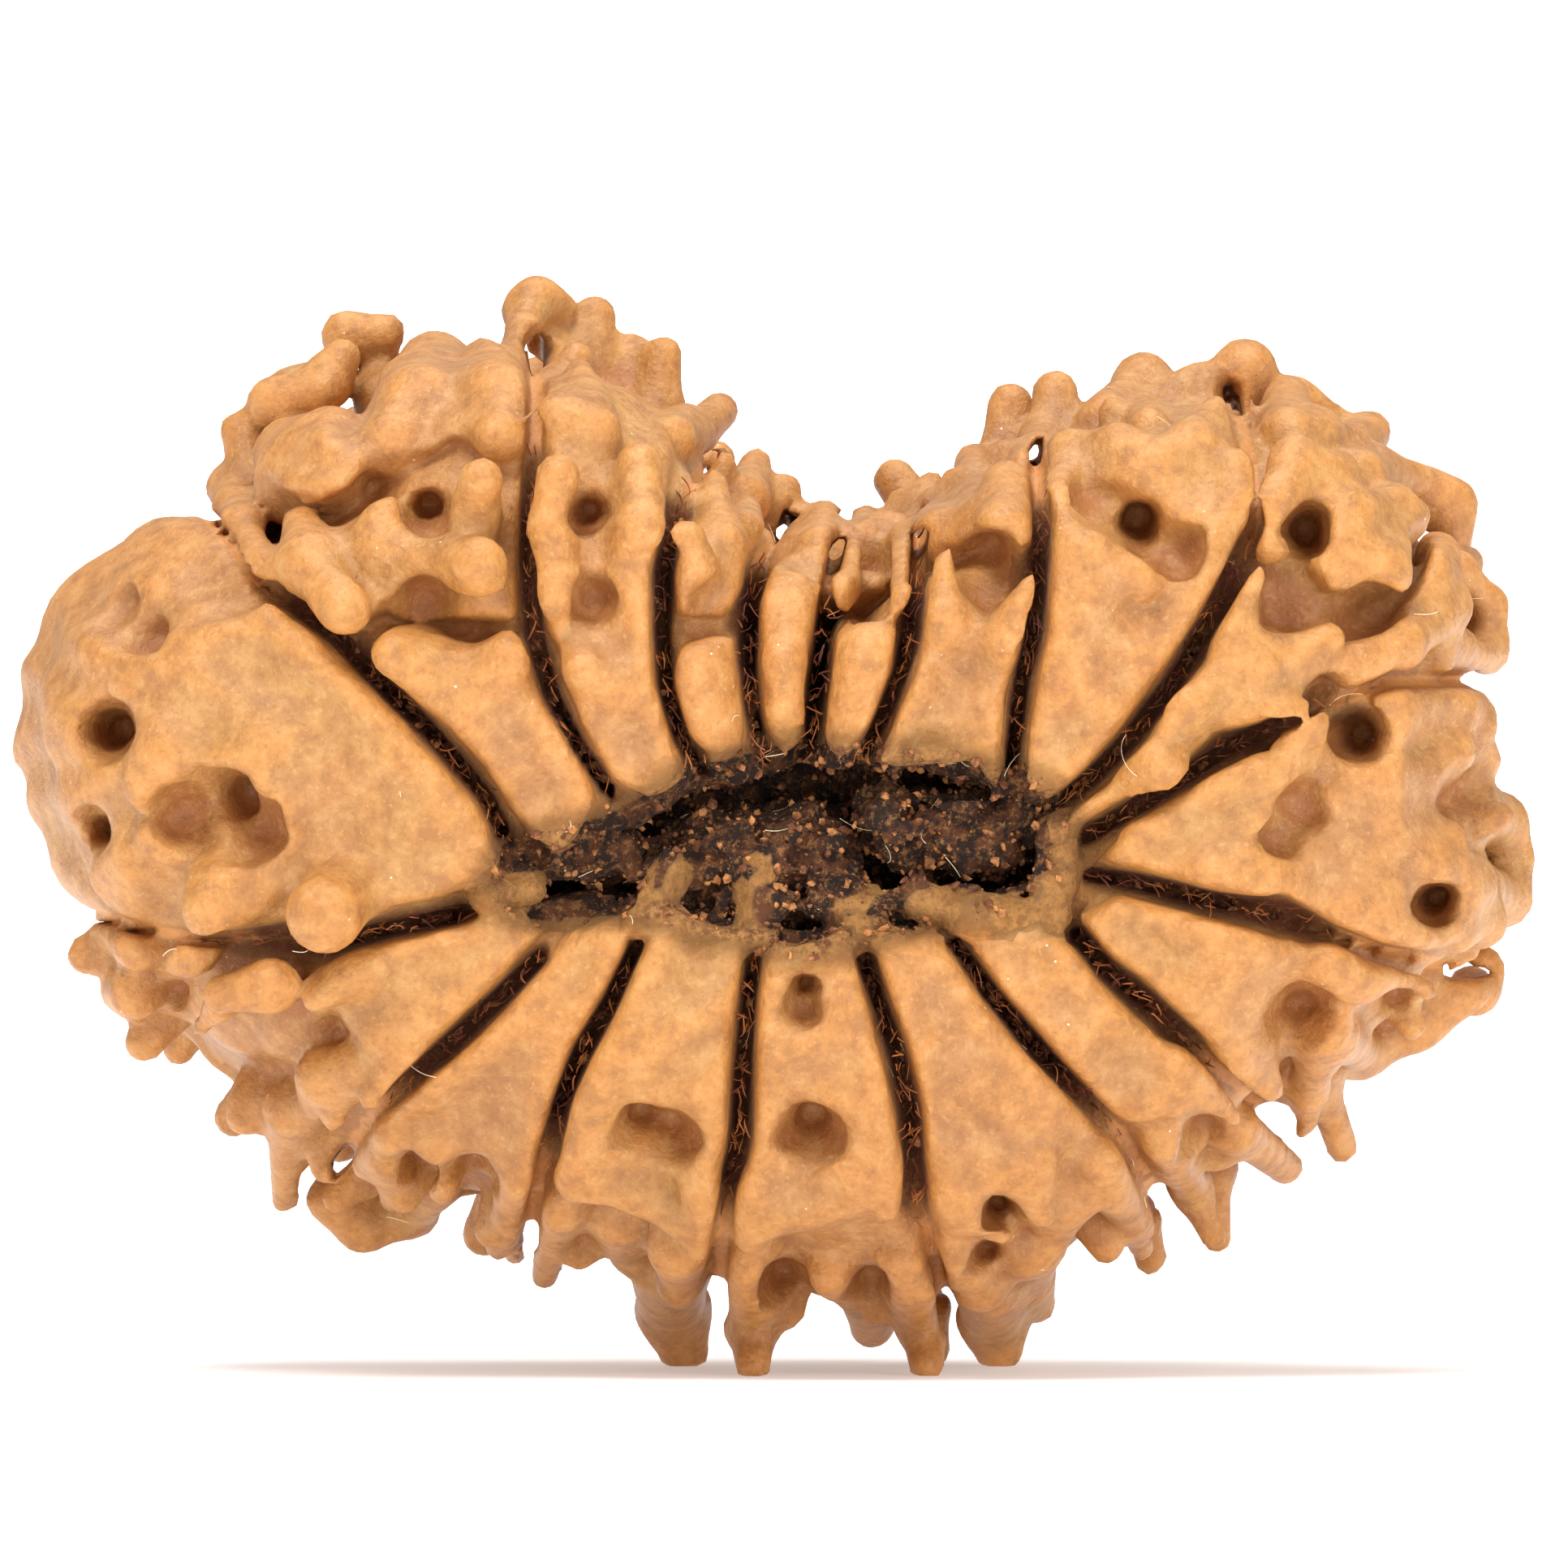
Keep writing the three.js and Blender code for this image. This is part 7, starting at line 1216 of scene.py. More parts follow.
class Finish:
    """A material built by expressions."""

    def __init__(self, name: str) -> None:
        """Start an empty material with its shader.

        Args:
            name: The material's name.
        """
        self.data = bpy.data.materials.new(name)
        self.data.use_nodes = True
        self.nodes, self.links = self.data.node_tree.nodes, self.data.node_tree.links
        self.shader = self.nodes["Principled BSDF"]
        self.place = self.node("ShaderNodeTexCoord", {}, {})["Object"]

    def node(self, kind: str, settings: dict, values: dict) -> "Outputs":
        """Add a node.

        Args:
            kind: The node's type.
            settings: Attributes to set on it.
            values: Input name or number to a value or a socket.

        Returns:
            Its outputs.
        """
        node = self.nodes.new(kind)
        for key, value in settings.items():
            setattr(node, key, value)
        for key, value in values.items():
            self.put(node.inputs[key], value)
        return Outputs(self, node)

    def put(self, target: bpy.types.NodeSocket, value: object) -> None:
        """Link a socket to an input, or set the input's value.

        Args:
            target: The input.
            value: A socket, a colour or a plain value.
        """
        if isinstance(value, Sock):
            self.links.new(value.socket, target)
        elif isinstance(value, tuple) and len(value) == 3 and target.type == "RGBA":
            target.default_value = (*value, 1)
        else:
            target.default_value = value

    def attribute(self, name: str) -> Sock:
        """Read a number that the piece holds for every vertex."""
        return self.node("ShaderNodeAttribute", {"attribute_name": name}, {})["Fac"]

    def noise(self, per_mm: float, detail: float = 3, rough: float = 0.55) -> Sock:
        """Give noise of 0 to 1 with so many waves in a millimetre."""
        values = {"Vector": self.place, "Scale": per_mm / MM, "Detail": detail, "Roughness": rough}
        return self.node("ShaderNodeTexNoise", {}, values)["Fac"]

    def mix(self, share: Sock | float, a: Sock | Colour, b: Sock | Colour) -> Sock:
        """Mix two colours.

        Args:
            share: 0 for the first, 1 for the second.
            a: The first.
            b: The second.

        Returns:
            The mixed colour.
        """
        node = self.nodes.new("ShaderNodeMix")
        node.data_type = "RGBA"
        self.put(node.inputs[0], share)
        self.put(node.inputs[6], a)
        self.put(node.inputs[7], b)
        return Sock(self, node.outputs[2])

    def bump(self, height: Sock, depth_mm: float) -> None:
        """Raise the surface by a height of 0 to 1 times a depth."""
        values = {"Height": height, "Distance": depth_mm * MM, "Strength": 1.0}
        self.put(self.shader.inputs["Normal"], self.node("ShaderNodeBump", {}, values)[0])


class Outputs:
    """A node's outputs as wrapped sockets."""

    def __init__(self, material: Finish, node: bpy.types.Node) -> None:
        """Keep the node."""
        self.material = material
        self.outputs = node.outputs

    def __getitem__(self, key: int | str) -> Sock:
        """Give one output."""
        return Sock(self.material, self.outputs[key])


@dataclass(frozen=True)
class WoodFinish:
    """The bare, faintly oiled shell: tan on the faces, orange on the knobs, dark in the clefts, shade painted
    in its recesses.
    """

    tan: Colour = linear(187, 134, 74)
    rosy: Colour = linear(183, 127, 74)
    orange: Colour = linear(208, 140, 68)
    brown: Colour = linear(150, 98, 54)
    pale: Colour = linear(222, 176, 116)
    # Painted shade laid into the recesses: first an olive-tinted darkening, then a deeper brown.
    olive_painted_shade: Colour = linear(168, 118, 64)
    shade: Colour = linear(174, 110, 62)
    cleft: Colour = linear(162, 94, 54)
    dust: Colour = linear(214, 148, 84)
    pith: Colour = linear(142, 84, 46)
    rot: Colour = linear(62, 36, 22)
    crumb: Colour = linear(226, 158, 92)
    rind: Colour = linear(252, 182, 104)
    lint: Colour = linear(244, 226, 196)
    roughness: float = 0.42
    specular: float = 0.46

    def material(self) -> bpy.types.Material:
        """Build the material.

        Returns:
            The material.
        """
        m = Finish("bead_wood")
        names = ("crest", "hollow_shade", "cleft", "crack", "pith", "tongue", "ring")
        marks = {name: m.attribute(name) for name in names}
        noises = {
            "broad": m.noise(0.12, 2),
            "cloudy": m.noise(0.5, 4),
            "coarse": m.noise(1.3, 5, 0.7),
            "mottle": m.noise(1.7, 7, 0.68),
            "grain": m.noise(3.4, 7, 0.75),
            "flecks": m.noise(4.5, 6, 0.8),
            "fine": m.noise(6.5, 3),
        }
        wood = self.clefts(m, marks, noises, self.face(m, marks, noises))
        wood = self.mouth(m, marks, noises, wood)
        specks = m.node("ShaderNodeTexVoronoi", {}, {"Vector": m.place, "Scale": 1.5 / MM})["Distance"]
        speck = (1 - specks.step(0.035, 0.06)) * m.noise(0.9, 1).step(0.5, 0.6)
        m.put(m.shader.inputs["Base Color"], m.mix(speck * 0.8, wood, self.lint))
        self.relief(m, marks, noises)
        return m.data

    def face(self, m: Finish, marks: dict[str, Sock], noises: dict[str, Sock]) -> Sock:
        """Colour the wood of the faces and the knobs, with shade painted into their recesses.

        Args:
            m: The material.
            marks: What the piece holds for every vertex.
            noises: The noises by name.

        Returns:
            The colour.
        """
        hollow_shade, mottle, fine = marks["hollow_shade"], noises["mottle"], noises["fine"]
        face = m.mix(noises["broad"].step(0.38, 0.62), self.tan, self.rosy)
        face = m.mix(noises["cloudy"].step(0.45, 0.75) * 0.4, face, self.orange)
        # Painted shade: the wood darkens to olive, then brown, where it lies below its smoothed skin.
        face = m.mix(hollow_shade.step(0.05, 0.5) * 0.5, face, self.olive_painted_shade)
        face = m.mix(hollow_shade.step(0.3, 0.95) * 0.75, face, self.shade)
        face = m.mix(marks["crest"].step(0.52, 0.95) * 0.65, face, self.orange)
        face = m.mix(mottle.step(0.46, 0.66) * 0.55, face, self.brown)
        face = m.mix((1 - mottle.step(0.34, 0.5)) * 0.3, face, self.pale)
        face = m.mix(fine.step(0.56, 0.74) * 0.35, face, self.pale)
        return m.mix((1 - fine.step(0.3, 0.42)) * 0.35, face, self.brown)

    def clefts(self, m: Finish, marks: dict[str, Sock], noises: dict[str, Sock], face: Sock) -> Sock:
        """Lay dust in the shallow cracks and dark fill in the clefts.

        Args:
            m: The material.
            marks: What the piece holds for every vertex.
            noises: The noises by name.
            face: The wood's colour.

        Returns:
            The colour.
        """
        grain = noises["grain"]
        dusty = m.mix((marks["crack"] + (grain - 0.5) * 0.9).step(0.5, 0.9) * 0.8, face, self.dust)
        fill = m.mix(grain.step(0.5, 0.66), self.cleft, self.dust)
        return m.mix((marks["cleft"] + (grain - 0.5) * 1.1).step(0.3, 0.75), dusty, fill)

    def mouth(self, m: Finish, marks: dict[str, Sock], noises: dict[str, Sock], wood: Sock) -> Sock:
        """Colour the mouth: its orange rim and tongues, and the dark crumbly pith.

        Args:
            m: The material.
            marks: What the piece holds for every vertex.
            noises: The noises by name.
            wood: The colour so far.

        Returns:
            The colour.
        """
        coarse, grain, flecks = noises["coarse"], noises["grain"] - 0.5, noises["flecks"]
        dark = m.mix(coarse.step(0.46, 0.6), self.rot, self.pith)
        dark = m.mix(flecks.step(0.5, 0.62) * 0.8, dark, self.crumb)
        under = m.mix(coarse.step(0.44, 0.58), self.pith, self.dust)
        rim = m.mix(flecks.step(0.42, 0.58), under, self.rind)
        wood = m.mix((marks["ring"] + grain * 1.2).step(0.4, 0.95), wood, rim)
        wood = m.mix((marks["pith"] + grain * 0.8).step(0.4, 0.6), wood, dark)
        tip = m.mix(flecks.step(0.4, 0.56), self.dust, self.rind)
        return m.mix((marks["tongue"] + grain * 1.4).step(0.4, 0.8), wood, tip)

    def relief(self, m: Finish, marks: dict[str, Sock], noises: dict[str, Sock]) -> None:
        """Set the gloss and the bump: smooth on the faces, crumbly in the mouth and the clefts.

        Args:
            m: The material.
            marks: What the piece holds for every vertex.
            noises: The noises by name.
        """
        cleft, pith, ring = marks["cleft"], marks["pith"], marks["ring"]
        rough = self.roughness + (noises["cloudy"] - 0.5) * 0.2 + (cleft + pith + ring) * 0.5
        m.put(m.shader.inputs["Roughness"], rough.clamp())
        m.shader.inputs["Specular IOR Level"].default_value = self.specular
        crumbly = (pith + ring * 0.7 + marks["tongue"] * 0.7 + cleft).clamp()
        crumbs = (noises["grain"] + noises["flecks"] * 0.5) * crumbly * 9
        m.bump(noises["fine"] * 0.4 + noises["mottle"] * 0.8 + crumbs, 0.1)


@dataclass(frozen=True)
class FibreFinish:
    """The curly bark fibres in the clefts."""

    dark: Colour = linear(100, 44, 24)
    light: Colour = linear(186, 112, 54)
    roughness: float = 0.75

    def material(self) -> bpy.types.Material:
        """Build the material.

        Returns:
            The material.
        """
        m = Finish("cleft_fibre")
        m.put(m.shader.inputs["Base Color"], m.mix(m.noise(0.8, 2).step(0.42, 0.62), self.dark, self.light))
        m.shader.inputs["Roughness"].default_value = self.roughness
        return m.data


def make_piece(name: str, points: Array, faces: Array, finish: bpy.types.Material) -> bpy.types.Object:
    """Make a piece of the object from points in metres and let it ride on the body.

    Args:
        name: The piece's name.
        points: One row a vertex.
        faces: One row a face.
        finish: Its material.

    Returns:
        The new object.
    """
    mesh = bpy.data.meshes.new(name)
    mesh.from_pydata(points.tolist(), [], faces.tolist())
    mesh.update()
    mesh.materials.append(finish)
    piece = bpy.data.objects.new(name, mesh)
    bpy.context.scene.collection.objects.link(piece)
    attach(piece, BODY)
    return piece


def pick_out(piece: bpy.types.Object) -> None:
    """Make a piece the only one that is selected, and the active one."""
    bpy.ops.object.select_all(action="DESELECT")
    bpy.context.view_layer.objects.active = piece
    piece.select_set(True)


def face_outwards(piece: bpy.types.Object) -> None:
    """Turn the faces of every strand or crumb of a piece outwards."""
    pick_out(piece)
    bpy.ops.object.mode_set(mode="EDIT")
    bpy.ops.mesh.select_all(action="SELECT")
    bpy.ops.mesh.normals_make_consistent(inside=False)
    bpy.ops.object.mode_set(mode="OBJECT")


def strand_faces(first: int, stations: int) -> list[tuple[int, int, int, int]]:
    """Give the sides of a thin three-sided strand.

    Args:
        first: The number of its first vertex.
        stations: How many rings of three vertices it has.

    Returns:
        Four vertex numbers a face.
    """
    rows = [first + 3 * n for n in range(stations - 1)]
    turns = ((0, 1), (1, 2), (2, 0))
    return [(row + a, row + b, row + 3 + b, row + 3 + a) for row in rows for a, b in turns]


@dataclass(frozen=True)
class Reach:
    """Over which distances in millimetres each mark of the skin rises from 0 to 1."""

    crest: float = 0.7
    # The depths below the smoothed skin over which the painted shade of the recesses rises.
    small_hollow: tuple[float, float] = (0.03, 0.3)
    wide_hollow: tuple[float, float] = (0.05, 0.7)
    cleft_side: tuple[float, float] = (-0.5, 0.0)
    cleft_depth: tuple[float, float] = (0.6, 1.6)
    crack_half_width: float = 0.12
    crack_side: tuple[float, float] = (-0.1, 0.0)
    crack_depth: tuple[float, float] = (0.0, 0.3)
    mouth_wall: tuple[float, float] = (-0.9, -0.2)
    mouth_wall_depth: tuple[float, float] = (0.3, 0.7)
    mouth_floor: tuple[float, float] = (-0.1, 0.15)
    tongue: tuple[float, float] = (-0.22, -0.06)
    ring: tuple[float, float] = (-1.1, -0.1)
    ring_end: tuple[float, float] = (-0.05, 0.15)
    mouth_back: float = -2.0


@dataclass
class Bead:
    """The bead's fine skin with what its finish needs to know of every vertex."""

    form: Form
    reach: Reach = Reach()
    smoothings: tuple[int, int] = (20, 80)
    most_triangles: int = 196_000
    shift: Array = field(init=False)

    def build(self, finish: bpy.types.Material) -> bpy.types.Object:
        """Grow the skin, thin it where it is flat, and mark its crests, hollows, clefts and pith.

        Args:
            finish: The wood's material.

        Returns:
            The piece.
        """
        skin = Wood(self.form).grow()
        middle = (skin.points.min(axis=0) + skin.points.max(axis=0)) / 2
        self.shift = middle * [1, 1, 0]
        LOG.info("skin: %d triangles, middle at %s mm", len(skin.triangles), middle.round(3))
        piece = make_piece("bead_shell", (skin.points - self.shift) * MM, skin.triangles, finish)
        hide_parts(NODE)
        self.thin(piece, len(skin.triangles))
        self.mark(piece)
        piece.data.polygons.foreach_set("use_smooth", [True] * len(piece.data.polygons))
        return piece

    def thin(self, piece: bpy.types.Object, triangles: int) -> None:
        """Take out the vertices that change the form least, down to the most triangles.

        Args:
            piece: The piece.
            triangles: How many triangles it has.
        """
        pick_out(piece)
        thinner = piece.modifiers.new("thin", "DECIMATE")
        thinner.ratio = min(1.0, self.most_triangles / triangles)
        bpy.ops.object.modifier_apply(modifier=thinner.name)

    def mark(self, piece: bpy.types.Object) -> None:
        """Store each vertex's crest, hollow, cleft, crack, pith, tongue and ring shares.

        Args:
            piece: The thinned piece.
        """
        mesh, reach = piece.data, self.reach
        points, corners = np.empty(len(mesh.vertices) * 3), np.empty(len(mesh.loops), dtype=int)
        mesh.vertices.foreach_get("co", points)
        mesh.loops.foreach_get("vertex_index", corners)
        skin = Skin(points.reshape(-1, 3) / MM + self.shift, corners.reshape(-1, 3))
        x, y, z = skin.points.T
        small, wide = self.crests(skin)
        front, back = (self.form.grooves(x, z, side) for side in Side)
        groove = {key: np.where(y > 0, back[key], front[key]) for key in front}
        deep = -self.form.body(x, y, z, groove)
        beside = smooth_step(groove["width"] - groove["distance"], *reach.cleft_side)
        crack = smooth_step(reach.crack_half_width - groove["distance"], *reach.crack_side)
        mouth, ahead = -self.form.mouth_distance(x, z), y < reach.mouth_back
        wall = smooth_step(mouth, *reach.mouth_wall) * smooth_step(deep, *reach.mouth_wall_depth)
        inside = np.maximum(wall, smooth_step(mouth, *reach.mouth_floor)) * ahead
        ring = smooth_step(mouth, *reach.ring) * (1 - smooth_step(mouth, *reach.ring_end)) * ahead
        tongue = smooth_step(-self.tongue_distance(x, y, z), *reach.tongue)
        # Painted shade: this mark darkens the wood's colour where the skin lies below its smoothed self.
        dents = smooth_step(-small, *reach.small_hollow) * 0.5 + smooth_step(-wide, *reach.wide_hollow) * 0.75
        marks = {
            "crest": np.clip(0.5 + small / reach.crest, 0, 1),
            "hollow_shade": np.clip(dents, 0, 1),
            "cleft": beside * smooth_step(deep, *reach.cleft_depth),
            "crack": crack * smooth_step(deep, *reach.crack_depth),
            "pith": inside * (1 - tongue),
            "tongue": tongue,
            "ring": ring * (1 - tongue),
        }
        for name, values in marks.items():
            mark = mesh.attributes.new(name, "FLOAT", "POINT")
            mark.data.foreach_set("value", values.astype(np.float32))
        LOG.info("bead_shell: %d triangles", len(mesh.polygons))

    def crests(self, skin: Skin) -> list[Array]:
        """Give how far each vertex stands out from the skin smoothed a little and smoothed a lot.

        Args:
            skin: The skin.

        Returns:
            Two heights a vertex, in millimetres.
        """
        normals, smooth, heights = skin.normals(), skin.points, []
        for rounds in self.smoothings:
            for _ in range(rounds):
                smooth = skin.average(smooth)
            heights.append(((skin.points - smooth) * normals).sum(axis=1))
        return heights

    def tongue_distance(self, x: Array, y: Array, z: Array) -> Array:
        """Measure the distance to the nearest woody tongue.

        Args:
            x: The points' x.
            y: The points' y.
            z: The points' z.

        Returns:
            The distance, negative inside.
        """
        nearest = np.full(len(x), np.inf)
        for chain in TONGUES:
            nodes = self.form.chain_nodes(chain)
            for a, b in zip(nodes, nodes[1:]):
                nearest = np.minimum(nearest, rod_distance(x, y, z, a, b))
        return nearest


@dataclass(frozen=True)
class CrumbFinish:
    """The loose crumbs of dried pith, dark and light."""

    dark: Colour = linear(110, 62, 34)
    light: Colour = linear(208, 140, 78)
    roughness: float = 0.8

    def material(self) -> bpy.types.Material:
        """Build the material.

        Returns:
            The material.
        """
        m = Finish("mouth_crumb")
        share = m.noise(1.6, 4, 0.7).step(0.42, 0.66)
        m.put(m.shader.inputs["Base Color"], m.mix(share, self.dark, self.light))
        m.bump(m.noise(12, 4), 0.03)
        m.shader.inputs["Roughness"].default_value = self.roughness
        return m.data


@dataclass(frozen=True)
class LintFinish:
    """The pale threads of lint on the wood."""

    thread: Colour = linear(246, 226, 190)
    roughness: float = 0.6

    def material(self) -> bpy.types.Material:
        """Build the material.

        Returns:
            The material.
        """
        m = Finish("lint")
        m.shader.inputs["Base Color"].default_value = (*self.thread, 1)
        m.shader.inputs["Roughness"].default_value = self.roughness
        return m.data


@dataclass
class Spots:
    """Places on a piece's skin where loose things can lie."""

    points: Array
    normals: Array

    @classmethod
    def on(cls, piece: bpy.types.Object, weights: dict[str, float], least: float) -> "Spots":
        """Pick the vertices whose marks add up to enough.

        Args:
            piece: The piece with its marks.
            weights: How much each mark counts.
            least: The least sum.

        Returns:
            The spots, in metres.
        """
        mesh, total = piece.data, 0.0
        for name, weight in weights.items():
            values = np.empty(len(mesh.vertices))
            mesh.attributes[name].data.foreach_get("value", values)
            total = total + weight * values
        points, normals = np.empty(len(mesh.vertices) * 3), np.empty(len(mesh.vertices) * 3)
        mesh.vertices.foreach_get("co", points)
        mesh.vertex_normals.foreach_get("vector", normals)
        fit = (total > least) & (normals.reshape(-1, 3)[:, 1] < 0.3)
        return cls(points.reshape(-1, 3)[fit], normals.reshape(-1, 3)[fit])


@dataclass
class MouthCrumbs:
    """Crumbs of dried pith on the mouth's floor and rim and in the clefts."""

    count: int = 4600
    radius: tuple[float, float] = (0.02, 0.13)
    uneven: float = 0.3
    flatness: tuple[float, float] = (0.6, 1.25)
    stand: float = 0.3
    seed: int = 8

    def build(self, bead: bpy.types.Object, finish: bpy.types.Material) -> bpy.types.Object:
        """Scatter uneven lumps, sunk a little in the skin.

        Args:
            bead: The piece that they lie on.
            finish: The crumbs' material.

        Returns:
            The piece.
        """
        rng = np.random.default_rng(self.seed)
        spots = Spots.on(bead, {"pith": 1.0, "ring": 0.75, "tongue": 0.4, "cleft": 0.45}, 0.4)
        bpy.ops.mesh.primitive_ico_sphere_add(subdivisions=1, radius=1)
        ball = bpy.context.active_object
        corners = np.array([vertex.co[:] for vertex in ball.data.vertices])
        sides = np.array([face.vertices[:] for face in ball.data.polygons])
        bpy.data.objects.remove(ball)
        picks = rng.integers(0, len(spots.points), self.count)
        points, faces = [], []
        for n, pick in enumerate(picks):
            size = ease(*self.radius, rng.random() ** 3) * MM
            jolt = rng.uniform(*self.flatness, 3)
            lump = corners * jolt * (1 + rng.normal(0, self.uneven, (len(corners), 1)))
            turn = np.linalg.qr(rng.normal(0, 1, (3, 3)))[0]
            lump = lump @ (turn * np.sign(np.linalg.det(turn)))
            points.append(spots.points[pick] + spots.normals[pick] * size * self.stand + lump * size)
            faces.append(sides + n * len(corners))
        piece = make_piece("mouth_crumbs", np.concatenate(points), np.concatenate(faces), finish)
        face_outwards(piece)
        LOG.info("mouth_crumbs: %d triangles", len(piece.data.polygons))
        return piece


@dataclass
class CleftFibres:
    """Curly strands of bark left in the clefts."""

    form: Form
    shift: Array
    per_mm: float = 10.0
    length: float = 0.6
    thickness: float = 0.02
    taper: tuple[float, ...] = (1, 1, 1, 1, 0.9, 0.5)
    stray: float = 0.12
    depth: tuple[float, float] = (0.5, 1.5)
    outermost: float = 0.84
    seed: int = 5

    def build(self, finish: bpy.types.Material) -> bpy.types.Object:
        """Lay strands at random along every cleft of the face.

        Args:
            finish: The strands' material.

        Returns:
            The piece.
        """
        rng = np.random.default_rng(self.seed)
        points, faces = [], []
        for cleft in CLEFTS:
            for a, b in zip(cleft, cleft[1:]):
                a, b = np.array(a), np.array(b)
                for _ in range(round(np.linalg.norm(b - a) * self.per_mm)):
                    spot = a + (b - a) * rng.random() + rng.normal(0, self.stray, 2)
                    off_mouth = float(self.form.mouth_distance(*spot)) > -0.2
                    if off_mouth and float(self.form.share(*spot)) < self.outermost:
                        faces += strand_faces(3 * len(self.taper) * len(points), len(self.taper))
                        points.append(self.strand(rng, spot, b - a))
        mesh_points = (np.concatenate(points) - self.shift) * MM
        piece = make_piece("cleft_fibres", mesh_points, np.array(faces), finish)
        face_outwards(piece)
        LOG.info("cleft_fibres: %d triangles", 2 * len(faces))
        return piece

    def strand(self, rng: np.random.Generator, spot: Array, along: Array) -> Array:
        """Curl one strand.

        Args:
            rng: The random stream.
            spot: Its x and z.
            along: The cleft's direction there.

        Returns:
            Its vertices in millimetres, three a station.
        """
        stations = len(self.taper)
        line = [np.array([spot[0], rng.uniform(*self.depth) - float(self.form.face_depth(*spot)), spot[1]])]
        forward = np.array([along[0], 0, along[1]]) / np.linalg.norm(along)
        heading = forward * rng.choice([-1, 1]) + rng.normal(0, 0.5, 3)
        heading /= np.linalg.norm(heading)
        bend = rng.normal(0, 1.2, 3)
        step = self.length * rng.uniform(0.4, 1.2) / stations
        for _ in range(stations - 1):
            heading = heading + bend * step + rng.normal(0, 0.15, 3)
            heading /= np.linalg.norm(heading)
            line.append(line[-1] + heading * step)
        side = np.cross(heading, [0.3, 0.9, 0.2])
        side /= np.linalg.norm(side)
        turns = np.arange(3) * math.tau / 3
        ring = np.cos(turns)[:, None] * side + np.sin(turns)[:, None] * np.cross(heading, side)
        radius = self.thickness * rng.uniform(0.6, 1.2) * np.array(self.taper)
        return (np.array(line)[:, None, :] + radius[:, None, None] * ring[None]).reshape(-1, 3)


@dataclass
class Lint:
    """Pale threads of lint caught on the mouth, in the clefts and on the wood."""

    count: int = 130
    length: tuple[float, float] = (0.3, 1.5)
    thickness: float = 0.011
    stations: int = 12
    lift: float = 0.02
    bend: float = 2.5
    seed: int = 21

    def build(self, bead: bpy.types.Object, finish: bpy.types.Material) -> bpy.types.Object:
        """Lay curly threads over the skin.

        Args:
            bead: The piece that they lie on.
            finish: The threads' material.

        Returns:
            The piece.
        """
        rng = np.random.default_rng(self.seed)
        near = Spots.on(bead, {"pith": 1.0, "ring": 1.0, "cleft": 0.8, "crack": 0.6}, 0.3)
        far = Spots.on(bead, {"pith": 0.0}, -1.0)
        triangle = np.array([[1, 0, 0], [-0.5, 0.87, 0], [-0.5, -0.87, 0]])
        points, faces = [], []
        for n in range(self.count):
            spots = near if n % 3 else far
            pick = rng.integers(0, len(spots.points))
            line = self.thread(rng, spots.points[pick], spots.normals[pick])
            ring = triangle @ np.linalg.qr(rng.normal(0, 1, (3, 3)))[0]
            points.append((line[:, None, :] + self.thickness * MM * ring[None]).reshape(-1, 3))
            faces += strand_faces(3 * self.stations * n, self.stations)
        piece = make_piece("lint", np.concatenate(points), np.array(faces), finish)
        face_outwards(piece)
        LOG.info("lint: %d triangles", 2 * len(faces))
        return piece

    def thread(self, rng: np.random.Generator, start: Array, normal: Array) -> Array:
        """Draw one thread's middle line along the skin.

        Args:
            rng: The random stream.
            start: Where it starts, in metres.
            normal: The skin's direction there.

        Returns:
            The line's points, in metres.
        """
        length = ease(*self.length, rng.random() ** 2) * MM
        heading = np.cross(normal, rng.normal(0, 1, 3))
        heading /= np.linalg.norm(heading)
        side = np.cross(normal, heading)
        turns = rng.uniform(-self.bend, self.bend) * np.arange(self.stations) / self.stations
        steps = np.cos(turns)[:, None] * heading + np.sin(turns)[:, None] * side
        return start + (self.lift * MM) * normal + np.cumsum(steps, axis=0) * length / self.stations


@dataclass(frozen=True)
class Lamp:
    """A soft square light that faces the bead: its place and side in metres, and its power in watts."""

    name: str
    place: tuple[float, float, float]
    size: float
    power: float


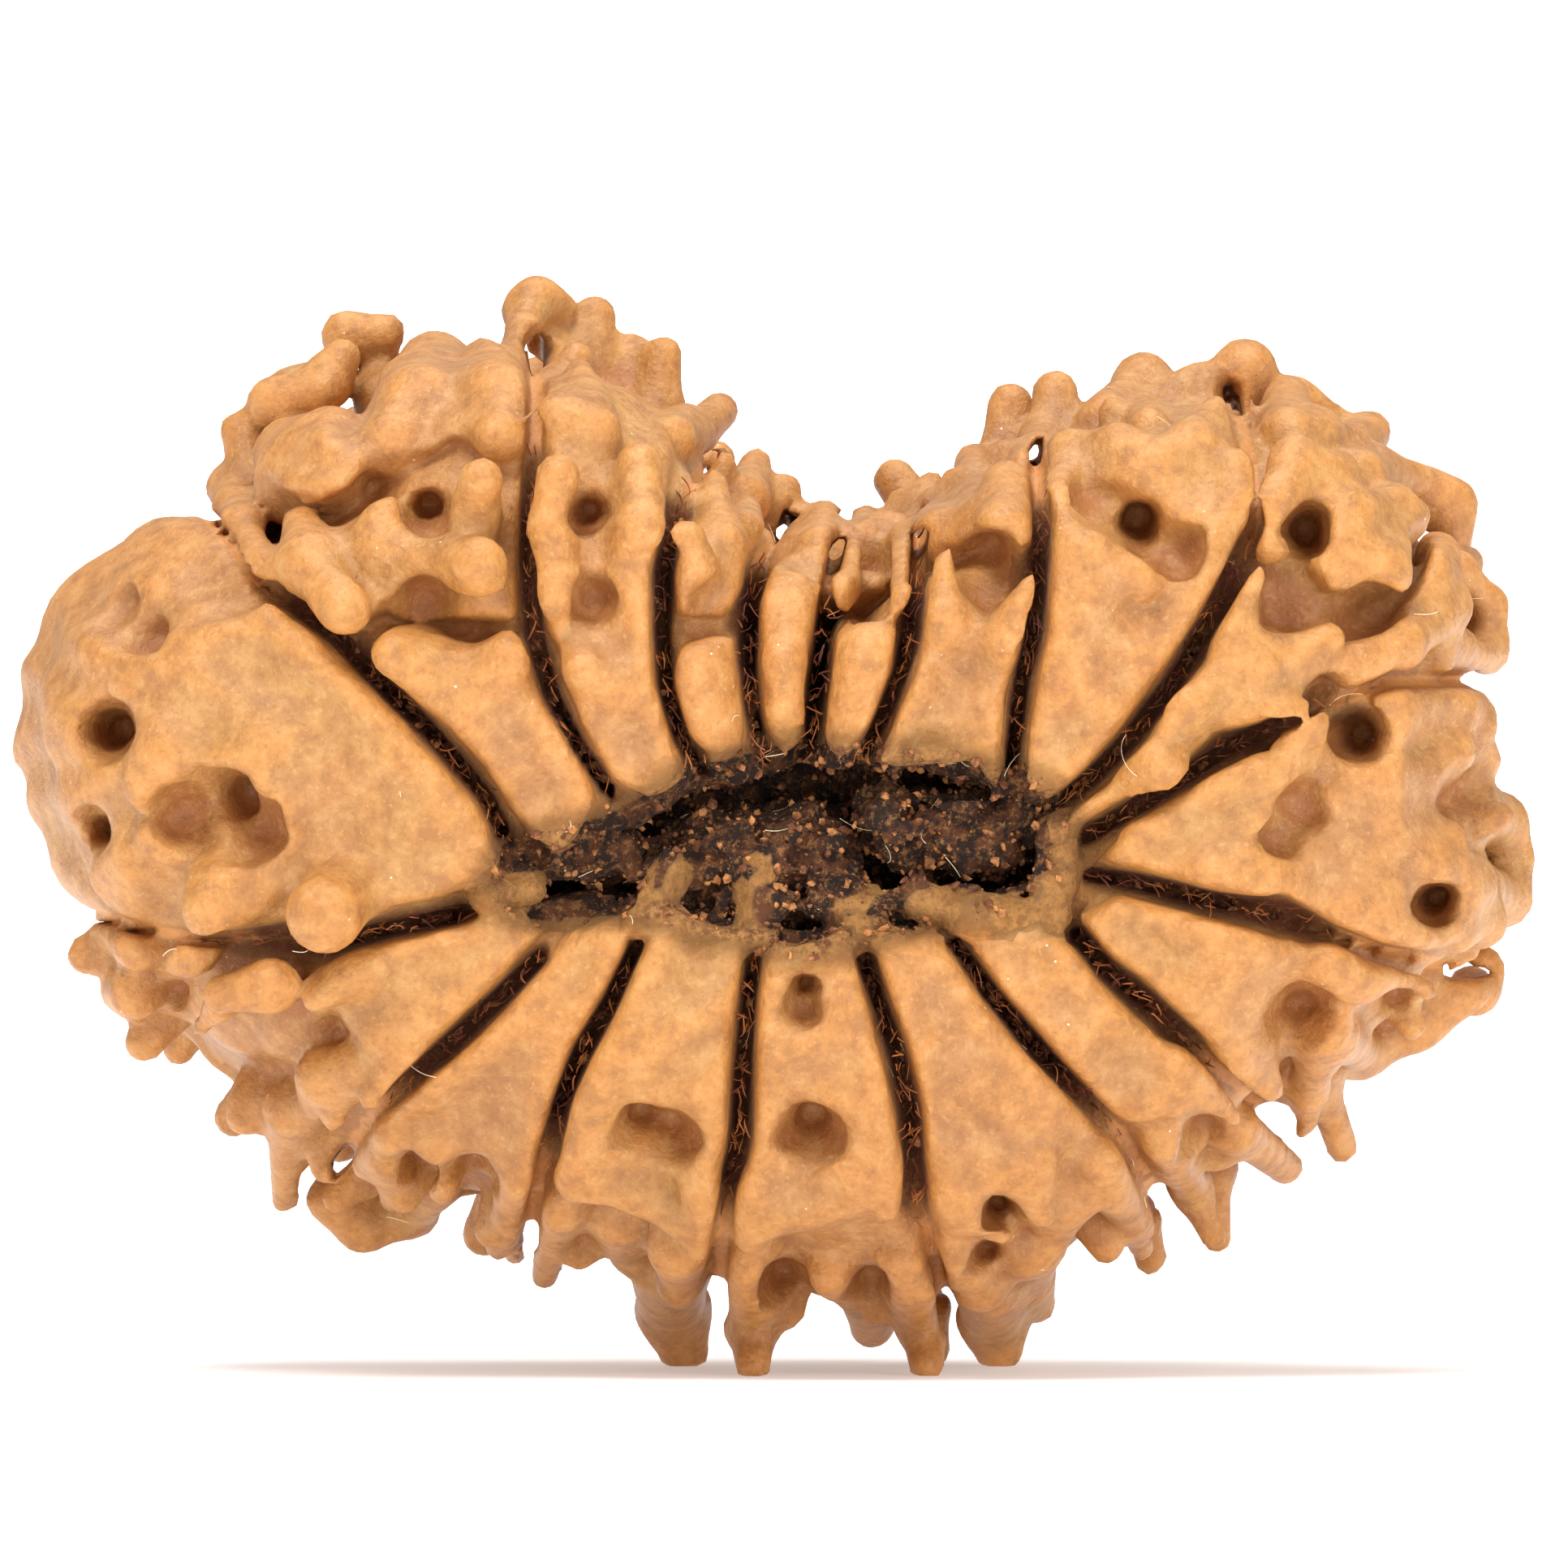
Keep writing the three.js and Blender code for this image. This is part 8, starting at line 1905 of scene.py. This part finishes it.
@dataclass
class Studio:
    """The pale floor, a small white wall far behind, soft lights and the camera at the photo's angle."""

    shift: Array
    frame_width: float = 38.64
    frame_middle: float = 14.48
    lens: float = 400.0
    sensor: float = 36.0
    lamps: tuple[Lamp, ...] = (
        Lamp("key", (-0.12, -0.26, 0.46), 0.2, 2.05),
        Lamp("fill", (0.3, -0.42, 0.12), 0.3, 1.0),
        Lamp("top", (0.05, 0.1, 0.5), 0.25, 1.2),
    )
    aim: float = 14.0
    sky: float = 0.46
    floor_size: float = 6.0
    floor_glow: tuple[float, float] = (0.3, 0.75)
    floor_reach: float = 0.06
    wall_size: float = 0.24
    wall_place: tuple[float, float, float] = (0, 1.0, 0.05)

    def build(self) -> None:
        """Set the floor, the lights and the camera."""
        self.floor()
        self.wall()
        self.camera()
        for lamp in self.lamps:
            self.light(lamp)
        world = bpy.data.worlds.new("studio")
        world.use_nodes = True
        background = world.node_tree.nodes["Background"]
        background.inputs["Color"].default_value = (1, 1, 1, 1)
        background.inputs["Strength"].default_value = self.sky
        bpy.context.scene.world = world
        bpy.context.scene.view_settings.view_transform = "Standard"

    def floor(self) -> None:
        """Lay a pale floor whose glow is painted light: dim round the bead, turning white away from it."""
        finish = Finish("floor_white")
        middle = finish.node("ShaderNodeVectorMath", {"operation": "LENGTH"}, {0: finish.place})["Value"]
        dim, bright = ((glow, glow, glow) for glow in self.floor_glow)
        # Painted light: the floor glows dimly near the bead and brighter beyond the reach.
        glow = finish.mix(middle.step(0.0, self.floor_reach), dim, bright)
        finish.put(finish.shader.inputs["Emission Color"], glow)
        self.screen("floor", self.floor_size, (0, 0, 0), (0, 0, 0), finish)

    def wall(self) -> None:
        """Stand a small white wall far behind the bead, so that it lights the bead little."""
        finish = Finish("wall_white")
        finish.shader.inputs["Emission Color"].default_value = (1, 1, 1, 1)
        self.screen("wall", self.wall_size, self.wall_place, (math.pi / 2, 0, 0), finish)

    def screen(self, name: str, size: float, place: tuple, turn: tuple, finish: Finish) -> None:
        """Add a glowing white square of the stage.

        Args:
            name: Its name.
            size: Its side.
            place: Its middle.
            turn: Its rotation.
            finish: Its material.
        """
        bpy.ops.object.select_all(action="DESELECT")
        bpy.ops.mesh.primitive_plane_add(size=size, location=place, rotation=turn)
        screen = bpy.context.active_object
        screen.name = name
        finish.shader.inputs["Base Color"].default_value = (0.9, 0.9, 0.9, 1)
        finish.shader.inputs["Roughness"].default_value = 0.9
        finish.shader.inputs["Emission Strength"].default_value = 1.0
        screen.data.materials.append(finish.data)

    def camera(self) -> None:
        """Aim a long lens at the bead so that the photo's scale holds in the middle plane."""
        data = bpy.data.cameras.new("camera")
        data.lens, data.sensor_width = self.lens, self.sensor
        data.clip_end = 20
        camera = bpy.data.objects.new("camera", data)
        distance = self.frame_width * MM * self.lens / self.sensor
        camera.location = (-self.shift[0] * MM, -distance, self.frame_middle * MM)
        camera.rotation_euler = (math.pi / 2, 0, 0)
        bpy.context.scene.collection.objects.link(camera)
        bpy.context.scene.camera = camera

    def light(self, lamp: Lamp) -> None:
        """Hang one lamp.

        Args:
            lamp: Its name, place, size and power.
        """
        data = bpy.data.lights.new(lamp.name, "AREA")
        data.size, data.energy = lamp.size, lamp.power
        light = bpy.data.objects.new(lamp.name, data)
        light.location = lamp.place
        away = np.array(lamp.place) - np.array([0, 0, self.aim * MM])
        light.rotation_euler = (math.acos(away[2] / np.linalg.norm(away)), 0, math.atan2(away[0], -away[1]))
        bpy.context.scene.collection.objects.link(light)


def main() -> None:
    """Build the bead, its fibres and the studio, and report each piece."""
    logging.basicConfig(level=logging.INFO, format="%(name)s: %(message)s")
    form = Form()
    bead = Bead(form)
    shell = bead.build(WoodFinish().material())
    CleftFibres(form, bead.shift).build(FibreFinish().material())
    MouthCrumbs().build(shell, CrumbFinish().material())
    Lint().build(shell, LintFinish().material())
    Studio(bead.shift).build()


if __name__ == "__main__":
    main()
